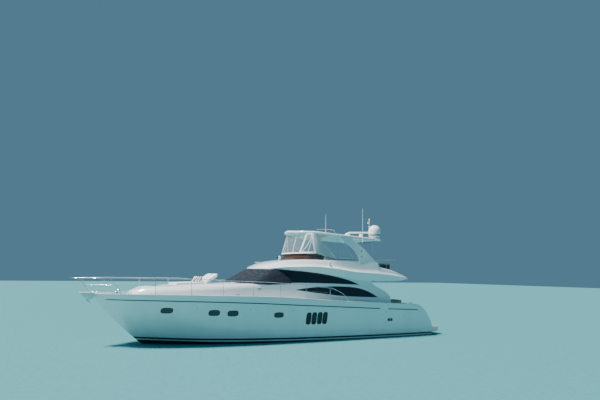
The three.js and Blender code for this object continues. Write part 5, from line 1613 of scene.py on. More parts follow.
@dataclass
class Flybridge:
    """The flybridge moulding, its ledges and its wind deflector."""

    def build(self) -> None:
        """Makes the moulding and what stands on it."""
        self.moulding()
        self.ledges()
        self.deflector()

    def moulding(self) -> None:
        """The blank less its well and the stair opening."""
        piece = make("flybridge_moulding", fly_blank())
        well = filleted(FLY_WELL_PLAN[None], [0, 0.3, 0.5, 0.5, 0.6, 1.0, 0.25, 0.3, 0], 6)[0]
        combined(piece, [prism(with_mirror(well), 2, FLY_SOLE_Z, 6.0),
                         box_shape(-7, -5.95, -1.75, -1.15, 3.0, 4.0)],
                 Mode.CUT)
        bevelled(piece, 0.012, 3, 45)
        dress(piece, GELCOAT, replaces=["flybridge"], angle=30)

    def ledges(self) -> None:
        """Two crescent ledges along each side: width 0.06 sin(pi s)^0.6, flat on top and faired below."""
        shapes = []
        for start, end, reach in ((0.55, -2.75, 0.055), (-2.6, -5.25, 0.05)):
            s = np.linspace(0, 1, 60)
            x = start + (end - start) * s
            y, z = fly_section(x).T[1:3]
            width = reach * np.sin(np.pi * s) ** 0.6 + 0.002
            section = ((-0.10, 0.012), (0.7, 0.004), (1.0, -0.006), (1.0, -0.02), (0.55, -0.05),
                       (-0.8, -0.10))
            rows = [(x, y + width * out, z + down * (width / reach)) for out, down in section]
            shapes.append(ring_loft(layered(rows)))
        fit("fly_ledges", both(shapes), GELCOAT, angle=50)

    def screen_grid(self, plan: Array, bottom: Callable, top: Callable, rows: int, columns: int) -> Array:
        """Points of a raised screen: its plan smoothed, straight from bottom to top."""
        port = resampled(plan, columns)
        share = np.linspace(0, 1, rows)[:, None, None]
        low = np.concatenate([port[:, :2], bottom(port[:, 0])[:, None]], axis=1)
        high = np.concatenate([port[:, 2:], top(port[:, 2])[:, None]], axis=1)
        return mirrored(low + (high - low) * share)

    def coaming(self, x: Array) -> Array:
        """Height of the coaming's top at x."""
        return fly_section(x)[..., 4]

    def deflector_top(self, x: Array) -> Array:
        """The deflector's upper edge: level, then down to 4.77 at its aft end."""
        return 4.9 - 0.13 * np.clip((-1.75 - np.asarray(x)) / 0.48, 0, 1)

    def deflector(self) -> None:
        """The smoked wind deflector with its foot gasket and top trim."""
        grid = self.screen_grid(DEFLECTOR_PLAN, lambda x: self.coaming(x) - 0.01, self.deflector_top, 10, 60)
        piece = cloth("deflector_screen", grid, 0.012)
        dress(bevelled(piece, 0.003, 2, 60), SMOKED, replaces=["wind_deflector"])
        fit("deflector_gasket", tube(grid[0] + [0, 0, 0.012], 0.016, 10), RUBBER)
        fit("deflector_trim", tube(grid[-1], 0.011, 10), STEEL)


@dataclass
class Hardtop:
    """The roof on its two arch legs, with the plinth for the aerials."""

    def build(self) -> None:
        """Makes the roof in one piece with its legs."""
        piece = make("hardtop_moulding", self.slab())
        leg = self.leg()
        plinth = prism(np.array([[-6.56, 5.85], [-5.9, 5.85], [-5.7, PLINTH_TOP_Z], [-6.56, PLINTH_TOP_Z]]),
                       1, -0.9, 1.56)
        combined(piece, [leg, flipped(leg), plinth], Mode.JOIN)
        combined(piece, [fly_blank(-GAP)], Mode.CUT)
        bevelled(piece, 0.02, 3, 50)
        dress(piece, GELCOAT, replaces=["hardtop"], angle=30)

    def slab(self) -> Shape:
        """The roof's lens section, with a full round edge."""
        x, y, z, thick = resampled(HARDTOP_STATIONS, 90).T
        zero = np.zeros_like(x)
        rows = ((x, zero, z + 0.05 - thick), (x, y - 0.09, z - thick), (x, y, z - thick * 0.55),
                (x, y - 0.05, z), (x, y * 0.5, z + 0.04), (x, zero, z + 0.05))
        half = layered(rows, [0, 3, 8, 6, 3, 0])
        return half_loft(filleted(half, [0, 0.06, 0.06, 0.08, 0.3, 0], 5))

    def leg(self) -> Shape:
        """One leg: its side outline, leaning in by 0.13 a metre above the coaming."""
        shape = prism(outline_of(LEG_OUTLINE, 0.06), 1, 2.045, 2.165)
        shape.verts[:, 1] -= 0.13 * (shape.verts[:, 2] - 4.4)
        return shape


# Screens, rails and roof gear

@dataclass
class Enclosure:
    """The enclosure under the hardtop: clear panes in cloth frames, opaque quarters of white canvas coloured
    light blue-grey as painted shade, and a hem.

    A panel is given by where its edges start and end round the plan, at the foot and at the roof.
    """

    cloth: float = 0.003
    panels: tuple = (
        ("centre", (-1.14, 1.14), (-1.14, 1.14), VINYL, 0.008),
        ("bow", (1.15, 1.93), (1.15, 2.53), VINYL, 0.008),
        ("corner", (1.95, 3.93), (2.55, 3.42), VINYL, 0.045),
        ("quarter", (3.96, 5.5), (3.44, 3.5), PALE_CANVAS_PAINTED_SHADE, 0.012),
        ("side", (5.53, 6.97), (3.54, 6.97), VINYL, 0.008))

    def build(self) -> None:
        """Makes every panel with its frame; the first stands for the CAD enclosure."""
        replaced = ["fly_enclosure"]
        for name, foot, roof, finish, half in self.panels:
            for side, side_name in SIDES if name != "centre" else ((PORT, "mid"),):
                edges = side * np.array([foot, roof])
                self.panel(f"enclosure_{name}_{side_name}", edges, finish, half, replaced)
                replaced = []
        self.hem()

    def at(self, s: Array, t: Array) -> Array:
        """A point: s runs round the plan (port above 0), t from the foot (0) to the roof (1)."""
        s, t = spread(s, t)
        row = rows_at(ENCLOSURE_PLAN, np.abs(s))
        foot = np.interp(np.abs(s), [0, 4, 4.6, 5.2, 7], [4.905, 4.905, 4.72, 4.6, 4.575])
        roof = hermite(-HARDTOP_STATIONS[:, 0], HARDTOP_STATIONS[:, 2], -row[..., 2]) - 0.11
        low = np.stack([row[..., 0], row[..., 1], foot], -1)
        high = np.stack([row[..., 2], row[..., 3], roof], -1)
        point = low + (high - low) * t[..., None]
        return point * np.stack([np.ones(s.shape), np.where(s < 0, -1.0, 1.0), np.ones(s.shape)], -1)

    def out(self, s: Array, t: Array) -> Array:
        """Outward direction of the screen."""
        e = 0.02
        out = np.cross(self.at(s + e, t) - self.at(s - e, t), self.at(s, t + e) - self.at(s, t - e))
        flat = self.at(s, t) - np.array([-2.5, 0, 5.3])
        return unit(out * np.sign((out * flat).sum(-1, keepdims=True)))

    def inside(self, edges: Array, u: Array, v: Array) -> tuple:
        """Plan position and height of a panel's own u (0 to 1 along it) and v (0 to 1 up)."""
        u, v = spread(u, v)
        start = edges[0, 0] + (edges[1, 0] - edges[0, 0]) * v
        end = edges[0, 1] + (edges[1, 1] - edges[0, 1]) * v
        return start + (end - start) * u, v

    def panel(self, name: str, edges: Array, finish: Finish, half: float, replaced: Sequence[str]) -> None:
        """One pane that bellies by 8 mm, with a cloth border."""
        u = np.linspace(0, 1, 26)[None]
        v = np.linspace(0.01, 0.99, 22)[:, None]
        s, t = self.inside(edges, u, v)
        belly = np.sin(np.pi * u) * np.sin(np.pi * v) * (0.008 + 0.0015 * np.sin(7 * s + 9 * t))
        grid = self.at(s, t) + self.out(s, t) * belly[..., None]
        pane = cloth(name, grid, 0.0012)
        # The opaque quarter and its frame take the painted shade colour; the other frames stay pale.
        opaque = finish is PALE_CANVAS_PAINTED_SHADE
        dress(pane, finish, replaces=list(replaced), angle=60)
        bands = self.bands(edges, half, "corner" in name)
        frame = fit(f"{name}_frame", bands, PALE_CANVAS_PAINTED_SHADE if opaque else PALE, angle=50)

    def bands(self, edges: Array, half: float, corner: bool) -> list[Shape]:
        """The cloth border and, on a corner panel, a slanting brace and an inner post."""
        v = np.linspace(0.02, 0.98, 18)
        inner = 0.02 if half < 0.02 else 0.05
        runs = [(v * 0 + inner, v, half), (v * 0 + 1 - inner, v, half), (v, v * 0 + 0.03, half * 1.2),
                (v, v * 0 + 0.962, half * 1.2)]
        if corner:
            runs += [(0.12 + 0.74 * v, v, 0.016), (0.5 + 0.38 * v, v, 0.014)]
        shapes = []
        for u, height, reach in runs:
            s, t = self.inside(edges, u, height)
            profile = rounded_rectangle(-self.cloth, self.cloth + 0.006, -reach, reach, 0.002, 2)
            shapes.append(sweep(self.at(s, t), profile, self.out(s, t)))
        return shapes

    def hem(self) -> None:
        """A white hem over the deflector's edge, a dark rope line aft of it, and the side panes' posts."""
        s = np.linspace(-3.95, 3.95, 120)
        path = self.at(s, np.full(120, 0.012))
        hem = sweep(path, rounded_rectangle(-0.004, 0.009, -0.03, 0.03, 0.003, 2),
                    self.out(s, np.full(120, 0.05)))
        fit("enclosure_hem", hem, PALE, angle=50)
        ropes, posts = [], []
        for side in (PORT, STARBOARD):
            s = side * np.linspace(4.7, 7.0, 90)
            path = self.at(s, 0.0)
            path[:, 2] += 0.01 * np.sin(np.linspace(0, 34, 90))
            ropes.append(tube(path, 0.019, 10))
            v = np.linspace(-0.02, 0.99, 12)
            for foot, head in ((5.64, 6.0), (3.97, 3.97)):
                place = side * (foot + (head - foot) * v)
                posts.append(tube(self.at(place, v) - self.out(place, v) * 0.02, 0.0125, 10))
        fit("enclosure_foot_rope", ropes, RUBBER, "grey_canvas")
        fit("enclosure_posts", posts, STEEL)


@dataclass
class Rails:
    """The bow rail with its pulpit, and the rail round the aft flybridge.

    top is the bow rail's line from the bow aft, and posts are the x of its posts.
    """

    tube_radius: float = 0.016
    post_radius: float = 0.013
    top: tuple = ((11.35, 0.3, 3.37), (10.98, 0.62, 3.36), (9.9, 1.35, 3.385), (7.6, 2.03, 3.38),
                  (5.83, 2.39, 3.375), (4.17, 2.56, 3.315), (2.57, 2.62, 3.27), (0.95, 2.64, 3.2),
                  (-0.67, 2.64, 3.06), (-2.24, 2.63, 2.92), (-2.4, 2.628, 2.88), (-3.1, 2.612, 2.56),
                  (-3.4, 2.608, 2.18))
    posts: tuple = (9.09, 7.55, 5.83, 4.21, 2.56, 0.97, -0.64, -2.2)
    aft_limits: tuple = (4.65, 2.075, -7.37)

    def build(self) -> None:
        """Makes both rails."""
        self.bow()
        self.aft()

    def rail_at(self, x: float) -> Array:
        """The point of the top rail at x."""
        top = np.array(self.top[:10])[::-1]
        return np.array([x, np.interp(x, top[:, 0], top[:, 1]), np.interp(x, top[:, 0], top[:, 2])])

    def gunwale(self, x: float, inset: float, lift: float) -> Array:
        """A point over the gunwale, set in from its edge."""
        y, z = HULL.sheer(np.array(x))
        return np.array([x, y - inset, z + lift])

    def bow(self) -> None:
        """Top rail round the bow, raked posts on round bases, and the pulpit's bent struts."""
        top = np.array(self.top)
        nose = np.array([[11.37, 0.0, 3.372], [11.365, 0.16, 3.371]])
        port = smooth_path(np.concatenate([nose, top]), 150)
        shapes = [tube(mirrored(port[None])[0], self.tube_radius, 14)]
        feet = []
        for x in self.posts:
            rake = 0.56 if x > 9 else 0.04
            foot = self.gunwale(x, 0.055, -0.004)
            head = self.rail_at(x + rake)
            bend = foot + np.array([0.0, 0, 0.10])
            shapes.append(tube([foot, bend, head] if x < 9 else [foot, bend + [0.03, 0, 0], head],
                               self.post_radius, 12, count=18))
            feet.append(lathe([[0, 0], [0.036, 0], [0.036, 0.005], [0.02, 0.012], [0.016, 0.03], [0, 0.03]],
                              foot, 18))
        foot = np.array([10.37, 0.29, 2.65])
        head = self.rail_at(10.9)
        shapes.append(tube([foot, foot + [0.04, 0.02, 0.1], head], self.post_radius, 12, count=18))
        feet.append(lathe([[0, 0], [0.036, 0], [0.036, 0.005], [0.016, 0.02], [0, 0.02]], foot, 18))
        post_foot = self.gunwale(self.posts[0], 0.055, 0)
        post_head = self.rail_at(9.65)
        mid_fore = foot + (head - foot) * 0.55
        mid_aft = post_foot + (post_head - post_foot) * 0.55
        mid_end = self.gunwale(self.posts[1], 0.05, 0.43) + [0.01, 0, 0]
        shapes.append(tube([mid_fore, mid_aft, mid_end], self.post_radius * 0.8, 12, count=40))
        wire = [mid_end] + [self.gunwale(x, 0.05, 0.40) for x in self.posts[2:]]
        shapes.append(tube(wire, 0.004, 8, count=90))
        fit("bow_rail_tubes", [shapes[0], both(shapes[1:] + feet)], STEEL, replaces=["bow_rail"], angle=50)

    def aft(self) -> None:
        """The rail round the aft end of the flybridge."""
        z, side, end = self.aft_limits
        line = np.array([
            [-6.06, side, 4.1], [-6.06, side, 4.54], [-6.1, side, 4.63], [-6.2, side, z],
            [-6.7, side, z], [-7.1, side, z], [-7.28, 2.0, z], [-7.36, 1.82, z], [end, 1.4, z],
            [end, 0.7, z], [end, 0, z]])
        port = smooth_path(line, 90)
        shapes = [tube(np.concatenate([port, port[-2::-1] * MIRROR]), self.tube_radius, 14)]
        half = []
        for x, y in ((-6.58, side), (-7.05, side), (end, 1.2), (end, 0.4)):
            foot = np.array([x, y, crown_at(x) - 0.01])
            half.append(tube([foot, [x, y, z]], self.post_radius, 12))
            half.append(lathe([[0, 0], [0.034, 0], [0.034, 0.006], [0.015, 0.018], [0, 0.018]], foot, 18))
        mid = smooth_path(line[2:] - [0, 0, 0.28], 70)
        shapes.append(tube(np.concatenate([mid, mid[-2::-1] * MIRROR]), 0.009, 10))
        shapes.append(both(half))
        fit("fly_aft_rail_tubes", shapes, STEEL, replaces=["aft_rail"], angle=50)


@dataclass
class RoofGear:
    """Domes, radar, mast and aerials on the hardtop."""

    def build(self) -> None:
        """Makes each unit."""
        self.domes()
        self.radar()
        self.mast()
        self.aerials()
        self.roof_rail()

    def dome_profile(self, radius: float, height: float) -> list:
        """Foot, waist and a half-ellipsoid top."""
        straight = height - radius * 1.05
        angle = np.linspace(0, np.pi / 2, 18)
        cap = [[radius * np.cos(a), straight + radius * 1.05 * np.sin(a)] for a in angle]
        return [[0, 0], [radius * 0.55, 0], [radius * 0.57, height * 0.07], [radius * 0.9, height * 0.14],
                [radius * 0.985, height * 0.24]] + cap

    def domes(self) -> None:
        """The large dome with its grey band, and the small one."""
        fit("sat_dome_shell", lathe(self.dome_profile(*SAT_DOME[3:]), SAT_DOME[:3], 48), DOME,
            replaces=["sat_dome"])
        band = [[0.2, 0.13], [0.37, 0.135], [0.399, 0.2], [0.4, 0.27], [0.394, 0.275], [0.2, 0.27]]
        ring = lathe(band, SAT_DOME[:3], 48)
        fit("sat_dome_band", ring, GREY_BAND)
        fit("small_dome_shell", lathe(self.dome_profile(0.2, 0.28), (-4.66, 0.6, 6.045), 32), DOME,
            replaces=["small_dome"])

    def roof_rail(self) -> None:
        """A low handrail on the roof, and the thin stay from the roof down to the flybridge deck."""
        bar = smooth_path(np.array([[-2.2, 0.9, 6.24], [-2.26, 0.9, 6.39], [-2.4, 0.9, 6.425],
                                    [-2.9, 0.9, 6.432], [-3.35, 0.9, 6.43], [-3.48, 0.9, 6.40],
                                    [-3.52, 0.9, 6.24]]), 60)
        legs = [tube([[x, 0.9, 6.24], [x, 0.9, 6.43]], 0.011, 10) for x in (-2.65, -3.08)]
        fit("roof_handrail", [tube(bar, 0.013, 12)] + legs, STEEL)
        stay = tube([[-5.96, 1.4, 5.85], [-6.27, 1.4, 3.803]], 0.012, 12)
        foot = lathe([[0, 0], [0.04, 0], [0.04, 0.008], [0.018, 0.02], [0, 0.02]], (-6.27, 1.4, 3.802), 20)
        fit("roof_stay", [stay, foot], STEEL)

    def radar(self) -> None:
        """The radar's pedestal and its long scanner bar with rounded ends."""
        foot = [[0, 0.001], [0.15, 0.001], [0.15, 0.03], [0.125, 0.05], [0.12, 0.36], [0.10, 0.40],
                [0, 0.408]]
        pedestal = lathe(foot, (*RADAR_AXIS, PLINTH_TOP_Z), 32)
        fit("radar_pedestal", pedestal, DOME, replaces=["radar_base"])
        s = np.linspace(-1, 1, 41)
        size = (1 - np.abs(s) ** 14) ** 0.5 * 0.9 + 0.1
        turn = np.radians(52)
        along = np.array([-np.sin(turn), np.cos(turn), 0])
        centre = np.array([*RADAR_AXIS, 6.475])
        path = centre + s[:, None] * along * 0.88
        profile = rounded_rectangle(-0.052, 0.052, -0.072, 0.072, 0.03, 5)
        neck = lathe([[0, -0.073], [0.06, -0.073], [0.075, -0.03], [0.075, 0.0], [0, 0]], centre, 28)
        bar = sweep(path, profile, UP, scale=size)
        fit("radar_bar", [bar, neck], DOME, body="radar_scanner", replaces=["radar_scanner"], angle=40)

    def mast(self) -> None:
        """The light mast with its two lights and crosspiece."""
        x, y = -6.35, 0.6
        plate = lathe([[0, 0], [0.09, 0], [0.09, 0.012], [0.05, 0.024], [0.026, 0.05], [0, 0.05]],
                      (x, y, PLINTH_TOP_Z + 0.001), 24)
        pole = tube([[x, y, PLINTH_TOP_Z + 0.01], [x, y, 7.22]], 0.02, 16)
        arm = tube([[x, y - 0.12, 6.8], [x, y + 0.12, 6.8]], 0.012, 10)
        spur = tube([[x, y, 7.05], [x + 0.09, y, 7.05]], 0.011, 10)
        fit("light_mast_pole", [plate, pole, arm, spur], MAST, replaces=["light_mast"])
        lamp = [[0, 0], [0.03, 0], [0.04, 0.015], [0.04, 0.035], [0.036, 0.04], [0.036, 0.085], [0.04, 0.09],
                [0.03, 0.11], [0, 0.115]]
        lights = merged([lathe(lamp, (x, y, 7.215), 24), lathe(lamp, (x + 0.09, y, 7.0), 24)])
        fit("mast_lights", lights, DOME)

    def aerials(self) -> None:
        """Two whip aerials on stepped bases, the aft one on a short arm."""
        whip = [[0, 0], [0.03, 0], [0.03, 0.05], [0.022, 0.07], [0.02, 0.2], [0.0135, 0.24], [0.012, 0.9],
                [0.0085, 1.0], [0.007, 1.175], [0, 1.18]]
        x, y = -2.35, 1.78
        fit("aerial_fwd_whip", lathe(whip, (x, y, 6.10), 14), MAST, replaces=["aerial_fwd"])
        tall = [[0, 0], [0.022, 0], [0.022, 0.5], [0.016, 0.56], [0.0125, 0.6], [0.012, 1.5], [0.008, 1.62],
                [0.007, 2.145], [0, 2.15]]
        arm = tube([[-4.85, 1.93, 6.02], [-4.85, 2.01, 6.02]], 0.02, 12)
        piece = merged([lathe(tall, (-4.85, 2.01, 5.64), 14), arm])
        fit("aerial_aft_whip", piece, MAST, replaces=["aerial_aft"])


@dataclass
class FlyFittings:
    """Searchlight, horn, side lights and arch-leg lights."""

    def build(self) -> None:
        """Makes each fitting."""
        self.searchlight()
        self.horn()
        self.side_lights()
        self.arch_lights()

    def searchlight(self) -> None:
        """A white ball lamp on a short foot."""
        x, y, radius = 0.05, 0.45, 0.105
        z = crown_at(x) - 0.02
        centre = (x, y, z + 0.18)
        foot = lathe([[0, 0], [0.09, 0], [0.085, 0.02], [0.045, 0.04], [0.04, 0.1], [0, 0.1]], (x, y, z), 28)
        angle = np.linspace(-np.pi / 2, np.pi / 2, 22)
        ball = lathe(radius * np.stack([np.cos(angle), np.sin(angle)], -1), centre, 28)
        fit("searchlight", [foot, ball], DOME)
        lens = lathe([[0, 0.07], [0.07, 0.07], [0.085, 0.085], [0.085, radius], [0.06, 0.11], [0, 0.112]],
                     centre, 28, (1, 0, 0.05))
        fit("searchlight_lens", lens, DARK_GLASS)

    def horn(self) -> None:
        """Twin trumpets on the brow."""
        shapes = []
        for y, length in ((-0.06, 0.36), (0.06, 0.28)):
            z = crown_at(0.95) + 0.03
            bell = [[0, 0], [0.012, 0], [0.013, length * 0.6], [0.022, length * 0.85], [0.042, length],
                    [0.038, length], [0.016, length * 0.84], [0, length * 0.8]]
            shapes.append(lathe(bell, (1.0, y, z + 0.02), 20, (1, 0, -0.1)))
            shapes.append(lathe([[0, 0], [0.03, 0], [0.02, 0.02], [0.018, 0.06], [0, 0.06]],
                                (1.03, y, z - 0.045), 16))
        fit("horn", shapes, STEEL)

    def side_lights(self) -> None:
        """Navigation lights on the coaming, in white housings."""
        place = ((-2.43, 2.1, 4.30), 24, (0.25, 0.9, 0.35))
        house = lathe([[0, 0], [0.05, 0], [0.06, 0.02], [0.06, 0.07], [0.045, 0.09], [0, 0.095]], *place)
        fit("side_light_housings", both(house), DOME)
        lens = lathe([[0, 0.085], [0.04, 0.085], [0.04, 0.1], [0.025, 0.112], [0, 0.115]], *place)
        fit("side_light_lenses", both(lens), DARK_GLASS)

    def arch_lights(self) -> None:
        """Two small courtesy lights on each arch leg."""
        shapes = []
        for x, z in ((-4.72, 5.12), (-4.68, 4.78)):
            y = 2.165 - 0.13 * (z - 4.4)
            shapes.append(lathe([[0, -0.01], [0.035, -0.01], [0.035, 0.008], [0.02, 0.014], [0, 0.014]],
                                (x, y, z), 20, (0, 1, 0.13)))
        fit("arch_lights", both(shapes), DARK_GLASS)


# Seats, consoles and deck gear

@dataclass
class Cushion:
    """One padded piece: a crowned box, its sides drawn in between the corners, with seams and sewn channels.

    Its length lies along its own x, width along y and height along z; turn is yaw, then tilt about its width.
    """

    name: str
    centre: tuple
    size: tuple
    finish: Finish = HIDE
    tilt: float = 0.0
    yaw: float = 0.0
    channels: int = 0
    fill: float = 0.75
    cells: tuple = (30, 22)

    def shape(self) -> Shape:
        """Top and bottom grids with a side wall of five rows between their edges."""
        length, width, height = self.size
        u = np.linspace(-1, 1, self.cells[0])[:, None]
        v = np.linspace(-1, 1, self.cells[1])[None]
        x = u * np.sqrt(1 - 0.12 * v ** 2) * (1 - 0.02 * (1 - v ** 2) * np.abs(u) ** 3) * (length / 2 - 0.012)
        y = v * np.sqrt(1 - 0.12 * u ** 2) * (1 - 0.02 * (1 - u ** 2) * np.abs(v) ** 3) * (width / 2 - 0.012)
        round_off = (1 - u ** 6) * (1 - v ** 6)
        crown = height * (0.5 - 0.16) + height * 0.14 * round_off
        if self.channels:
            furrow = np.abs(np.cos(np.pi * (u + 1) / 2 * self.channels)) ** 12
            crown = crown - 0.014 * furrow * round_off
        top = np.stack([x, y, crown], -1)
        under = np.stack([x, y, -height * 0.42 - height * 0.06 * round_off], -1)
        rows, columns = self.cells
        edge = border_of(rows, columns)
        count = rows * columns
        high, low = top.reshape(-1, 3)[edge], under.reshape(-1, 3)[edge]
        t = np.linspace(0, 1, 7)[1:-1, None, None]
        wall = high + (low - high) * t
        wall[..., :2] *= 1 + 0.02 * np.sin(np.pi * t)
        ring = len(edge)
        index = np.concatenate([edge[None], count * 2 + np.arange(5 * ring).reshape(5, ring),
                                edge[None] + count])
        quads = np.stack([index[:-1], np.roll(index, -1, 1)[:-1], np.roll(index, -1, 1)[1:], index[1:]], -1)
        faces = grid_faces(rows, columns)
        faces += [[i + count for i in face[::-1]] for face in faces]
        verts = np.concatenate([top.reshape(-1, 3), under.reshape(-1, 3), wall.reshape(-1, 3)])
        self.edge = edge
        return Shape(self.placed(verts), faces + quads.reshape(-1, 4).tolist())

    def placed(self, verts: Array) -> Array:
        """The cushion's own points turned and moved into the boat."""
        turn = Matrix.Rotation(np.radians(self.yaw), 3, "Z") @ Matrix.Rotation(np.radians(-self.tilt), 3, "Y")
        return verts @ np.array(turn).T + np.array(self.centre)

    def finish_off(self, verts: Array, faces: list, replaces: Sequence[str]) -> None:
        """Makes the pad from its final points, with piping along both seams."""
        count = self.cells[0] * self.cells[1]
        pad = make(self.name, Shape(verts, faces))
        smooth = pad.modifiers.new("smooth", "SUBSURF")
        smooth.levels = 1
        dress(applied(pad), self.finish, "upholstery", replaces=replaces, angle=70)
        seams = [tube(verts[self.edge + part], 0.0055, 8, closed=True) for part in (0, count)]
        fit(f"{self.name}_piping", seams, self.finish, "upholstery", angle=60)


@dataclass
class Upholstery:
    """All the cushions, plumped together by one cloth run."""

    reach: float = 0.012
    frames: int = 20
    cushions: list = field(default_factory=list)

    def add(self, replaces: Sequence[str], *cushions: Cushion) -> None:
        """Adds cushions; the first one stands for the CAD nodes."""
        for number, cushion in enumerate(cushions):
            self.cushions.append((cushion, tuple(replaces) if number == 0 else ()))

    def build(self) -> None:
        """Makes every cushion from its plumped points."""
        shapes = [cushion.shape() for cushion, _ in self.cushions]
        plumped = self.plumped(merged(shapes))
        start = 0
        for (cushion, replaces), shape in zip(self.cushions, shapes):
            end = start + len(shape.verts)
            cushion.finish_off(plumped[start:end], shape.faces, replaces)
            start = end

    def plumped(self, shape: Shape) -> Array:
        """Points after a pressed cloth run; each move is capped at the reach, and less where a pad rests."""
        mesh = bpy.data.meshes.new("plump")
        mesh.from_pydata(shape.verts.tolist(), [], shape.faces)
        piece = linked("plump", mesh)
        work = bmesh.new()
        work.from_mesh(mesh)
        bmesh.ops.recalc_face_normals(work, faces=work.faces)
        work.to_mesh(mesh)
        work.free()
        cloth = piece.modifiers.new("cloth", "CLOTH")
        cloth.settings.use_pressure = True
        cloth.settings.uniform_pressure_force = 4
        cloth.settings.quality = 5
        cloth.settings.effector_weights.gravity = 0
        cloth.collision_settings.use_collision = False
        cloth.point_cache.frame_start = 1
        cloth.point_cache.frame_end = self.frames
        for number in range(1, self.frames + 1):
            bpy.context.scene.frame_set(number)
        moved = shape_of(applied(piece)).verts - shape.verts
        bpy.data.objects.remove(piece)
        bpy.context.scene.frame_set(1)
        size = np.linalg.norm(moved, axis=1, keepdims=True)
        LOG.info("cushions: largest free move %.4f m", float(size.max()))
        moved *= np.minimum(1, self.reach / np.maximum(size, 1e-9))
        moved[:, 2] = np.maximum(moved[:, 2], -0.002)
        return shape.verts + moved


@dataclass
class Seats:
    """Bases and cushions of every seat on board."""

    def build(self) -> None:
        """Makes the bases, then all the cushions."""
        pads = Upholstery()
        self.fly_settee(pads)
        self.sofa(pads)
        self.bench(pads)
        self.helm_seats(pads)
        self.lounger(pads)
        pads.build()

    def base(self, name: str, plan: Sequence, low: float, high: float, finish: Finish) -> None:
        """A seat's base, from its plan."""
        fit(name, prism(plan, 2, low, high), finish, edge=(0.012, 3, 50), angle=50)

    def fly_settee(self, pads: Upholstery) -> None:
        """The settee along the flybridge's port side."""
        plan = [[-3.02, 1.74], [-3.02, 0.74], [-3.52, 0.74], [-3.52, 1.18], [-5.12, 1.18],
                [-5.12, 0.74], [-5.62, 0.74], [-5.62, 1.78]]
        self.base("fly_settee_base", plan, 3.803, 4.09, GELCOAT)
        cushions = [Cushion("fly_settee_seat_mid", (-4.33, 1.385, 4.165), (1.52, 0.4, 0.15), channels=3)]
        for place, x in (("fore", -3.28), ("aft", -5.38)):
            cushions.append(Cushion(f"fly_settee_seat_{place}", (x, 1.14, 4.165), (0.52, 0.86, 0.15),
                                    channels=2))
        for place, x, y in (("fore", -3.45, 1.66), ("mid", -4.28, 1.675), ("aft", -5.13, 1.69)):
            cushions.append(Cushion(f"fly_settee_back_{place}", (x, y, 4.37), (0.8, 0.15, 0.32), channels=2))
        pads.add(["fly_settee"], *cushions)

    def sofa(self, pads: Upholstery) -> None:
        """The saloon's L-shaped sofa to port."""
        plan = [[-0.92, 1.83], [-0.92, 1.18], [-3.62, 1.18], [-3.62, 0.62], [-4.28, 0.62], [-4.28, 1.83]]
        self.base("saloon_sofa_base", plan, 1.503, 1.78, JOINERY)
        cushions = []
        for number, x in enumerate((-1.35, -2.2, -3.05), 1):
            for place, y, z, size in (("seat", 1.42, 1.86, (0.84, 0.44, 0.15)),
                                      ("back", 1.745, 2.08, (0.84, 0.18, 0.34))):
                cushions.append(Cushion(f"sofa_{place}_{number}", (x, y, z), size, channels=2))
        cushions.append(Cushion("sofa_seat_corner", (-3.8, 1.12, 1.86), (0.56, 1.0, 0.15)))
        cushions.append(Cushion("sofa_back_aft", (-4.2, 1.22, 2.08), (0.16, 1.2, 0.34)))
        pads.add(["saloon_sofa"], *cushions)

    def bench(self, pads: Upholstery) -> None:
        """The bench across the cockpit's aft end."""
        for place, x, low, high in (("base", -7.97, 1.383, 1.7), ("rest", -8.42, 1.69, 2.12)):
            plan = [[-8.49, -1.14], [x, -1.14], [x, 1.14], [-8.49, 1.14]]
            self.base(f"cockpit_bench_{place}", plan, low, high, GELCOAT)
        cushions = []
        for number, y in enumerate((-0.57, 0.57), 1):
            cushions.append(Cushion(f"bench_seat_{number}", (-8.16, y, 1.765), (0.4, 1.12, 0.13)))
            cushions.append(Cushion(f"bench_back_{number}", (-8.37, y, 1.985), (0.12, 1.12, 0.31)))
        pads.add(["cockpit_bench"], *cushions)

    def helm_seats(self, pads: Upholstery) -> None:
        """Two pedestal seats: column, shell, seat and back cushions, armrests."""
        for name, x, floor, width in (("fly_helm_seat", -2.25, FLY_SOLE_Z, 0.56),
                                      ("helm_seat", 0.12, SALOON_SOLE_Z, 0.62)):
            y = HELM_Y
            foot = lathe([[0, 0.002], [0.185, 0.002], [0.185, 0.012], [0.16, 0.024], [0.06, 0.034],
                          [0.044, 0.06], [0.044, 0.24], [0.052, 0.245], [0.052, 0.26], [0.036, 0.265],
                          [0.036, 0.47], [0, 0.47]], (x, y, floor), 28)
            fit(f"{name}_column", foot, STEEL, angle=40)
            outline = np.array([[-0.25, 0.465], [0.25, 0.465], [0.255, 0.5], [-0.13, 0.52], [-0.2, 0.62],
                                [-0.325, 1.12], [-0.352, 1.13], [-0.35, 1.1], [-0.235, 0.62]])
            shell = prism(outline + [x, floor], 1, y - width / 2 + 0.02, y + width / 2 - 0.02)
            arms = []
            for side in (-1, 1):
                arm = np.array([[x - 0.24, y, floor + 0.78], [x - 0.05, y, floor + 0.79],
                                [x + 0.12, y, floor + 0.78]])
                arm[:, 1] += side * (width / 2 - 0.045)
                arms.append(tube(arm, 0.026, 12, count=14))
            fit(f"{name}_shell", shell, GELCOAT, edge=(0.012, 3, 40), angle=50)
            fit(f"{name}_arms", arms, HIDE, angle=60)
            pads.add([name],
                     Cushion(f"{name}_seat_pad", (x + 0.04, y, floor + 0.567), (0.42, width - 0.04, 0.11),
                             channels=3),
                     Cushion(f"{name}_back_pad", (x - 0.235, y, floor + 0.87), (0.50, width - 0.1, 0.09),
                             tilt=-103, channels=4))

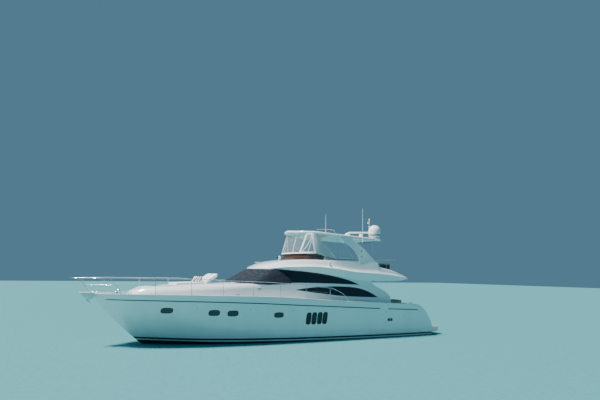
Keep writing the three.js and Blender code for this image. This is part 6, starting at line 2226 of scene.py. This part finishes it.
    def lounger(self, pads: Upholstery) -> None:
        """The sun lounger: moulded base, two flat pads, two reclined rests and two striped cushions."""
        outline = np.array([[3.98, 3.49], [4.56, 3.14], [4.61, 2.99], [6.29, 2.91], [6.29, 3.045],
                            [4.72, 3.11], [4.63, 3.17], [4.0, 3.54]])
        fit("lounger_base", prism(outline, 1, -0.89, 0.89), GELCOAT, edge=(0.02, 3, 30), angle=40)
        cushions = []
        for number, y in enumerate((0.45, -0.45), 1):
            cushions.append(Cushion(f"lounger_pad_{number}", (5.46, y, 3.125), (1.62, 0.88, 0.08),
                                    finish=PALE, tilt=-2.2, channels=4, cells=(40, 24)))
            cushions.append(Cushion(f"lounger_rest_{number}", (4.275, y, 3.41), (0.82, 0.88, 0.085),
                                    finish=PALE, tilt=-32, channels=2))
        for number, (y, turn) in enumerate(((-0.36, 30), (0.16, 44)), 1):
            cushions.append(Cushion(f"lounger_cushion_{number}", (4.84, y, 3.31), (0.38, 0.44, 0.12),
                                    finish=STRIPED, tilt=-62, yaw=turn, fill=0.9))
        pads.add(["foredeck_lounger"], *cushions)


@dataclass
class Helms:
    """Consoles with their dashes and wheels, the bar and the galley."""

    rake: float = 25.0

    def build(self) -> None:
        """Makes both helms, the bar and the galley."""
        self.console("fly_console", GELCOAT, FLY_SOLE_Z, x=-1.56, front=-1.15, low=4.2, high=4.6,
                     top=4.7, y0=-1.25, y1=-0.15)
        self.console("helm_console", JOINERY, SALOON_SOLE_Z, x=0.86, front=1.85, low=2.33, high=2.73,
                     top=2.95, y0=-1.5, y1=0.3)
        self.wheel("fly_wheel", 0.19)
        self.wheel("helm_wheel", 0.2)
        self.bar()
        self.galley()

    def axes(self) -> tuple:
        """Directions out of a raked dash and up along it."""
        rake = np.radians(self.rake)
        return np.array([-np.cos(rake), 0, np.sin(rake)]), np.array([np.sin(rake), 0, np.cos(rake)])

    def console(self, name: str, finish: Finish, floor: float, x: float, front: float, low: float,
                high: float, top: float, y0: float, y1: float) -> None:
        """A helm console: its body with a hooded dash and a toe recess, and its instruments.

        Args:
            name: The CAD node it stands for.
            finish: What its body is made of.
            floor: Height of the sole under it.
            x: Its aft face.
            front: Its forward face.
            low: Lower edge of the dash.
            high: Upper edge of the dash.
            top: Height of its top.
            y0: Its starboard side.
            y1: Its port side.
        """
        lean = np.tan(np.radians(self.rake))
        dash = x + (high - low) * lean
        outline = [[x, floor + 0.003], [x, low], [dash, high], [dash + 0.02, top - 0.03],
                   [dash + 0.06, top - 0.003], [front, top - 0.003 - 0.03], [front, floor + 0.003]]
        piece = make(f"{name}_body", prism(np.array(outline), 1, y0, y1))
        combined(piece, [box_shape(x - 0.1, x + 0.09, y0 + 0.08, y1 - 0.08, floor - 0.1, floor + 0.09)],
                 Mode.CUT)
        dress(bevelled(piece, 0.018, 3, 35), finish, replaces=[name], angle=50)
        self.instruments(name, np.array([x, 0, low]), y0, y1)

    def instruments(self, name: str, foot: Array, y0: float, y1: float) -> None:
        """Two screens, three round gauges, five switches and two throttle levers on a raked dash.

        Args:
            name: The console's name.
            foot: Where the dash's lower edge crosses the centreline.
            y0: The dash's starboard end.
            y1: The dash's port end.
        """
        normal, up = self.axes()

        def spot(y: float, v: float) -> Array:
            """A point of the dash, v up along it."""
            return foot + [0, y, 0] + up * v

        plates, rims = [], []
        outline = rounded_rectangle(-0.15, 0.15, -0.1, 0.1, 0.012, 3)
        for y in (y0 + 0.24, y1 - 0.24):
            for depth, grow, group in ((0.008, 0.9, plates), (0.006, 1.0, rims)):
                points = spot(y, 0.22) + outline[:, :1] * grow * [0, 1, 0] + outline[:, 1:] * grow * up
                group.append(ring_loft(np.stack([points - 0.004 * normal, points + depth * normal])))
        middle = (y0 + y1) / 2
        for y, v in ((middle - 0.13, 0.36), (middle, 0.37), (middle + 0.13, 0.36)):
            place = (spot(y, v), 24, normal)
            rims.append(lathe([[0, 0], [0.045, 0], [0.045, 0.008], [0.038, 0.011], [0.036, 0.006],
                               [0, 0.006]], *place))
            plates.append(lathe([[0, 0], [0.035, 0], [0.035, 0.0075], [0, 0.0075]], *place))
        for y in np.linspace(y0 + 0.12, y0 + 0.36, 5):
            rims.append(lathe([[0, 0], [0.011, 0], [0.011, 0.008], [0.008, 0.014], [0, 0.014]],
                              spot(y, 0.06), 12, normal))
        levers = []
        for y in (y1 - 0.2, y1 - 0.15):
            centre = spot(y, 0.06)
            levers.append(tube([centre, centre + 0.07 * normal + 0.02 * up], 0.006, 10))
            levers.append(lathe([[0, 0], [0.013, 0.004], [0.015, 0.02], [0.009, 0.034], [0, 0.036]],
                                centre + 0.065 * normal + 0.018 * up, 14, normal))
        fit(f"{name}_screens", plates, DARK_GLASS, angle=40)
        fit(f"{name}_rims", rims, RUBBER, angle=40)
        fit(f"{name}_levers", levers, STEEL, angle=40)

    def wheel(self, node: str, radius: float) -> None:
        """A wheel on its raked column: leather rim, three dished spokes and a hub."""
        low, high = np.array(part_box(node))
        centre = np.array([(low[0] + high[0]) / 2, HELM_Y, (low[2] + high[2]) / 2])
        axis, up = self.axes()
        across = np.array([0, 1.0, 0])
        centre = centre + axis * self.rim_offset(low, high, radius, axis)
        angle = np.linspace(0, 2 * np.pi, 73)[:-1, None]
        rim = centre + radius * (np.cos(angle) * across + np.sin(angle) * up)
        fit(f"{node}_rim", tube(rim, 0.014, 14, closed=True), RUBBER, "upholstery", body=node,
            replaces=[node])
        hub = lathe([[0, -0.05], [0.02, -0.05], [0.022, -0.02], [0.045, -0.012], [0.045, 0.008],
                     [0.03, 0.016], [0, 0.018]],
                    centre - axis * 0.01, 24, axis)
        shapes = [hub]
        for degrees in (90, 210, 330):
            out = np.cos(np.radians(degrees)) * across + np.sin(np.radians(degrees)) * up
            path = centre + np.linspace(0.02, radius - 0.004, 12)[:, None] * out
            path = path - axis * 0.012 * np.cos(np.linspace(0, np.pi / 2, 12))[:, None]
            shapes.append(sweep(path, rounded_rectangle(-0.004, 0.004, -0.013, 0.013, 0.003, 2), axis))
        fit(f"{node}_spokes", shapes, STEEL, body=node, angle=40)

    def rim_offset(self, low: Array, high: Array, radius: float, axis: Array) -> float:
        """How far the rim's plane lies aft of the middle of the node's box."""
        depth = (high[0] - low[0]) - 2 * (radius * np.sin(np.radians(self.rake)) + 0.014)
        return max(depth, 0) / 2 * abs(axis[0])

    def bar(self) -> None:
        """The flybridge bar: moulded body, worktop, grill lid, sink rim and doors."""
        body = box_shape(-4.69, -3.01, -1.77, -1.16, 3.803, 4.6)
        fit("fly_bar_body", body, GELCOAT, edge=(0.02, 3), replaces=["fly_bar"], angle=50)
        top = box_shape(-4.7, -3.0, -1.78, -1.15, 4.6, 4.632)
        fit("fly_bar_top", top, GREY_BAND, edge=(0.012, 3), angle=50)
        lid = prism(rounded_rectangle(-3.65, -3.15, -1.7, -1.24, 0.05), 2, 4.632, 4.645)
        sink = sweep(at_height(rounded_rectangle(-4.5, -4.1, -1.64, -1.32, 0.06, 6), 4.635),
                     circle(0.006, 8), UP, closed=True)
        fit("fly_bar_lid", [lid, sink], STEEL, angle=40)
        doors = [prism(rounded_rectangle(x - 0.24, x + 0.24, 3.9, 4.5, 0.02), 1, -1.161, -1.149)
                 for x in (-3.3, -3.85, -4.4)]
        fit("fly_bar_doors", doors, GELCOAT, angle=40)

    def galley(self) -> None:
        """The galley unit: plinth, doors, worktop and hob."""
        body = box_shape(-5.19, -1.41, -1.84, -1.27, 1.56, 2.365)
        foot = box_shape(-5.19, -1.41, -1.84, -1.33, 1.503, 1.565)
        fit("galley_body", [body, foot], JOINERY, edge=(0.006, 2), replaces=["galley_unit"], angle=50)
        doors = [prism(rounded_rectangle(x - 0.285, x + 0.285, 1.6, 2.32, 0.012), 1, -1.271, -1.252)
                 for x in np.linspace(-4.87, -1.73, 6)]
        fit("galley_doors", doors, JOINERY, angle=40)
        top = box_shape(-5.2, -1.4, -1.85, -1.25, 2.366, 2.395)
        fit("galley_worktop", top, GREY_BAND, edge=(0.008, 3), angle=50)
        hob = prism(rounded_rectangle(-2.3, -1.75, -1.8, -1.33, 0.02), 2, 2.394, 2.3995)
        fit("galley_hob", hob, DARK_GLASS, angle=40)


@dataclass
class DeckGear:
    """Windlass, chain, anchor and hatches."""

    def build(self) -> None:
        """Makes each unit."""
        self.windlass()
        self.anchor()
        self.foredeck_hatch()
        self.fly_hatch()

    def windlass(self) -> None:
        """A capstan over a chain wheel and its motor, on a bed plate."""
        x = 8.98
        deck = float(HULL.deck_height(np.array(x), np.array(0.0)))
        bed = prism(rounded_rectangle(x - 0.21, x + 0.21, -0.25, 0.25, 0.05), 2, deck + 0.002, deck + 0.03)
        drum = lathe([[0, 0.03], [0.1, 0.03], [0.1, 0.05], [0.07, 0.07], [0.06, 0.14], [0.064, 0.2],
                      [0.09, 0.235], [0.092, 0.25], [0.075, 0.26], [0.05, 0.3], [0.03, 0.325], [0, 0.328]],
                      (x, 0, deck), 32)
        wheel = lathe([[0, -0.225], [0.058, -0.225], [0.062, -0.2], [0.045, -0.17], [0.045, -0.12],
                       [0.06, -0.1], [0.06, 0.1], [0.045, 0.12], [0.045, 0.17], [0.062, 0.2], [0.058, 0.225],
                       [0, 0.225]],
                      (x, 0, deck + 0.215), 28, (0, 1, 0))
        motor = prism(rounded_rectangle(x - 0.12, x + 0.12, -0.1, 0.1, 0.04), 2, deck + 0.03, deck + 0.16)
        fit("windlass_unit", [bed, drum, wheel, motor], STEEL, edge=(0.005, 2, 50), replaces=["windlass"],
            angle=40)
        self.chain(deck)

    def chain(self, deck: float) -> None:
        """The chain from the windlass to the anchor, every other link turned on its side."""
        path = smooth_path([[9.06, -0.12, deck + 0.2], [9.3, -0.08, deck + 0.06], [9.7, -0.03, deck + 0.03],
                            [10.1, 0.0, 2.665], [10.6, 0.0, 2.69]], 60)
        count = int(length_of(path) / 0.042)
        centres = smooth_path(path, count)
        ahead = unit(np.gradient(centres, axis=0))
        links = []
        angle = np.linspace(0, 2 * np.pi, 17)[:-1, None]
        for number in range(count):
            side = np.cross(ahead[number], UP)
            lift = np.cross(side, ahead[number])
            flat = side if number % 2 else lift
            ring = centres[number] + 0.03 * np.cos(angle) * ahead[number] + 0.017 * np.sin(angle) * flat
            links.append(sweep(ring, circle(0.0055, 7), np.cross(ahead[number], flat), closed=True))
        fit("anchor_chain", links, STEEL, angle=60)

    def anchor(self) -> None:
        """A plough anchor under the bow: cranked shank and two swept flukes."""
        outline = [[10.335, 2.325], [10.4, 2.37], [10.78, 2.605], [10.805, 2.59], [10.8, 2.555],
                   [10.56, 2.335], [10.47, 2.22], [10.335, 2.19]]
        shank = bevelled(make("anchor_shank", prism(np.array(outline), 1, -0.024, 0.024)), 0.008, 3, 30)
        dress(shank, STEEL, replaces=["anchor"], angle=50)
        s = np.linspace(0, 1, 16)[:, None]
        t = np.linspace(0, 1, 10)[None]
        keel = np.array([10.52, 0.0, 2.285]) + s[..., None] * np.array([-0.2, 0.0, -0.18])
        tip = np.array([10.5, 0.12, 2.24]) + s[..., None] * np.array([-0.22, 0.10, -0.155])
        grid = keel + (tip - keel) * t[..., None]
        grid[..., 2] += 0.02 * np.sin(np.pi * t)
        fluke = cloth("fluke", grid, 0.014)
        shape = shape_of(fluke)
        bpy.data.objects.remove(fluke)
        fit("anchor_flukes", both(shape), STEEL, edge=(0.004, 2, 50), angle=50)

    def foredeck_hatch(self) -> None:
        """The foredeck hatch: a steel frame round a smoked lid with two handles."""
        outer = rounded_rectangle(6.702, 7.298, -0.298, 0.298, 0.07, 6)
        inner = rounded_rectangle(6.745, 7.255, -0.255, 0.255, 0.05, 6)
        rings = np.stack([at_height(ring, z) for ring, z in (
            (inner, 2.978), (outer, 2.978), (outer, 2.998), (outer * [1, 0.985], 3.003), (inner, 3.003))])
        frame_shape = Shape(np.concatenate([rings, rings[:1]]).reshape(-1, 3),
                            grid_faces(6, len(outer), wrap=True))
        fit("foredeck_hatch_frame", frame_shape, STEEL, body="foredeck_hatch", replaces=["foredeck_hatch"],
            angle=40)
        lid = prism(inner, 2, 2.984, 3.001)
        fit("foredeck_hatch_lid", lid, SMOKED, body="foredeck_hatch", angle=40)
        handles = [prism(rounded_rectangle(6.78, 6.84, y - 0.02, y + 0.02, 0.01), 2, 3.0, 3.009)
                   for y in (-0.14, 0.14)]
        fit("foredeck_hatch_handles", handles, RUBBER, body="foredeck_hatch", angle=40)

    def fly_hatch(self) -> None:
        """The hatch over the flybridge stairs, with its hinge barrel and a grip."""
        lid = box_shape(-6.993, -5.957, -1.742, -1.158, 3.772, 3.798)
        fit("fly_hatch_lid", lid, GELCOAT, edge=(0.008, 3), body="fly_hatch", replaces=["fly_hatch"],
            angle=50)
        barrel = tube([[-6.9, -1.75, 3.8083], [-6.05, -1.75, 3.8083]], 0.008, 12)
        grip = tube([[-6.56, -1.21, 3.799], [-6.56, -1.21, 3.8], [-6.39, -1.21, 3.8], [-6.39, -1.21, 3.799]],
                    0.006, 8)
        fit("fly_hatch_hinge", [barrel, grip], STEEL, body="fly_hatch", angle=50)


@dataclass
class Cockpit:
    """Aft bulkhead, sliding door, stairs, transom gates and the canvas round the aft flybridge."""

    def build(self) -> None:
        """Makes each unit."""
        self.bulkhead()
        self.door()
        self.stairs()
        self.gates()
        self.screen()

    def bulkhead(self) -> None:
        """The saloon's aft wall with its doorway, its panes and the step below."""
        low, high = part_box("aft_bulkhead")
        piece = make("aft_bulkhead_wall", prism(self.wall_outline(low, high), 0, -5.5, -5.45))
        holes = [box_shape(-5.6, -5.3, -0.95, 0.0, 1.4, 3.4), box_shape(-5.6, -5.3, 0.06, 1.75, 2.0, 3.38),
                 box_shape(-5.6, -5.3, -1.75, -1.01, 2.0, 3.38)]
        combined(piece, holes, Mode.CUT)
        dress(bevelled(piece, 0.006, 2, 50), GELCOAT, replaces=["aft_bulkhead"], angle=50)
        panes = [box_shape(-5.48, -5.47, 0.05, 1.76, 1.99, 3.39),
                 box_shape(-5.48, -5.47, -1.76, -1.0, 1.99, 3.39)]
        fit("aft_bulkhead_panes", panes, TINTED, angle=40)
        step = box_shape(-5.63, -5.5905, -2.028, 2.028, 1.3805, 1.498)
        fit("saloon_step", step, GELCOAT, edge=(0.008, 3), angle=50)

    def wall_outline(self, low: Sequence, high: Sequence) -> Array:
        """Outline (y, z) of the wall inside the deckhouse, just clear of it."""
        top = min(high[2], 3.5)
        z = np.linspace(low[2], top - 0.02, 12)
        y = HOUSE.find(np.full(12, -5.47), np.clip(z, HOUSE_FOOT_Z, 3.44))[:, 1] - WALL_THICKNESS - 0.004
        y = np.minimum(y, high[1])
        z = np.concatenate([[1.502, low[2]], z])
        y = np.concatenate([[2.028, 2.028], y])
        return np.concatenate([np.stack([y, z], -1), np.stack([-y[::-1], z[::-1]], -1)])

    def door(self) -> None:
        """The sliding door: a steel frame round tinted glass, with a pull handle."""
        outer = box_shape(-5.553, -5.517, -0.998, 0.058, 1.503, 3.438)
        piece = make("saloon_door_frame", outer)
        combined(piece, [box_shape(-5.6, -5.5, -0.93, -0.01, 1.6, 3.37)], Mode.CUT)
        dress(bevelled(piece, 0.004, 2), STEEL, body="saloon_door", replaces=["saloon_door"], angle=40)
        fit("saloon_door_pane", box_shape(-5.54, -5.53, -0.935, -0.005, 1.595, 3.375), TINTED,
            body="saloon_door", angle=40)
        grip = tube([[-5.551, 0.025, 2.35], [-5.5545, 0.025, 2.36], [-5.5545, 0.025, 2.69],
                     [-5.551, 0.025, 2.7]], 0.0035, 8)
        fit("saloon_door_handle", grip, STEEL, body="saloon_door")

    def stairs(self) -> None:
        """The flybridge stairs: teak treads between two stringers."""
        treads = []
        for number in range(8):
            x = -8.05 + number * 1.8 / 7
            z = COCKPIT_SOLE_Z + 0.27125 * (number + 1)
            treads.append(box_shape(x - 0.11, x + 0.13, -1.68, -1.22, z - 0.045, z - 0.003))
        fit("fly_stair_treads", treads, TEAK, edge=(0.006, 2), angle=50)
        rails = []
        for y in (-1.705, -1.195):
            outline = [[-8.2, 1.39], [-8.2, 1.62], [-6.25, 3.56], [-6.12, 3.56], [-6.12, 3.38], [-7.95, 1.39]]
            rails.append(prism(np.array(outline), 1, y - 0.004, y + 0.004))
        fit("fly_stair_stringers", rails, STEEL, edge=(0.003, 2, 50), replaces=["fly_stairs"], angle=50)

    def gates(self) -> None:
        """A gate across each transom stair: a leaf with a sunk panel, its post and its latch."""
        for side, name in SIDES:
            body = f"transom_gate_{name}"
            leaf = make(f"{body}_leaf", on_side(box_shape(-8.934, -8.907, 1.346, 2.056, 1.407, 1.898), side))
            combined(leaf, [on_side(box_shape(-8.95, -8.925, 1.41, 1.99, 1.47, 1.84), side)], Mode.CUT)
            dress(bevelled(leaf, 0.005, 3), GELCOAT, body=body, replaces=[body], angle=50)
            post = tube([[-8.915, 2.0657, 1.41], [-8.915, 2.0657, 1.895]], 0.0135, 14)
            latch = lathe([[0, 0], [0.018, 0], [0.016, 0.006], [0, 0.008]], (-8.934, 1.38, 1.78), 16,
                          (-1, 0, 0))
            fit(f"{body}_post", on_side(merged([post, latch]), side), STEEL, body=body, angle=50)

    def screen(self) -> None:
        """The dark canvas lashed round the aft port corner of the flybridge."""
        runs = np.array([[-6.985, 1.89], [-6.5, 1.89], [-6.05, 1.89], [-6.012, 1.875], [-6.01, 1.83],
                         [-6.01, 1.7], [-6.01, 1.505]])
        plan = smooth_path(runs, 70)
        v = np.linspace(0, 1, 22)[:, None]
        wave = 0.006 * np.sin(np.linspace(0, 9, 70))[None] * np.sin(np.pi * v)
        top = 4.41 - 0.012 * np.abs(np.sin(np.linspace(0, 5 * np.pi, 70)))[None]
        grid = np.stack([plan[None, :, 0] + 0 * v, plan[None, :, 1] + wave, 3.803 + (top - 3.803) * v], -1)
        piece = cloth("aft_canvas", grid, 0.003)
        hems = [sweep(grid[row], rounded_rectangle(-0.004, 0.004, -0.02, 0.02, 0.002, 2),
                      np.array([0.3, 1.0, 0]))
                for row in (1, 20)]
        hem = make("aft_canvas_hems", merged(hems))
        dress(piece, GREY, replaces=["aft_screen"], angle=60)
        dress(hem, GREY, angle=60)


@dataclass
class Carried:
    """Finishes of the CAD nodes that stay as they are."""

    finishes: tuple = (
        ("windscreen", TINTED), ("saloon_sole", JOINERY), ("cockpit_sole", TEAK),
        ("engine_port", IRON), ("engine_stbd", IRON), ("propeller_port", BRONZE), ("propeller_stbd", BRONZE),
        ("shaft_bracket_port", BRONZE), ("shaft_bracket_stbd", BRONZE), ("rudder_port", BOTTOM),
        ("rudder_stbd", BOTTOM), ("trim_tab_port", BOTTOM), ("trim_tab_stbd", BOTTOM))

    def build(self) -> None:
        """Puts a finish on every slot of each node."""
        for name, finish in self.finishes:
            node = bpy.data.objects[name]
            for slot in node.material_slots:
                slot.material = finish.material()


def main() -> None:
    """Builds the yacht's pieces in order."""
    logging.basicConfig(level=logging.INFO, format="%(message)s")
    Studio().build()
    HullMoulding().build()
    under = DeckMoulding().build()
    Deckhouse().build(under)
    for part in (Flybridge(), Hardtop(), Enclosure(), Rails(), RoofGear(), FlyFittings(), Seats(), Helms(),
                 DeckGear(), Cockpit(), Carried()):
        part.build()


if __name__ == "__main__":
    main()
